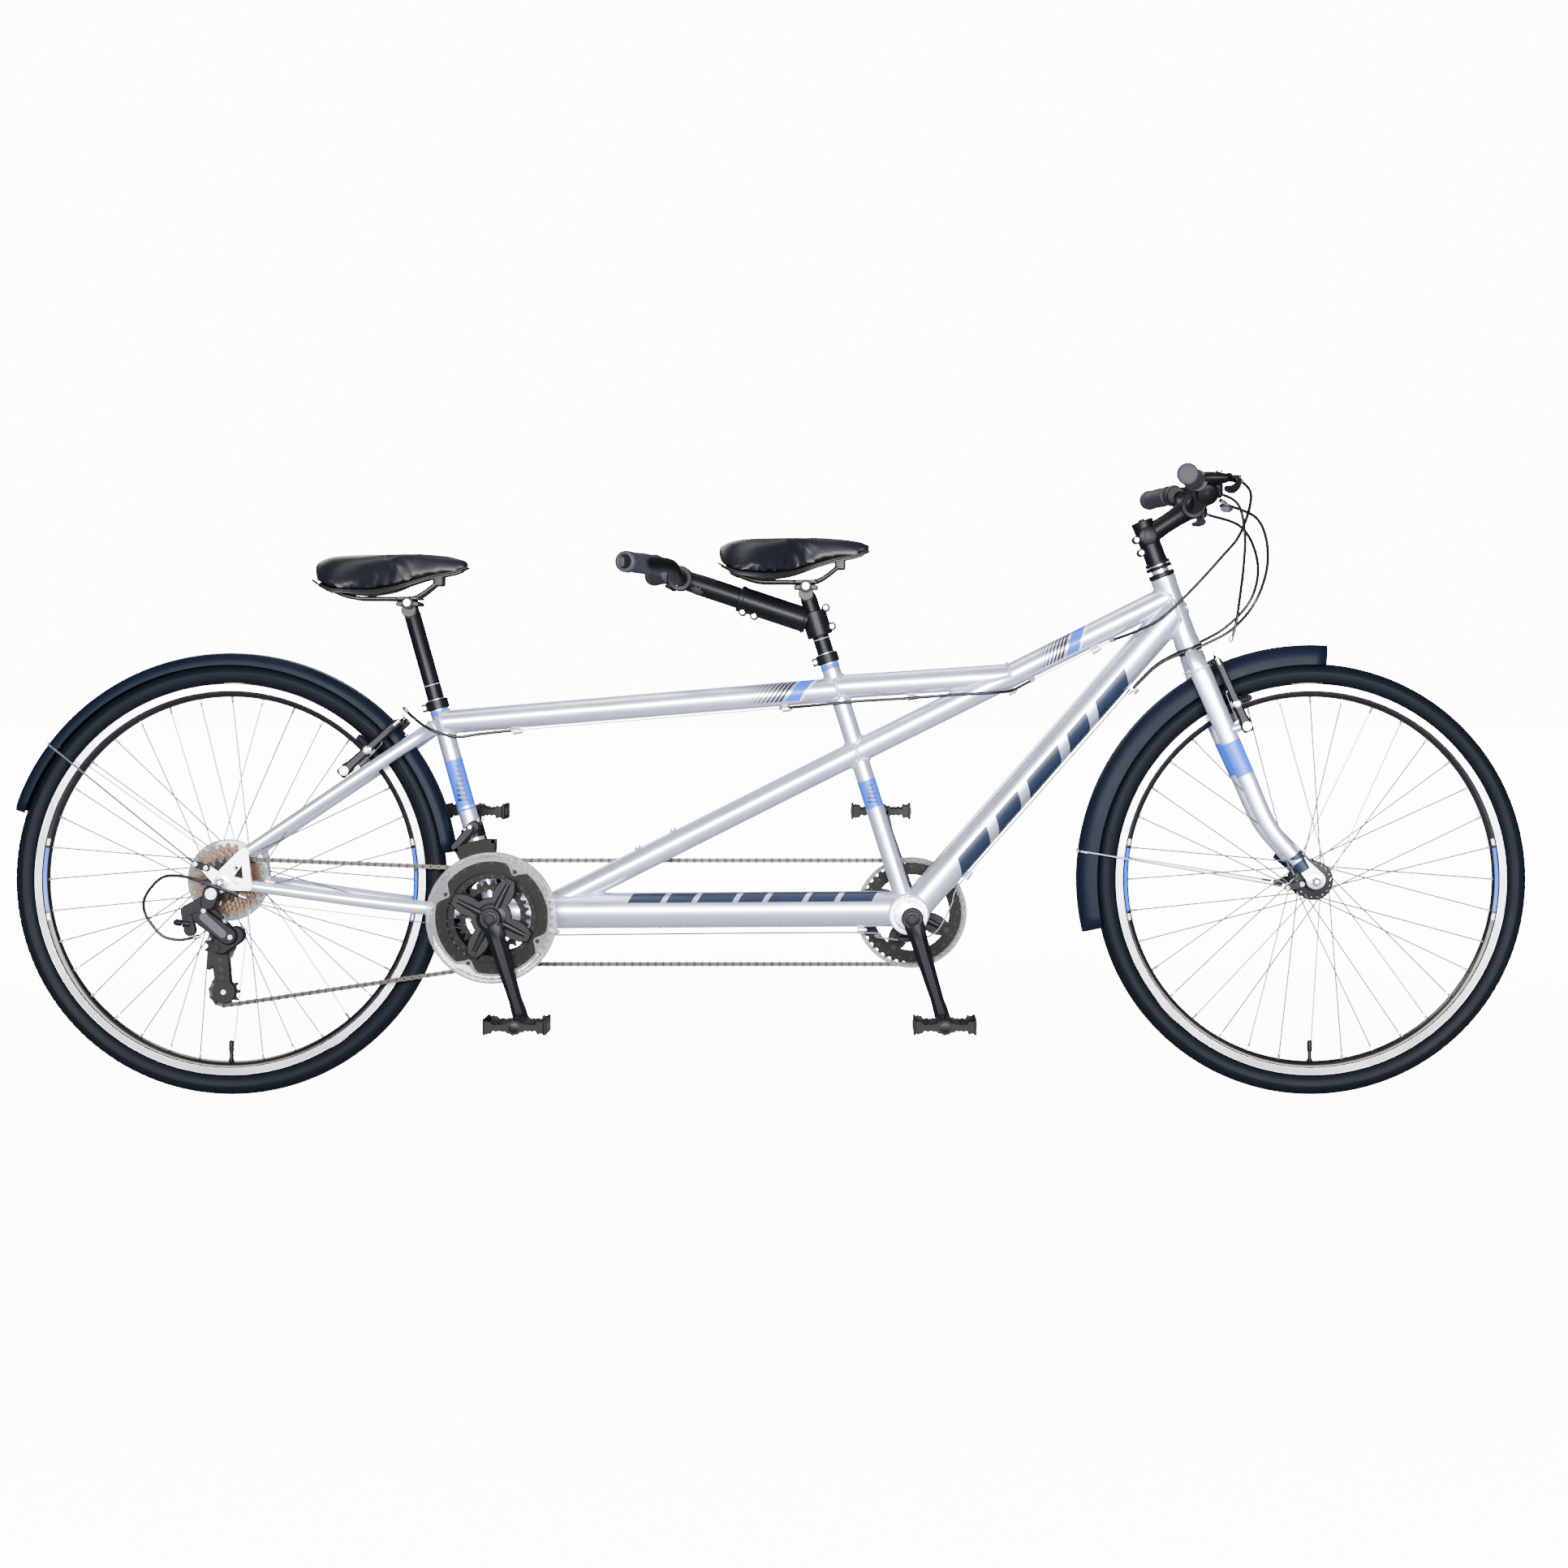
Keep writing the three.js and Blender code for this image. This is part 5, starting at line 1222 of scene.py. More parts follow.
def crank_axle(form, axle, side):
    """Half of the square bottom-bracket axle, inside its shell."""
    low, high = sorted((side * 10.0, side * 70.0))
    form.put("dark_steel_and_hole_shade", turned([(low, 8.3), (high, 8.3)], [axle[0], 0, axle[2]], ACROSS, 24))


def spider(form, axle, reach, low, high, kind="crank_black"):
    """Four arms from the crank to the ring bolts, waisted between their feet."""
    turn = np.arange(240) * 2 * np.pi / 240
    lobe = np.zeros(240)
    for angle in LOBES:
        away = (turn - angle + np.pi) % (2 * np.pi) - np.pi
        lobe = np.maximum(lobe, np.clip(1.3 - np.abs(away) / 0.34, 0, 1) ** 0.7)
    radius = 33 + (reach - 33) * lobe
    outline = np.stack([axle[0] + radius * np.cos(turn), axle[2] + radius * np.sin(turn)], 1)
    form.put(kind, plate(outline, low, high, circle(flat(axle), 9, 240), 1.4))
    for angle in LOBES:
        out = np.array([math.cos(angle), 0, math.sin(angle)])
        rib_start = np.array([axle[0], low + 0.6, axle[2]]) + out * 18
        form.put(kind, sweep([rib_start, rib_start + out * (reach - 28)], [4.5, 3.0], [6.5, 4.2], ACROSS,
                             sides=10))


def chain_ring(form, axle, teeth, y, hole, kind="ring"):
    """A thin toothed ring; between its four ears, small dark discs are painted shade where drilled
    lightening slots would be.
    """
    form.put(kind, sprocket(axle, teeth, y, 2.2, hole))
    inner = pitch_radius(teeth) - 8
    # Dark discs where the lightening slots are: painted shade, no slot is cut.
    for turn in np.arange(0, 360, 15):
        out = np.array([math.cos(math.radians(turn)), 0, math.sin(math.radians(turn))])
        spot = np.array([axle[0], y - 1.2, axle[2]]) + out * (inner - 2)
        form.put("dark_steel_and_hole_shade", turned([(-0.3, 2.2), (0.3, 2.1)], spot, ACROSS, 12))


def clear_guard(form, axle):
    """The clear guard outside the big ring, with four inward lobes and stepped edge."""
    turn = np.arange(360) * 2 * np.pi / 360
    lobe = np.zeros(360)
    for angle in LOBES:
        away = (turn - angle + np.pi) % (2 * np.pi) - np.pi
        lobe = np.maximum(lobe, np.clip(1.2 - np.abs(away) / 0.17, 0, 1))
    hole = 90 - 14 * lobe
    rows = []
    for radius, y in ((105.4, -58.6), (105.8, -60.2), (104.8, -61.6), (99, -61.8), (97.5, -61.0)):
        rows.append([[axle[0] + radius * math.cos(a), y, axle[2] + radius * math.sin(a)] for a in turn])
    for lift, y in ((0.6, -61.0), (0.0, -60.4), (0.0, -59.2)):
        radius = hole + lift
        rows.append(np.stack([axle[0] + radius * np.cos(turn), np.full(360, y),
                              axle[2] + radius * np.sin(turn)], 1))
    form.put("clear", skin(rows, ring=True))
    for angle in LOBES:
        out = np.array([math.cos(angle), 0, math.sin(angle)])
        spot = np.array([axle[0], -61.2, axle[2]]) + out * 82
        bolt(form, "dark_steel_and_hole_shade", spot, -ACROSS, 3.4, 1.6)
    for turn in np.arange(0, 360, 30):
        out = np.array([math.cos(math.radians(turn)), 0, math.sin(math.radians(turn))])
        side = np.cross(ACROSS, out)
        spot = np.array([axle[0], -61.9, axle[2]]) + out * 101.5
        form.put("clear",
                 sweep([spot - side * 9, spot + side * 9], [0.9, 0.9], [1.8, 1.8], ACROSS, sides=8))


def ring_bolts(form, axle, y_low, y_high, radius=64):
    """The bolts that hold a chainring to the spider."""
    for angle in LOBES:
        out = np.array([math.cos(angle), 0, math.sin(angle)])
        spot = np.array([axle[0], y_low, axle[2]]) + out * radius
        way = ACROSS * math.copysign(1, y_high - y_low)
        form.put("dark_steel_and_hole_shade", turned([(0, 4.6), (abs(y_high - y_low), 4.6)], spot, way, 20))
        bolt(form, "dark_steel_and_hole_shade", spot + way * abs(y_high - y_low), way, 5.0, 1.8)


def add_right_chainset():
    """The stoker's right crank with its chainrings and spider."""
    form = Form()
    pedal = pivot("stoker_pedal_right_turn")
    crank_axle(form, REAR_CRANKS, -1)
    crank_arm(form, REAR_CRANKS, pedal, -1)
    form.put("crank_black",
             turned([(-68.5, 17), (-66, 24), (-60, 25)], [REAR_CRANKS[0], 0, REAR_CRANKS[2]], ACROSS, 48))
    spider(form, REAR_CRANKS, 70, -65.5, -59.2)
    chain_ring(form, REAR_CRANKS, 48, RINGS[0][1], 73)
    chain_ring(form, REAR_CRANKS, 38, RINGS[1][1], 62)
    chain_ring(form, REAR_CRANKS, 28, RINGS[2][1], 44)
    for angle in LOBES:
        out = np.array([math.cos(angle), 0, math.sin(angle)])
        for y, reach_in, reach_out in ((-56.0, 60, 76), (-49.0, 58, 64), (-42.0, 38, 48)):
            spot = np.array([REAR_CRANKS[0], y, REAR_CRANKS[2]])
            start, end = spot + out * reach_in, spot + out * reach_out
            form.put("ring", plate(capsule(flat(start), flat(end), 8, 9), y - 1.0, y + 1.25, edge=0.3))
    ring_bolts(form, REAR_CRANKS, -41, -65.4)
    clear_guard(form, REAR_CRANKS)
    form.build("stoker_crank_right_set", "stoker_cranks", ("stoker_crank_right",))


def add_timing_side(who, axle, body):
    """A left crank with its timing ring."""
    form = Form()
    pedal = pivot(who + "_pedal_left_turn")
    crank_axle(form, axle, 1)
    crank_arm(form, axle, pedal, 1)
    form.put("crank_black", turned([(60, 24), (66, 23), (68.5, 17)], [axle[0], 0, axle[2]], ACROSS, 48))
    spider(form, axle, 70, 52.5, 58.5)
    chain_ring(form, axle, TIMING_TEETH, TIMING_Y, 62)
    for angle in LOBES:
        out = np.array([math.cos(angle), 0, math.sin(angle)])
        start, end = axle + out * 58, axle + out * 68
        form.put("ring",
                 plate(capsule(flat(start), flat(end), 8, 9), TIMING_Y - 1.25, TIMING_Y + 1.25, edge=0.3))
    ring_bolts(form, axle, 48, 58.6)
    disc = [(45.6, 84), (45.6, 90.4), (46.4, 91), (47.2, 90.4), (47.2, 84)]
    form.put("clear", turned(disc, [axle[0], 0, axle[2]], ACROSS, 120, ring=True))
    form.build(who + "_crank_left_set", body, (who + "_crank_left",))


def add_plain_crank():
    """The captain's right crank, which carries no ring."""
    form = Form()
    crank_axle(form, FRONT_CRANKS, -1)
    crank_arm(form, FRONT_CRANKS, pivot("captain_pedal_right_turn"), -1)
    form.build("captain_crank_right_arm", "captain_cranks", ("captain_crank_right",))


def pedal_shape(form, centre, side):
    """A moulded platform: barrel, four ribs, serrated cage plates and toothed end plates."""
    inner, outer = 90.0, 174.0
    for x in (-1, 1):
        teeth = []
        count = 17
        for k in range(count):
            y = inner + 6 + (outer - inner - 12) * k / (count - 1)
            teeth.append((y, 13.0 if k % 2 else 10.6))
        outline = [(y, h) for y, h in teeth] + [(y, -h) for y, h in reversed(teeth)]
        shape = plate(outline, 45.5, 49.5, edge=0.5)
        form.put("black_plastic", moved(shape, centre, ACROSS * side, LEVEL * x, UP))
    spots = np.linspace(-46, 46, 47)
    tall = 5.0 + 6.5 * np.exp(-((spots / 11) ** 2)) + 4.5 * (np.abs(spots) > 35)
    spikes = tall + 1.8 * (np.arange(47) % 4 == 2)
    rim = np.concatenate([np.stack([spots, spikes], 1), np.stack([spots, -spikes], 1)[::-1]])
    for y in (inner - 0.5, outer - 6):
        shape = plate(rim, y, y + 5.5, edge=0.6)
        form.put("black_plastic", moved(shape, centre, LEVEL, ACROSS * side, UP))
    form.put("black_plastic", moved(turned([(inner, 11), (inner + 3, 12.2), (outer - 9, 10.4),
                                            (outer - 3, 9)], (0, 0, 0), ACROSS, 36), centre, LEVEL,
                                    ACROSS * side, UP))
    for x in (-28, 28):
        shape = block((x - 2.2, inner + 4, -6.5), (x + 2.2, outer - 4, 6.5), 1.6)
        form.put("black_plastic", moved(shape, centre, LEVEL, ACROSS * side, UP))
    for y in (inner + 24, (inner + outer) / 2, outer - 24):
        shape = block((-46, y - 2, -5.5), (46, y + 2, 5.5), 1.6)
        form.put("black_plastic", moved(shape, centre, LEVEL, ACROSS * side, UP))
    for x in (-1, 1):
        shape = block((-2, inner + 22, -5.5), (2, outer - 22, 5.5), 1.4)
        form.put("slate_plastic", moved(shape, centre + LEVEL * x * 48.6, LEVEL, ACROSS * side, UP))
    form.put("dark_steel_and_hole_shade", moved(turned([(80, 5.4), (inner + 2, 5.4)], (0, 0, 0), ACROSS, 20), centre,
                                 LEVEL, ACROSS * side, UP))
    form.put("alloy", moved(turned([(82.2, 7.6, 6), (86.5, 7.6, 6)], (0, 0, 0), ACROSS, 36), centre,
                            LEVEL, ACROSS * side, UP))
    form.put("black_alloy", moved(turned([(outer - 3, 9), (outer - 0.6, 8.4), (outer, 6.6)], (0, 0, 0),
                                         ACROSS, 30), centre, LEVEL, ACROSS * side, UP))


def add_pedals():
    """Four pedals."""
    for who in ("captain", "stoker"):
        for word, side in (("left", 1), ("right", -1)):
            name = who + "_pedal_" + word
            centre = pivot(name + "_turn") * [1, 0, 1]
            form = Form()
            pedal_shape(form, centre, side)
            form.build(name + "_moulded", name, (name,))


def add_cogs():
    """Seven sprockets, small dark discs on the larger ones as painted shade for relief holes, the body they
    sit on and their lockring.
    """
    form = Form()
    for teeth, y in COGS:
        form.put("gold_cog" if teeth > 16 else "dark_steel_and_hole_shade", sprocket(REAR_AXLE, teeth, y, 2.0, 17.5))
        if teeth > 18:
            ring = pitch_radius(teeth) - 9
            # Dark discs where relief holes would be: painted shade on the cog's face.
            for turn in np.arange(0, 360, 30):
                out = np.array([math.cos(math.radians(turn)), 0, math.sin(math.radians(turn))])
                spot = np.array([REAR_AXLE[0], y - 1.15, REAR_AXLE[2]]) + out * (ring - 1)
                form.put("dark_steel_and_hole_shade", turned([(0, 2.9), (0.25, 2.7)], spot, ACROSS, 12))
    form.put("dark_steel_and_hole_shade", turned([(-60, 19.5), (-28, 19.5), (-28, 12), (-60, 12)], REAR_AXLE * [1, 0, 1],
                                  ACROSS, 48, ring=True))
    lock = [(-61.5, 17), (-60, 18.5), (-59.5, 18.5), (-59.5, 8.2), (-61.5, 8.2)]
    form.put("alloy", turned(lock, REAR_AXLE * [1, 0, 1], ACROSS, 48, ring=True))
    form.build("freewheel_cogs_cut", "freewheel", ("freewheel_cogs",))


def add_spoke_disc():
    """The clear disc between the sprockets and the spokes; it turns with the wheel."""
    form = Form()
    profile = [(-26.4, 24), (-26.0, 62), (-25.2, 66), (-24.4, 66), (-24.8, 62), (-25.2, 24)]
    form.put("clear", turned(profile, REAR_AXLE * [1, 0, 1], ACROSS, 96, ring=True))
    for k in range(24):
        out = np.array([math.cos(k * np.pi / 12), 0, math.sin(k * np.pi / 12)])
        start = REAR_AXLE * [1, 0, 1] + out * 34 + ACROSS * -26.5
        form.put("clear", sweep([start, start + out * 24], 0.7, sides=6))
    form.build("rear_spoke_disc", "rear_wheel", ())


def add_transmission():
    """Chains, cranks, pedals and cogs."""
    add_chains()
    add_right_chainset()
    add_timing_side("stoker", REAR_CRANKS, "stoker_cranks")
    add_timing_side("captain", FRONT_CRANKS, "captain_cranks")
    add_plain_crank()
    add_pedals()
    add_cogs()
    add_spoke_disc()


# ---------------------------------------------------------------- gears


def add_pulleys():
    """The two toothed pulleys of the rear derailleur."""
    for name in ("guide_pulley", "tension_pulley"):
        centre = pivot(name + "_turn") * [1, 0, 1]
        form = Form()
        form.put("black_plastic", sprocket(centre, 11, DRIVE_Y, 4.6, 9.5))
        form.put("slate_plastic", turned([(-52.6, 9.6), (-52.6, 4), (-45.4, 4), (-45.4, 9.6)], centre,
                                         ACROSS, 36, ring=True))
        for k in range(6):
            angle = k * np.pi / 3
            spot = centre + np.array([math.cos(angle) * 13, 0, math.sin(angle) * 13])
            form.put("dark_steel_and_hole_shade", turned([(-51.5, 1.8), (-46.5, 1.8)], spot, ACROSS, 10))
        form.build(name + "_toothed", name, (name,))


def add_cage():
    """Two cage plates with three small bronze discs on the outer one, joined by the pulley bolts."""
    guide, tension = flat(pivot("guide_pulley_turn")), flat(pivot("tension_pulley_turn"))
    form = Form()
    for low, high, kind in ((-59.5, -57.6, "dark_steel_and_hole_shade"), (-42.9, -41.1, "dark_steel_and_hole_shade")):
        form.put(kind, plate(capsule(guide, tension, 14, 12, 20), low, high, edge=0.5))
        form.put(kind, plate(capsule(guide + [-9, -8], guide + [-15, -34], 7, 4), low + 0.2, high + 0.2,
                             edge=0.5))
        form.put(kind, plate(capsule(tension + [-9, -7], tension + [-14, -12], 6, 4.5), low + 0.2,
                             high + 0.2, edge=0.5))
        form.put(kind, plate(circle(tension, 18.6), low - 0.2, high - 0.2, edge=0.6))
    for along in (0.3, 0.5, 0.68):
        spot = guide + (tension - guide) * along
        face = np.array([spot[0], -59.5, spot[1]])
        form.put("bronze_clamp", turned([(-0.1, 5), (0.35, 4.6)], face, -ACROSS, 24))
    for spot in (guide, tension):
        bolt(form, "alloy", (spot[0], -59.5, spot[1]), -ACROSS, 4.4, 1.6)
        form.put("dark_steel_and_hole_shade", turned([(-58, 3.2), (-42, 3.2)], (spot[0], 0, spot[1]), ACROSS, 14))
    stop = guide + [10, -14]
    form.put("dark_steel_and_hole_shade", turned([(-59, 2.2), (-42, 2.2)], (stop[0], 0, stop[1]), ACROSS, 12))
    form.build("derailleur_cage_plates", "derailleur_cage", ("derailleur_cage",))


def add_rear_derailleur():
    """Mounting knuckle, two parallelogram links, lower knuckle, barrel adjuster and cable clamp."""
    guide = flat(pivot("guide_pulley_turn"))
    hanger = np.array([-888.0, 331.0])
    form = Form()
    form.put("black_alloy", plate(capsule(hanger, hanger + [-5, -14], 13.5, 12), -86, -73, edge=1.8))
    form.put("black_alloy",
             plate(capsule(hanger + [-7, -13], hanger + [-40, -27], 12, 9, 18), -84, -74.5, edge=1.6))
    form.put("black_alloy",
             plate(capsule(hanger + [-40, -30], hanger + [-34, -58], 9, 10, 18), -83.7, -74.2, edge=1.6))
    bolt(form, "alloy", (hanger[0], -86, hanger[1]), -ACROSS, 7.2, 3, collar=9)
    start, finish = np.array([-900.0, 304.0]), np.array([-858.0, 262.0])
    form.put("black_plastic",
             plate(capsule(start + [-6, -8], finish + [-4, 2], 14, 14.5, 20), -83.2, -76.5, edge=2.2))
    form.put("slate_plastic",
             plate(capsule(start + [0, -10], finish + [-12, 5], 7.4, 7), -84.2, -82.6, edge=0.8))
    form.put("black_alloy", plate(capsule(start + [3, 2], finish + [3, 2], 9, 9), -72.5, -66.5, edge=1.4))
    form.put("black_alloy",
             plate(capsule(finish + [6, 2], guide + [8, 4], 15, 15.5, 20), -76, -60.4, edge=2.4))
    for spot in (start, finish):
        form.put("dark_steel_and_hole_shade", turned([(-84.2, 3.4), (-66, 3.4)], (spot[0], 0, spot[1]), ACROSS, 18))
        form.put("polished",
                 turned([(-84.6, 3.8), (-84, 4.2), (-83.2, 4.2)], (spot[0], 0, spot[1]), ACROSS, 20))
    bolt(form, "dark_steel_and_hole_shade", (guide[0], -76, guide[1]), -ACROSS, 6.5, 2.2, collar=8)
    for k in range(2):
        bolt(form, "polished", (-884 + 9 * k, -80, 316 - 3 * k), (0.3, 0, 1), 2.1, 6)
    screw = np.array([-868.0, -79.0, 287.0])
    bolt(form, "alloy", screw, (0.7, -0.2, 0.7), 3.4, 4, collar=5.2)
    holder = np.array([-926.0, -79.0, 283.0])
    form.put("black_alloy", turned([(-4, 6.5), (8, 6.5)], holder, (-1, 0, 0.12), 24))
    adjuster = [(8, 3.2), (10, 3.2), (10.6, 5), (20, 5), (21, 4.2), (23, 3.4)]
    form.put("black_plastic", turned(adjuster, holder, (-1, 0, 0.12), 24))
    for k in range(12):
        first, second = square_to((-1, 0, 0.12))
        arm = (first * math.cos(k * np.pi / 6) + second * math.sin(k * np.pi / 6)) * 5
        way = unit((-1, 0, 0.12))
        form.put("black_plastic",
                 sweep([holder + way * 11 + arm, holder + way * 19.5 + arm], 0.6, sides=6))
    form.build("rear_derailleur_linked", "rear_derailleur", ("rear_derailleur",))


def arc_panel(centre, inner, outer, start, end, low, high, count=24):
    """A curved plate between two radii and two angles."""
    turn = np.linspace(start, end, count)
    far = np.stack([centre[0] + outer * np.cos(turn), centre[2] + outer * np.sin(turn)], 1)
    near = np.stack([centre[0] + inner * np.cos(turn), centre[2] + inner * np.sin(turn)], 1)
    return plate(np.vstack([far, near[::-1]]), low, high, edge=0.4)


def add_front_derailleur():
    """Clamp band, link body and a two-sided cage over the big ring."""
    form = Form()
    for low, high, inner in ((-61.8, -60.4, 104.8), (-36.4, -35.0, 86.5)):
        form.put("ring", arc_panel(REAR_CRANKS, inner, 125.5, 1.52, 2.08, low, high))
    for turn in (1.55, 2.05):
        spot = REAR_CRANKS + 122 * np.array([math.cos(turn), 0, math.sin(turn)])
        form.put("polished", turned([(-61.8, 3), (-35, 3)], spot * [1, 0, 1], ACROSS, 14))
    band = along_tube(REAR_SEAT, 139)
    axis = unit(REAR_SEAT[1] - REAR_SEAT[0])
    form.put("black_alloy", plate(capsule((-476, 436), (-497, 412), 9.5, 8, 18), -47, -26.6, edge=1.8))
    form.put("black_alloy", plate(capsule((-480, 432), (-505, 404), 5.5, 5.5, 16), -59.6, -47, edge=1.0))
    form.put("alloy", turned([(-61, 3), (-26, 3)], (-480, 0, 436), ACROSS, 16))
    bolt(form, "polished", (-488, -47.4, 430), (0, -1, 0), 3.6, 2.4)
    for k in range(2):
        bolt(form, "polished", (-470 + 7 * k, -38, 444), (0.2, 0, 1), 2.0, 6)
    form.build("front_derailleur_linked", "front_derailleur", ("front_derailleur",))

    form = Form()
    clamp = [(-9, 15.4), (-9, 18.2), (-8, 19), (8, 19), (9, 18.2), (9, 15.4)]
    form.put("black_alloy", turned(clamp, band, axis, 48, ring=True))
    back, _ = square_to(axis, -LEVEL)
    bolt(form, "polished", band + back * 18 - ACROSS * 3, -ACROSS, 3.6, 5)
    form.build("front_derailleur_band", "frame", ())


# ---------------------------------------------------------------- brakes


PAD_RADIUS = 311.0      # from the axle to the middle of a brake block


def brake_arm(end, word, side, foot, axle, forward):
    """A linear-pull arm: pivot, tapered blade, pad on its stud, spring, and the cable end."""
    name = end + "_brake_arm_" + word
    radial = unit((foot - axle) * [1, 0, 1])
    ahead = np.cross(ACROSS, radial)
    if np.dot(ahead, forward) < 0:
        ahead = -ahead
    form = Form()

    def at(up, out, fore):
        return foot * [1, 0, 1] + radial * up + ACROSS * side * out + ahead * fore

    rows = []
    for up, low, high, wide in ((-10, 46.6, 56, 6), (-8, 46.4, 56.6, 9), (6, 46.4, 56.6, 9.6),
                                (16, 47.6, 56, 7.6), (48, 48.6, 55.6, 6.6), (90, 48.8, 54.6, 6.0),
                                (112, 49, 54, 6.4), (117, 49.4, 53.6, 5)):
        loop = []
        for u, v in ((-1, 0.15), (-0.8, 0), (0.8, 0), (1, 0.15), (1, 0.7), (0.6, 1), (-0.6, 1),
                     (-1, 0.7)):
            loop.append(at(up, low + (high - low) * v, u * wide))
        rows.append(loop)
    form.put("black_alloy", skin(rows))
    bolt(form, "polished", at(0, 56.4, 0), ACROSS * side, 5.4, 3.4, collar=7.4)
    pad = PAD_RADIUS - np.linalg.norm(foot - axle)
    form.put("alloy", turned([(24, 3), (60, 3)], at(pad, 0, 0), ACROSS * side, 16))
    form.put("polished", turned([(55.8, 7.2), (57.4, 7.2), (58.4, 5)], at(pad, 0, 0), ACROSS * side, 24))
    nut(form, "polished", at(pad, 58, 0), ACROSS * side, 4.8, 4.4, 2.6)
    for out, radius in ((26, 7), (29.5, 6.2), (44, 6.6), (46, 7.2)):
        form.put("alloy", turned([(out, radius), (out + 2.2, radius)], at(pad, 0, 0), ACROSS * side, 24))
    count = 13
    block_loops = []
    for k in range(count):
        lean = (k / (count - 1) - 0.5) * 60 / PAD_RADIUS
        here = axle * [1, 0, 1] + (radial * math.cos(lean) + ahead * math.sin(lean)) * PAD_RADIUS
        out_dir = unit(here - axle * [1, 0, 1])
        tall = 5.2 if 0 < k < count - 1 else 3.8
        loop = []
        for u, v in ((-1, 14.5), (1, 14.5), (1.05, 21), (0.6, 24), (-0.6, 24), (-1.05, 21)):
            loop.append(here + out_dir * u * tall + ACROSS * side * v)
        block_loops.append(loop)
    form.put("tyre", skin(block_loops))
    spring = smooth([at(-2, 45.6, -8), at(20, 45.6, -9.5), at(pad + 20, 45.2, -8.4),
                     at(pad + 24, 46, -4)], 4)
    form.put("polished", sweep(spring, 0.9, sides=8))
    bolt(form, "polished", at(14, 52, 9), ahead, 1.8, 3)
    if side > 0:
        bolt(form, "alloy", at(112, 51, 5.6), ahead, 4.4, 3, collar=5.6)
    else:
        form.put("polished", sweep([at(108, 51.5, 0), at(120, 51.5, 0)], [4.2, 3.6], sides=18))
        noodle = smooth([at(126, 54, 2), at(128, 47, 2), at(124, 34, 1), at(118, 20, 0), at(115, 8, 0)],
                        3)
        form.put("polished", sweep(noodle, 2.6, sides=14))
        form.put("polished", sweep([noodle[0] + [0, side * 3, 0], noodle[0]], 3.6, sides=16))
        boot = [at(115, 8, 0), at(114, -14, 0), at(113, -26, 0)]
        boot_path = smooth(boot, 1.2)
        wave = 3.5 + 0.8 * np.cos(np.arange(len(boot_path)) * np.pi * 0.66)
        form.put("black_plastic",
                 sweep(boot_path, wave * np.linspace(1.1, 0.8, len(boot_path)), sides=16))
        form.put("steel_wire", sweep([boot_path[-1], at(112, -51, 5)], 0.8, sides=6))
    form.build(name + "_forged", name, (name,))


def add_brakes():
    """Four brake arms."""
    rear, front = np.array([-682.0, 0, 526]), np.array([764.6, 0, 597.5])
    for word, side in (("left", 1), ("right", -1)):
        brake_arm("rear", word, side, rear, REAR_AXLE, np.array([-0.7, 0, 0.7]))
        brake_arm("front", word, side, front, FRONT_AXLE, np.array([0.9, 0, 0.4]))


# ---------------------------------------------------------------- saddles

SADDLES = {
    "stoker": dict(rear=-741.0, top=879.0, rail=803.0, nose=818.0, post=REAR_SEAT, rise=156.0),
    "captain": dict(rear=-91.0, top=906.0, rail=830.0, nose=845.0, post=FRONT_SEAT, rise=106.0),
}
SADDLE_LENGTH = 258.0
SADDLE_FROM, SADDLE_TO = 0.012, 0.988


def saddle_width(s):
    """Half the saddle's width at a fraction of its length."""
    taper = 0.5 + 0.5 * math.cos(math.pi * min(1, max(0, (s - 0.16) / 0.52)))
    ends = math.sqrt(max(0, 1 - abs(2 * s - 1) ** 6.5))
    return (23 + 72 * taper) * ends


def eased(s, places, depths):
    """A depth read between a few stations along the saddle, with the corners at them rounded off."""
    return np.mean([np.interp(s + shift, places, depths) for shift in np.linspace(-0.05, 0.05, 7)])


def saddle_top(s, u, seat):
    """The height of the padded top: raised rear wings, a waist, a rounded nose and a shallow channel."""
    crown = seat["top"] - 1 - eased(s, (0, 0.1, 0.3, 0.55, 0.8, 0.93, 1), (17, 6, 7, 4, 0, 1, 12))
    wings = 2.2 * math.exp(-(((abs(u) - 0.5) / 0.3) ** 2)) * math.exp(-(((s - 0.2) / 0.2) ** 2))
    channel = 3.4 * math.exp(-((u / 0.13) ** 2)) * math.exp(-(((s - 0.42) / 0.3) ** 4))
    return crown + wings - channel


def saddle_skirt(s, seat):
    """The height of the lower edge: deep beside the sit bones, rising to the waist, then the nose."""
    places = (0, 0.05, 0.15, 0.35, 0.5, 0.6, 0.75, 0.9, 1)
    return seat["top"] - eased(s, places, (46, 55, 68, 71, 66, 56, 44, 38, 26))


def saddle_loop(s, seat, inset=0.0, around=26):
    """One cross-section loop of a saddle's padding, a fraction s of the way to the nose."""
    half = max(4, saddle_width(s) - inset)
    low = saddle_skirt(s, seat)
    x = seat["rear"] + s * SADDLE_LENGTH
    loop = []
    for u in np.linspace(-1, 1, around):
        drop = abs(u) ** (3.2 + 1.5 * s)
        top = saddle_top(s, u, seat) - inset
        loop.append([x, half * u * (1.0 if abs(u) < 0.999 else 0.985), top - (top - low) * 0.97 * drop])
    for u in np.linspace(0.96, -0.96, 14):
        loop.append([x, half * u, low + 9 * (1 - u * u) ** 0.6 + inset])
    return loop


def saddle_start(name, seat):
    """The padded form, a little small, before its simulation."""
    along = np.linspace(SADDLE_FROM + 0.012, SADDLE_TO - 0.012, 46)
    rows = [saddle_loop(s, seat, 2.5) for s in along]
    form = Form()
    form.put("vinyl", skin(rows))
    return form.build(name, None, angle=80)


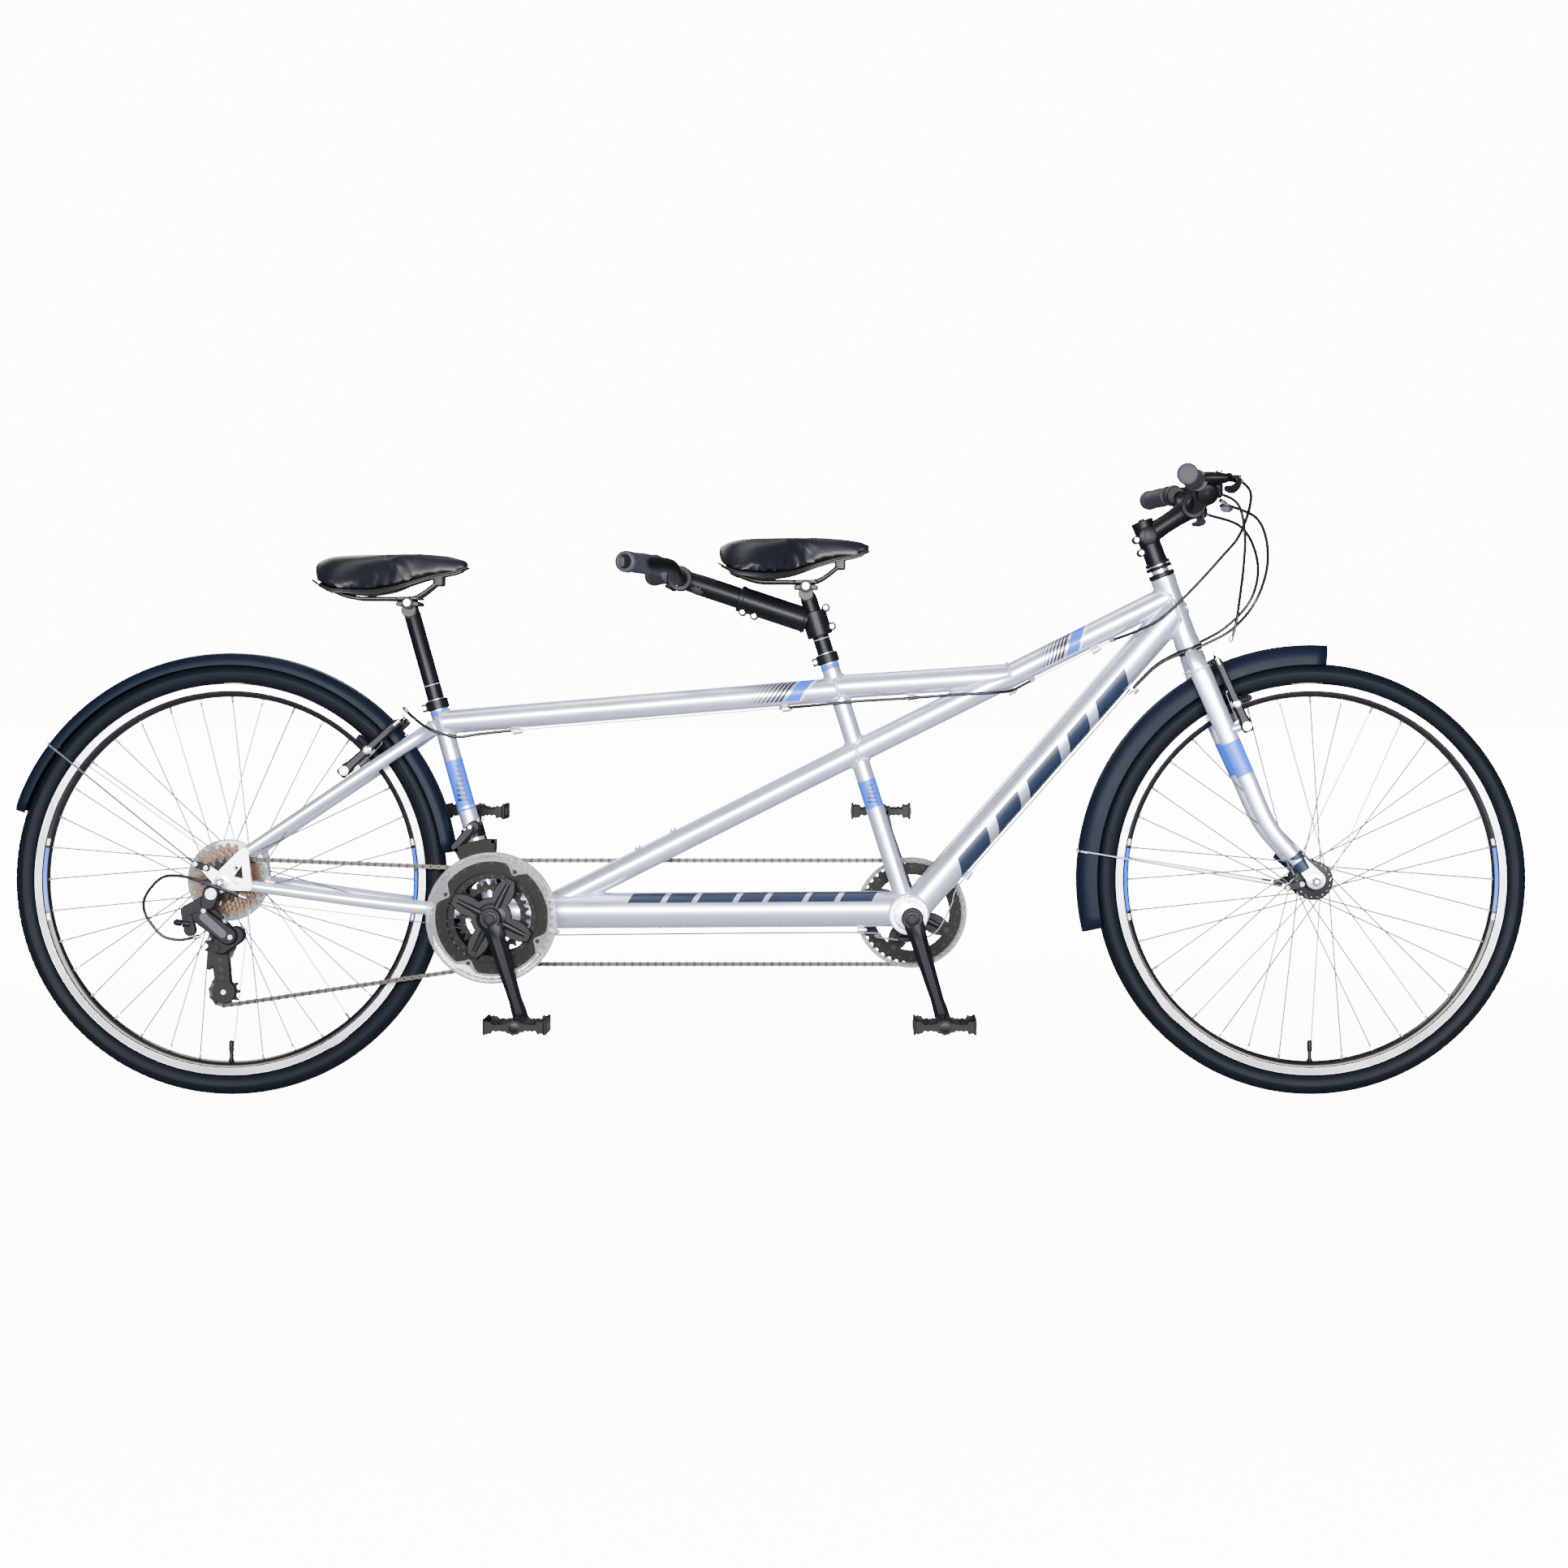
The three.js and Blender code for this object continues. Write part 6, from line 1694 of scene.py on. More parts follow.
def puff(piece, cap=0.005, pressure=4.0, frames=20):
    """Remeshes and inflates a pad as cloth, then keeps every point within cap of where it began."""
    mesh = piece.modifiers.new("grid", "REMESH")
    mesh.mode = "VOXEL"
    mesh.voxel_size = 0.005
    view_layer = bpy.context.view_layer
    view_layer.objects.active = piece
    bpy.ops.object.modifier_apply(modifier=mesh.name)
    start = np.array([v.co for v in piece.data.vertices])
    cloth = piece.modifiers.new("padding", "CLOTH")
    cloth.settings.use_pressure = True
    cloth.settings.uniform_pressure_force = pressure
    cloth.settings.effector_weights.gravity = 0.0
    cloth.settings.tension_stiffness = 40
    cloth.settings.compression_stiffness = 40
    cloth.point_cache.frame_start = 1
    cloth.point_cache.frame_end = frames
    for step in range(1, frames + 1):
        bpy.context.scene.frame_set(step)
    bpy.ops.object.modifier_apply(modifier=cloth.name)
    bpy.context.scene.frame_set(1)
    end = np.array([v.co for v in piece.data.vertices])
    shift = end - start
    size = np.linalg.norm(shift, axis=1, keepdims=True)
    end = start + shift * np.minimum(1, cap / np.maximum(size, 1e-9))
    piece.data.vertices.foreach_set("co", end.ravel())
    smoother = piece.modifiers.new("soften", "SMOOTH")
    smoother.iterations = 3
    smoother.factor = 0.4
    bpy.ops.object.modifier_apply(modifier=smoother.name)
    finer = piece.modifiers.new("finer", "SUBSURF")
    finer.levels = finer.render_levels = 1
    bpy.ops.object.modifier_apply(modifier=finer.name)
    piece.data.shade_smooth()


def add_saddle(who, seat):
    """The padded cover, and the moulded shell and edging below it."""
    pad = saddle_start(who + "_saddle_pad", seat)
    puff(pad)
    pad.data.materials.clear()
    pad.data.materials.append(MATERIALS["vinyl"])
    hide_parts(who + "_saddle")
    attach(pad, who + "_seat")

    form = Form()
    along = np.linspace(SADDLE_FROM + 0.02, SADDLE_TO - 0.02, 60)
    for side in (-1, 1):
        edge = []
        for s in along:
            half = saddle_width(s) * 0.93
            edge.append([seat["rear"] + s * SADDLE_LENGTH, side * half, saddle_skirt(s, seat) + 4.5])
        form.put("saddle_base", sweep(edge, 1.8, sides=10))
    rows = []
    for s in along[3:-2]:
        half = saddle_width(s) * 0.88
        low = saddle_skirt(s, seat) + 2
        x = seat["rear"] + s * SADDLE_LENGTH
        upper = [[x, half * u, low + 7.5 * (1 - u * u) ** 0.6 + 1] for u in np.linspace(-1, 1, 15)]
        lower = [[x, half * u, low + 7.5 * (1 - u * u) ** 0.6 - 1.2] for u in np.linspace(1, -1, 15)]
        rows.append(upper + lower)
    form.put("saddle_base", skin(rows))
    form.build(who + "_saddle_shell", who + "_seat", ())


def add_seatpost(who, seat):
    """Post, two-bolt clamp and the pair of rails, with their sockets in the saddle's base."""
    low, high, _ = seat["post"]
    axis = unit(high - low)
    head = high + axis * seat["rise"]
    rear, rail, nose = seat["rear"], seat["rail"], seat["nose"]
    form = Form()
    form.put("black_alloy",
             sweep([high - axis * 120, head - axis * 14, head - axis * 6], [13.6, 13.6, 12], sides=40))
    for k in range(7):
        mark = high + axis * (24 + k * 7)
        form.put("pale_transfer" if k == 0 else "black_alloy",
                 turned([(0, 13.63), (0.5, 13.63)], mark, axis, 40))
    for side in (-1, 1):
        path = smooth([(rear + 34, side * 34, rail + 14), (rear + 52, side * 29, rail + 6),
                       (rear + 74, side * 23, rail + 0.6), (rear + 110, side * 22, rail),
                       (rear + 150, side * 21, rail), (rear + 172, side * 18, rail + 4),
                       (rear + 203, side * 11, nose + 12)], 5)
        form.put("black_metal_rail", sweep(path, 3.5, sides=16))
        form.put("saddle_base", sweep([path[0] + [-5, side * 3, 5], path[1]], [7.5, 5], sides=16))
    form.put("saddle_base", block((rear + 194, -15, nose + 5), (rear + 212, 15, nose + 26), 4))
    centre = np.array([head[0], 0, rail - 3])
    for top, bottom in ((6.5, 1.2), (-1.2, -9)):
        rows = []
        for y in (-27, -25.5, 25.5, 27):
            soft = 1.5 if abs(y) > 26 else 0
            loop = [centre + [x, y, z] for x, z in ((-19 + soft, bottom + soft * 0.4),
                                                    (19 - soft, bottom + soft * 0.4),
                                                    (19 - soft, top - 2 - soft), (13, top - soft),
                                                    (-13, top - soft), (-19 + soft, top - 2 - soft))]
            rows.append(loop)
        form.put("bronze_clamp", skin(rows))
    form.put("bronze_clamp",
             turned([(-15, 11), (-14, 12.4), (14, 12.4), (15, 11)], centre - [0, 0, 15], ACROSS, 40))
    for side in (-1, 1):
        form.put("dark_steel_and_hole_shade",
                 turned([(27, 9.5), (28.2, 9.5), (28.8, 8.6)], centre - [0, 0, 4], ACROSS * side, 30))
        nut(form, "polished", centre - [0, 0, 4] + ACROSS * side * 28.4, ACROSS * side, 6.2, 4.6, 3)
    for k in range(14):
        turn = np.pi * (1.1 + 0.8 * k / 13)
        arm = np.array([math.cos(turn), 0, math.sin(turn)]) * 12.4
        form.put("bronze_clamp",
                 sweep([centre - [0, 14, 15] + arm, centre - [0, -14, 15] + arm], 0.7, sides=6))
    form.build(who + "_seatpost_clamped", who + "_seat", (who + "_seatpost",))


# ---------------------------------------------------------------- handlebars


def bar_path(clamp, half, rise, back):
    """The middle line of a riser bar, from one end to the other."""
    side = []
    for s in (-1, 1):
        points = [(0, s * 32, 0), (0, s * 56, 0), (-2, s * 100, 0.35 * rise), (-8, s * 150, 0.95 * rise),
                  (-back * 0.6, s * 215, rise), (-back, s * half, rise)]
        side.append([clamp + np.array(p) for p in points])
    return smooth(side[0][::-1] + [clamp] + side[1], 6)


def grip(form, inner, outer):
    """A moulded grip: flange, ribbed middle, palm swell and a domed, ringed end."""
    way = unit(outer - inner)
    length = np.linalg.norm(outer - inner)
    profile = [(0, 14.4), (0.8, 16.4), (4.5, 16.8), (6, 15.4)]
    count = 34
    for k in range(count):
        along = 9 + (length - 34) * k / (count - 1)
        swell = 15.2 + 1.2 * math.sin(math.pi * k / (count - 1))
        groove = 0.55 if k % 2 else 0
        profile += [(along, swell - groove), (along + 1.0, swell - groove)]
    profile += [(length - 22, 16.4), (length - 8, 16.9), (length - 3.5, 16.5), (length - 1.2, 14.6),
                (length - 0.2, 11.5), (length - 0.8, 9.6), (length - 0.2, 8.0), (length, 4.6)]
    form.put("grip", turned(profile, inner, way, 48))
    first, second = square_to(way)
    for k in range(16):
        angle = 2 * np.pi * k / 16
        arm = first * math.cos(angle) + second * math.sin(angle)
        start = inner + way * (length - 20) + arm * 16.2
        form.put("grip", sweep([start, start + way * 11], 0.8, sides=6))


def bar_clamp(form, clamp, radius=20.5, half=21.0, kind="black_alloy", split=(1, 0, -0.2)):
    """The barrel that holds the bar, with a split and two bolts below."""
    profile = [(-half, radius - 1.6), (-half + 1.6, radius), (half - 1.6, radius), (half, radius - 1.6),
               (half, 13.1), (-half, 13.1)]
    form.put(kind, turned(profile, clamp, ACROSS, 48, ring=True))
    way = unit(np.array(split, float))
    down = np.array([-way[2], 0, way[0]])
    for side in (-1, 1):
        for reach in (0.92,):
            spot = clamp + way * radius * reach - down * 8 + ACROSS * side * 12
            form.put(kind, turned([(-7, 5.4), (8, 5.4)], spot, down, 24))
            bolt(form, "dark_steel_and_hole_shade", spot + down * 8, down, 3.8, 2.6)


def add_captain_front():
    """The captain's stem and the bar with its grips and controls."""
    clamp = np.array([683.0, 0, 953])
    top_cup = STEER_BASE + STEER_UP * 134.5
    form = Form()
    top = STEER_BASE + STEER_UP * 214
    column = [(8, 20.2), (8.6, 18), (16, 17.5), (70, 17.5), (78, 18.3), (79.5, 17)]
    form.put("black_alloy", turned([(0, 20.6), (1, 21.2), (5.4, 21.2), (6, 20.4)], top_cup, STEER_UP, 56))
    form.put("polished", turned([(6.2, 20.2), (7.2, 20.2)], top_cup, STEER_UP, 56))
    form.put("black_alloy", turned([(7.4, 20.4), (12, 20.4), (12.6, 19.6)], top_cup, STEER_UP, 56))
    form.put("black_alloy", turned(column, top_cup + STEER_UP * 4, STEER_UP, 56))
    cap = top_cup + STEER_UP * 79
    form.put("black_alloy", turned([(0, 17), (3, 17), (4.5, 15)], cap, STEER_UP, 48))
    bolt(form, "dark_steel_and_hole_shade", cap + STEER_UP * 4.3, STEER_UP, 5.4, 3)
    neck_start = top - STEER_UP * 22
    neck = smooth([neck_start, neck_start * 0.6 + clamp * 0.4, clamp - unit(clamp - neck_start) * 12], 8)
    t = np.linspace(0, 1, len(neck))
    form.put("black_alloy", sweep(neck, 17.6 - 3 * np.sin(np.pi * t) * 0.8, 16.2 - 1.5 * t, UP, 40))
    bar_clamp(form, clamp)
    for down in (22, 44):
        spot = top - STEER_UP * down - STEER_FORE * 19
        form.put("black_alloy", turned([(-12, 5.6), (-11, 6.6), (11, 6.6), (12, 5.6)], spot, ACROSS, 28))
        form.put("black_alloy", sweep([spot, spot + STEER_FORE * 8], [6.4, 8], sides=16))
        bolt(form, "polished", spot - ACROSS * 12, -ACROSS, 4.0, 2.6)
    hinge = neck_start
    form.put("black_alloy", turned([(-19.5, 11), (-18, 14.6), (18, 14.6), (19.5, 11)], hinge, ACROSS, 44))
    bolt(form, "dark_steel_and_hole_shade", hinge - ACROSS * 19, -ACROSS, 6.6, 2.2)
    form.build("captain_stem_clamped", "steering", ("captain_stem",))

    form = Form()
    path = bar_path(clamp, 300, 30, 42)
    form.put("black_alloy", sweep(path, 11.4 + 1.3 * np.exp(-((path[:, 1] / 60) ** 6)), sides=32))
    for side in (-1, 1):
        inner = clamp + [-42 * 0.42, side * 175, 29.7]
        outer = clamp + [-42, side * 300, 30]
        grip(form, inner, outer)
        add_controls(form, side)
    form.build("captain_bar_dressed", "steering", ("captain_bar",))


def add_controls(form, side):
    """Brake perch, its hinge and barrel adjuster, and the shifter pod with its gear window."""
    bar = np.array([670.0, side * 166, 982])
    form.put("black_alloy", turned([(-9, 16.6), (-8, 17.6), (8, 17.6), (9, 16.6)], bar, ACROSS, 40))
    rows = []
    for x, wide, low, high in ((678, 12, 976, 996), (690, 15, 976, 997), (706, 16.5, 977, 996),
                               (718, 14, 979, 994), (722, 9, 981, 992)):
        rows.append([[x, side * 164 + wide * math.cos(a),
                      (low + high) / 2 + (high - low) / 2 * math.sin(a)]
                     for a in np.linspace(0, 2 * np.pi, 20, endpoint=False)])
    form.put("black_plastic", skin(rows))
    bolt(form, "polished", (706, side * 166, 996), UP, 4.6, 2.0, collar=6)
    adjuster = np.array([716.0, side * 157, 988])
    way = unit([22, -7 * side, 1.5])
    form.put("black_plastic", turned([(0, 4.8), (3, 4.8), (3.4, 6.4), (11, 6.4), (12, 5.4), (12, 4),
                                      (20, 3.6)], adjuster, way, 24))
    first, second = square_to(way)
    for k in range(12):
        arm = (first * math.cos(k * np.pi / 6) + second * math.sin(k * np.pi / 6)) * 6.4
        form.put("black_plastic",
                 sweep([adjuster + way * 4 + arm, adjuster + way * 10.6 + arm], 0.6, sides=6))
    form.put("polished", turned([(20, 3.4), (27, 3.2)], adjuster, way, 18))
    pod = np.array([686.0, side * 140, 968])
    form.put("black_plastic",
             turned([(-12, 14), (-11, 15.4), (11, 15.4), (12, 14)], (671, side * 140, 980), ACROSS, 40))
    axis = unit([4, 28 * side, -10])
    form.put("black_plastic",
             turned([(-2, 15), (0, 19.4), (3, 20), (19, 18.6), (24, 16), (26, 11)], pod, axis, 44))
    form.put("slate_plastic", turned([(2, 19.2), (6, 20.3), (12, 20.1), (15, 18.6)], pod, axis, 44))
    form.put("black_plastic", block((694, side * 130 - 10, 958), (716, side * 130 + 12, 982), 5))
    window = sweep([(697, side * 128, 984), (713, side * 128, 983)], 6.5, 9, UP, 20)
    form.put("slate_plastic", window)
    form.put("dark_steel_and_hole_shade", turned([(24, 7), (26.4, 6.4), (27, 5)], pod, axis, 24))
    exit_at = np.array([712.0, side * 130, 954])
    form.put("polished", turned([(0, 3.6), (11, 3.4)], exit_at, unit([10, -6 * side, -4]), 18))


def add_levers():
    """Brake levers and shift levers."""
    for word, side in (("left", 1), ("right", -1)):
        form = Form()
        path = smooth([(727, side * 166, 986), (733, side * 178, 982), (733, side * 192, 976),
                       (722, side * 225, 966), (710, side * 256, 962), (706, side * 271, 962)], 4)
        t = np.linspace(0, 1, len(path))
        form.put("black_alloy",
                 sweep(path, 5.6 + 1.6 * np.sin(np.pi * t) ** 2, 3.4 + 1.6 * (1 - t), UP, 24))
        form.put("black_alloy",
                 turned([(-5, 6), (-4, 7), (4, 7), (5, 6)], (730, side * 168, 985), UP, 28))
        tip = path[-1]
        form.put("black_alloy", turned([(-4.5, 4.2), (0, 6.4), (4.5, 4.2)], tip, UP, 24))
        form.build("brake_lever_" + word + "_forged", "brake_lever_" + word, ("brake_lever_" + word,))
        form = Form()
        blade = smooth([(713, side * 152, 944), (717, side * 168, 939), (716, side * 184, 936),
                        (711, side * 197, 936)], 4)
        t = np.linspace(0, 1, len(blade))
        form.put("slate_plastic", sweep(blade, 3.6 + 0.6 * t, 6 + 3.5 * np.sin(np.pi * t * 0.8), UP, 22))
        for k in range(4):
            spot = blade[int(len(blade) * (0.55 + 0.1 * k))]
            form.put("black_plastic", sweep([spot + [-5, 0, -3.7], spot + [5, 0, -3.7]], 0.8, sides=8))
        form.build("shift_lever_" + word + "_moulded", "shift_lever_" + word, ("shift_lever_" + word,))


def add_stoker_front():
    """The stoker's stem, bar and grips."""
    low, high, _ = FRONT_SEAT
    axis = unit(high - low)
    post = high + axis * 50
    clamp = np.array([-147.0, 0, 836])
    slope = unit(clamp - post)
    form = Form()
    collar = [(-21, 19.4), (-19.5, 20.9), (19.5, 20.9), (21, 19.4), (21, 14), (-21, 14)]
    form.put("black_alloy", turned(collar, post, axis, 56, ring=True))
    outer = [(16, 20.6), (124, 20.6), (125, 21.6), (131, 21.6), (132, 20.4), (132, 17.6), (16, 17.6)]
    form.put("black_alloy", turned(outer, post, slope, 56, ring=True))
    form.put("black_alloy", bead(turned_loop(post + slope * 20.5, slope, 20.6), 1.8))
    below = np.cross(slope, ACROSS)
    below = below if below[2] < 0 else -below
    for along in (100, 120):
        lug = post + slope * along + below * 20
        form.put("black_alloy", turned([(-10, 5.6), (-9, 6.8), (9, 6.8), (10, 5.6)], lug, ACROSS, 26))
        bolt(form, "polished", lug - ACROSS * 10, -ACROSS, 3.9, 2.6)
        nut(form, "polished", lug + ACROSS * 10, ACROSS, 4.2, 3)
    for spot in ((post[0] + 15, 26), (post[0] + 25, -4)):
        lug = np.array([spot[0], 0, post[2] + spot[1]])
        form.put("black_alloy", turned([(-10, 5.6), (-9, 6.8), (9, 6.8), (10, 5.6)], lug, ACROSS, 26))
        bolt(form, "polished", lug - ACROSS * 10, -ACROSS, 3.9, 2.6)
        nut(form, "polished", lug + ACROSS * 10, ACROSS, 4.2, 3)
    form.build("stoker_stem_clamp_split", "captain_seat", ("stoker_stem_clamp",))

    form = Form()
    start, end = post + slope * 62, clamp - slope * 8
    neck = [start, start * 0.2 + end * 0.8, end]
    form.put("black_alloy", sweep(neck, [17.2, 17.2, 16], sides=44))
    bar_clamp(form, clamp, 20.5, 21.0, split=(-0.5, 0, -0.9))
    form.put("black_alloy", turned([(-15, 10), (-14, 12.5), (14, 12.5), (15, 10)],
                                   clamp - slope * 31 - UP * 5, ACROSS, 32))
    bolt(form, "dark_steel_and_hole_shade", clamp - slope * 31 - UP * 5 - ACROSS * 15, -ACROSS, 5.4, 2)
    form.build("stoker_stem_slider_clamped", "stoker_bars", ("stoker_stem_slider",))

    form = Form()
    path = bar_path(clamp, 280, 15, 66)
    form.put("black_alloy", sweep(path, 11.4 + 1.3 * np.exp(-((path[:, 1] / 60) ** 6)), sides=32))
    for side in (-1, 1):
        grip(form, clamp + [-66 * 0.42, side * 155, 14.9], clamp + [-66, side * 280, 15])
    form.build("stoker_bar_gripped", "stoker_bars", ("stoker_bar",))


def turned_loop(centre, axis, radius, sides=48):
    """A circle of points round an axis."""
    first, second = square_to(axis)
    turn = np.arange(sides) * 2 * np.pi / sides
    return centre + np.outer(np.cos(turn) * radius, first) + np.outer(np.sin(turn) * radius, second)


# ---------------------------------------------------------------- cables

JACKET, WIRE = 2.5, 0.8


def ferrule(form, point, way, length=11):
    """The metal cap on the end of a cable housing."""
    way = unit(way)
    form.put("polished",
             turned([(0, 3.5), (length - 3, 3.5), (length - 2.4, 3.0), (length, 2.9)], point, way, 16))


def under_down_tube(distance, out):
    """A point below the down tube, this far along it and this far out from its middle line."""
    low, high, _ = DOWN
    axis = unit(high - low)
    return low + axis * distance + np.array([axis[2], 0, -axis[0]]) * out


def below(tube, start, end):
    """The straight run of a cable below a tube, between two places along X."""
    low, high, radius = tube
    down = square_to(high - low, -UP)[0]
    spots = [low + (high - low) * (x - low[0]) / (high[0] - low[0]) for x in np.linspace(start, end, 4)]
    return [spot + down * (radius + 3.0) for spot in spots]


def add_cables():
    """Brake cables: housings, caps and bare wires."""
    form = Form()
    route = smooth([(738, 150, 988), (772, 120, 966), (776, 60, 915), (764, -20, 860), (752, -58, 800),
                    (745, -68, 762), (738, -68, 735)], 5)
    form.put("cable", sweep(route, JACKET, sides=14))
    ferrule(form, route[0], route[3] - route[0])
    ferrule(form, route[-1] + [0, 0, 6], route[-1] - route[-3], 10)
    form.build("front_brake_cable_routed", "steering", ("front_brake_cable",))

    first = below(DIAGONAL_FRONT, 543, 410)
    last = below(REAR_TOP, 20, -424)
    brake = smooth([(738, -150, 988), (762, -120, 962), (750, -84, 905), (721, -62, 866), (672, -42, 811),
                    (628, -31, 770), (590, -17, 750), first[0] + [4, 0, 2]], 5)
    form = Form()
    form.put("cable", sweep(brake, JACKET, sides=14))
    ferrule(form, brake[0], brake[3] - brake[0])
    piece = form.build("brake_cable_front_routed", None, ("brake_cable_front",))
    blend_over_steering(piece)

    stop = under_down_tube(515, 31.5)
    form = Form()
    for side in (-1, 1):
        if side < 0:
            points = [(716, -128, 950), (776, -100, 925), (797, -60, 866), (784, -30, 803),
                      (745, -38, 755), (697, -36, 728)]
        else:
            points = [(716, 128, 950), (776, 100, 925), (797, 60, 866), (784, 34, 806), (745, 44, 760),
                      (697, 36, 732)]
        gear = smooth(points + [(632, side * 20, 700), (stop[0], side * 6, stop[2])], 5)
        form.put("cable", sweep(gear, JACKET, sides=14))
        ferrule(form, gear[0], gear[3] - gear[0])
    axis = unit(DOWN[0] - DOWN[1])
    form.put("paint", sweep([stop - axis * 5, stop + axis * 5], 5.4, 11, ACROSS, sides=24))
    for side in (-1, 1):
        ferrule(form, stop + ACROSS * side * 6 + axis * 4, axis, 8)
    piece = form.build("gear_cables_front_routed", None, ("gear_cables_front",))
    blend_over_steering(piece)

    form = Form()
    middle = [first[-1], (388, -10, 654), (366, -20, 652), (340, -25, 650), (300, -23.5, 648),
              (262, -17, 645), (205, -9, 641), (152, -18, 638), (115, -20.5, 635), (76, -17, 631),
              last[0]]
    tail = [last[-1], (-472, -15, 584), (-507, -22, 580), (-548, -30, 592), (-572, -52, 612),
            (-580, -66, 622)]
    for bare in (first, last):
        form.put("steel_wire", sweep(smooth(bare, 20), WIRE, sides=8))
    for points in (middle, tail):
        housing = smooth(points, 5)
        form.put("cable", sweep(housing, JACKET, sides=14))
        ferrule(form, housing[0], housing[0] - housing[2], 9)
        ferrule(form, housing[-1], housing[-1] - housing[-3], 9)
    ferrule(form, brake[-1], brake[-1] - brake[-3], 9)
    form.build("brake_cable_rear_routed", "frame", ("brake_cable_rear",))
    add_gear_runs()


def blend_over_steering(piece):
    """A cable that starts on the bars and ends on the frame: its placement is baked into its points, and it
    rides on no body.
    """
    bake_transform(piece)


def add_gear_runs():
    """The two gear cables, under the frame and on to the derailleurs."""
    form = Form()
    for side in (-1, 1):
        under = [under_down_tube(d, 30) + ACROSS * side * 6 for d in (506, 440, 260, 96)]
        under += [(292, side * 7, 306), (266, side * 7, 262), (224, side * 7, 250), (170, side * 7, 255),
                  (131, side * 7, 262)]
        if side < 0:
            rest = [(-370, -7, 258), (-440, -9, 257), (-520, -30, 276), (-640, -48, 292),
                    (-780, -63, 312), (-835, -82, 325)]
            housing = [(-835, -82, 325), (-887, -94, 346), (-929, -92, 359), (-965, -88, 357),
                       (-992, -84, 328), (-995, -80, 303), (-982, -77, 279), (-965, -75, 262),
                       (-940, -74, 257), (-912, -74, 262)]
        else:
            rest = [(-370, 7, 258), (-440, 7, 257), (-474, 6, 264), (-494, 0, 294), (-495, -10, 340),
                    (-502, -18, 392), (-498, -22, 422)]
            housing = None
        points = under + rest
        path = smooth(points, 6)
        form.put("steel_wire", sweep(path, WIRE, sides=8))
        if housing is not None:
            loop = smooth(housing, 4)
            form.put("cable", sweep(loop, JACKET, sides=14))
            ferrule(form, loop[0] - unit(loop[2] - loop[0]) * 2, loop[2] - loop[0], 12)
            ferrule(form, loop[-1] - unit(loop[-1] - loop[-3]) * 6, loop[-1] - loop[-3], 12)
    form.put("black_plastic", block((206, -11, 247.6), (232, 11, 256.4), 2.5))
    bolt(form, "polished", (219, 0, 247.8), -UP, 3.4, 2)
    form.build("gear_cables_rear_routed", "frame", ("gear_cables_rear",))


# ---------------------------------------------------------------- studio

CAMERA_DISTANCE = 4.5
CAMERA_SIDE, CAMERA_HEIGHT = 0.165, 0.655
VIEW_WIDTH = 2.5425
VIEW_MIDDLE = (0.021, 0.503)
AMBIENT = 0.22
BACKDROP = 14.0


def add_camera():
    """A long lens on the right side, aimed level and straight across the frame's middle plane."""
    lens = bpy.data.cameras.new("camera")
    lens.sensor_width = 36.0
    lens.lens = 36.0 * CAMERA_DISTANCE / VIEW_WIDTH
    lens.shift_x = (VIEW_MIDDLE[0] - CAMERA_SIDE) / VIEW_WIDTH
    lens.shift_y = (VIEW_MIDDLE[1] - CAMERA_HEIGHT) / VIEW_WIDTH
    camera = bpy.data.objects.new("camera", lens)
    camera.location = (CAMERA_SIDE, -CAMERA_DISTANCE, CAMERA_HEIGHT)
    camera.rotation_euler = (math.pi / 2, 0, 0)
    bpy.context.scene.collection.objects.link(camera)
    bpy.context.scene.camera = camera


def add_light(name, place, target, size, power, colour=(1, 1, 1)):
    """A rectangular area light that points at a target."""
    data = bpy.data.lights.new(name, "AREA")
    data.shape = "RECTANGLE"
    data.size, data.size_y = size
    data.energy = power
    data.color = colour
    light = bpy.data.objects.new(name, data)
    light.location = place
    light.rotation_euler = (Vector(target) - Vector(place)).to_track_quat("-Z", "Y").to_euler()
    bpy.context.scene.collection.objects.link(light)


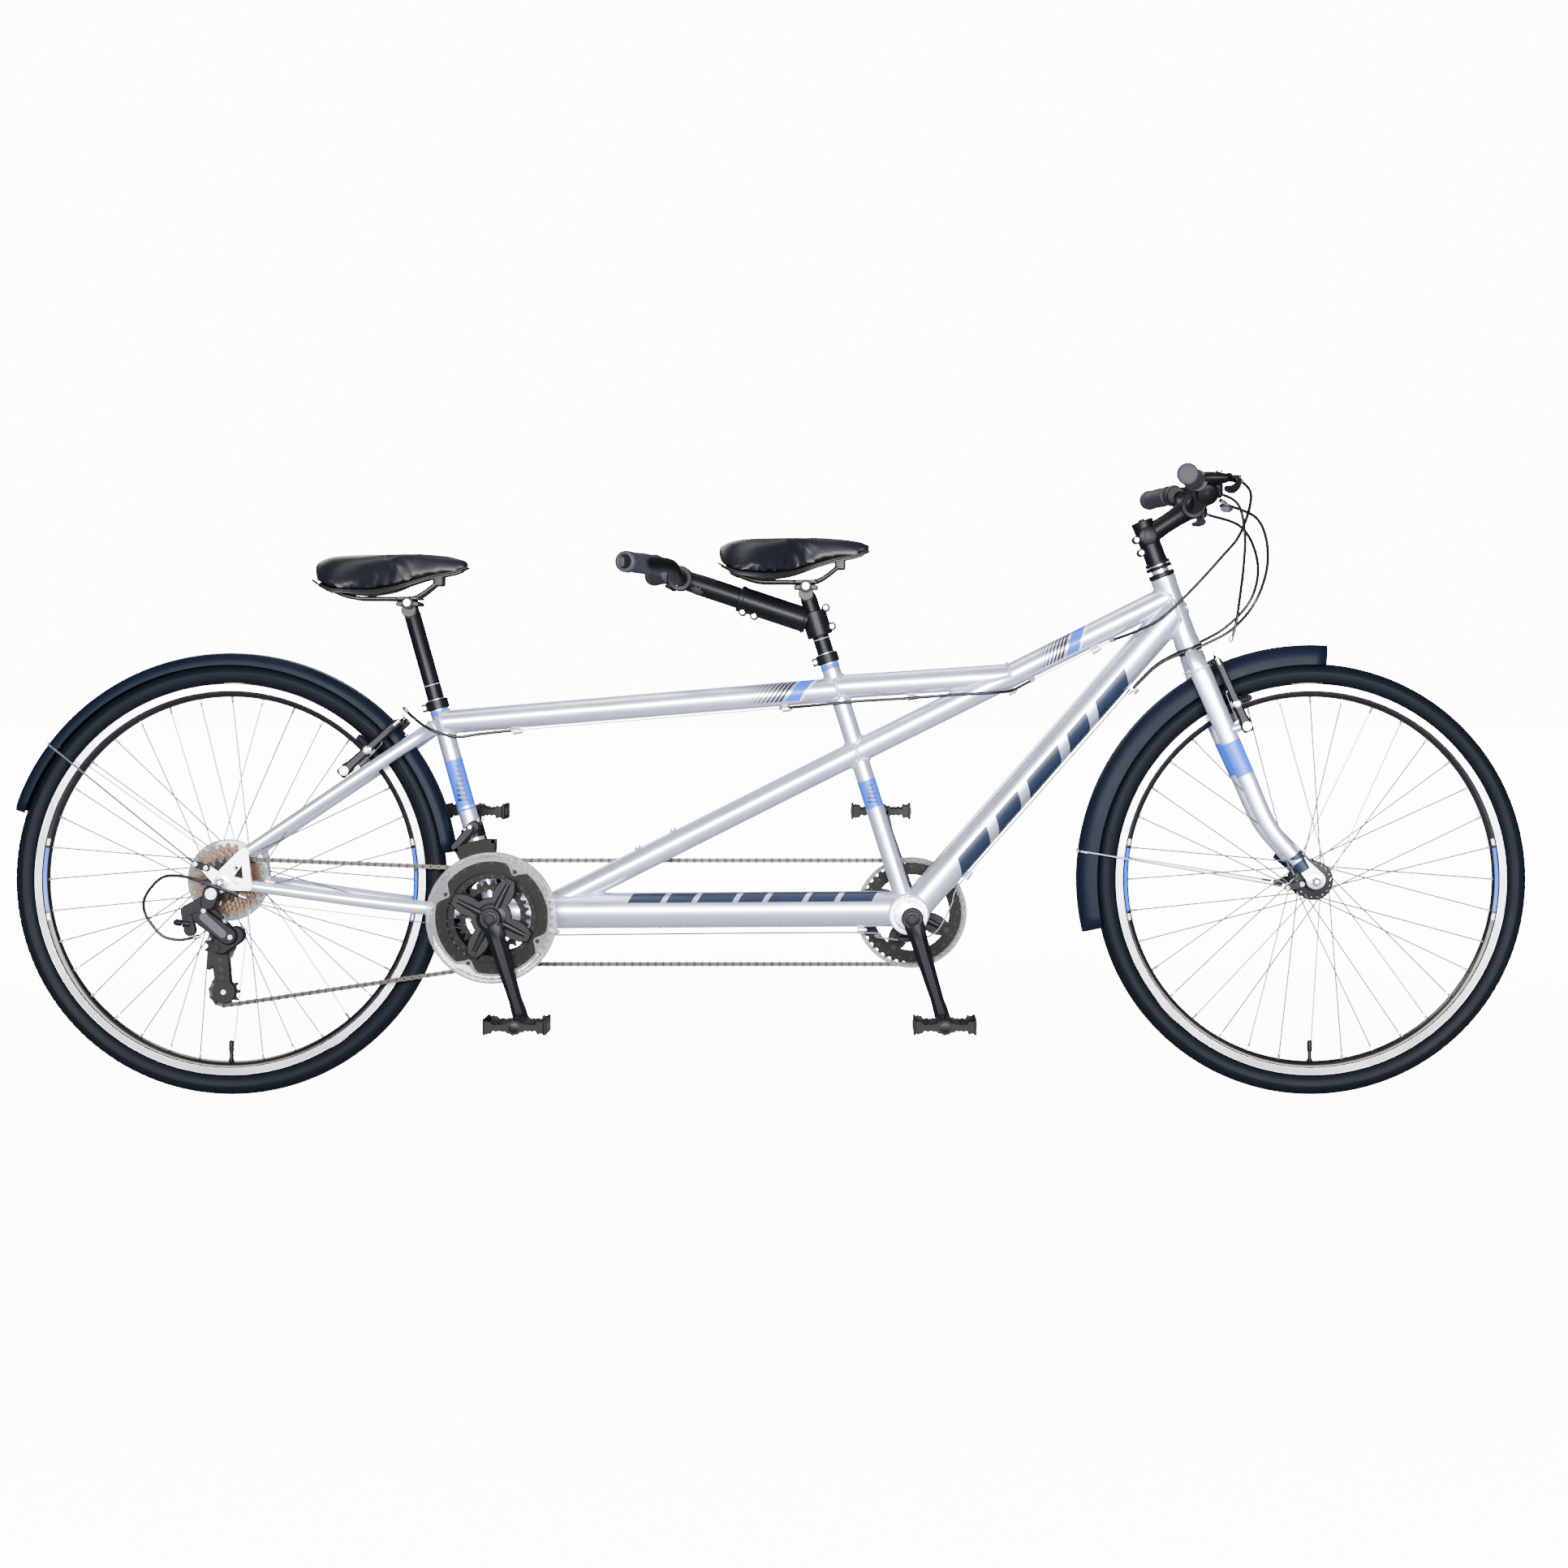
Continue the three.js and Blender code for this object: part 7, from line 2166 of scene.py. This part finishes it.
def add_studio():
    """A pale floor that runs out of sight, a bright even surround and three soft lights."""
    floor = bpy.data.materials.new("floor")
    floor.use_nodes = True
    tree = floor.node_tree
    surface = tree.nodes["Principled BSDF"]
    surface.inputs["Roughness"].default_value = 0.9
    noise = tree.nodes.new("ShaderNodeTexNoise")
    noise.inputs["Scale"].default_value = 3.0
    tones = tree.nodes.new("ShaderNodeValToRGB")
    tones.color_ramp.elements[0].color = (0.30, 0.32, 0.36, 1)
    tones.color_ramp.elements[1].color = (0.33, 0.35, 0.39, 1)
    tree.links.new(noise.outputs["Fac"], tones.inputs["Fac"])
    tree.links.new(tones.outputs["Color"], surface.inputs["Base Color"])
    place = tree.nodes.new("ShaderNodeTexCoord")
    distance = tree.nodes.new("ShaderNodeVectorMath")
    distance.operation = "LENGTH"
    tree.links.new(place.outputs["Object"], distance.inputs[0])
    fade = tree.nodes.new("ShaderNodeMapRange")
    fade.interpolation_type = "SMOOTHSTEP"
    fade.inputs["From Min"].default_value = 0.9
    fade.inputs["From Max"].default_value = 3.2
    fade.inputs["To Min"].default_value = 0.9
    tree.links.new(distance.outputs["Value"], fade.inputs["Value"])
    seen = tree.nodes.new("ShaderNodeLightPath")
    share = tree.nodes.new("ShaderNodeMath")
    share.operation = "MULTIPLY"
    tree.links.new(fade.outputs["Result"], share.inputs[0])
    tree.links.new(seen.outputs["Is Camera Ray"], share.inputs[1])
    glow = tree.nodes.new("ShaderNodeEmission")
    glow.inputs["Strength"].default_value = BACKDROP
    merge = tree.nodes.new("ShaderNodeMixShader")
    tree.links.new(share.outputs[0], merge.inputs["Fac"])
    tree.links.new(surface.outputs["BSDF"], merge.inputs[1])
    tree.links.new(glow.outputs["Emission"], merge.inputs[2])
    tree.links.new(merge.outputs["Shader"], tree.nodes["Material Output"].inputs["Surface"])
    size = 40.0
    mesh = bpy.data.meshes.new("floor")
    mesh.from_pydata([(-size, -size, 0), (size, -size, 0), (size, size, 0), (-size, size, 0)], [],
                     [(0, 1, 2, 3)])
    mesh.materials.append(floor)
    ground = bpy.data.objects.new("floor", mesh)
    bpy.context.scene.collection.objects.link(ground)

    world = bpy.data.worlds.new("surround")
    world.use_nodes = True
    tree = world.node_tree
    background = tree.nodes["Background"]
    background.inputs["Color"].default_value = (0.93, 0.96, 1.0, 1)
    sight = tree.nodes.new("ShaderNodeLightPath")
    strength = tree.nodes.new("ShaderNodeMapRange")
    strength.inputs["To Min"].default_value = AMBIENT
    strength.inputs["To Max"].default_value = BACKDROP
    tree.links.new(sight.outputs["Is Camera Ray"], strength.inputs["Value"])
    tree.links.new(strength.outputs["Result"], background.inputs["Strength"])
    bpy.context.scene.world = world
    add_light("key", (0.3, -5.0, 1.15), (0, 0, 0.5), (5.5, 1.0), 1500)
    add_light("top", (-0.4, 0.2, 4.0), (0, 0, 0.4), (3.6, 1.0), 60)
    add_light("back", (-1.5, 3.0, 2.6), (0, 0, 0.5), (2.4, 1.4), 60)


add_camera()
add_materials()
add_main_frame()
add_stays()
add_fork()
add_wheels()
add_guards()
add_transmission()
add_pulleys()
add_cage()
add_rear_derailleur()
add_front_derailleur()
add_brakes()
for who, seat in SADDLES.items():
    add_saddle(who, seat)
    add_seatpost(who, seat)
add_captain_front()
add_levers()
add_stoker_front()
add_cables()
add_studio()
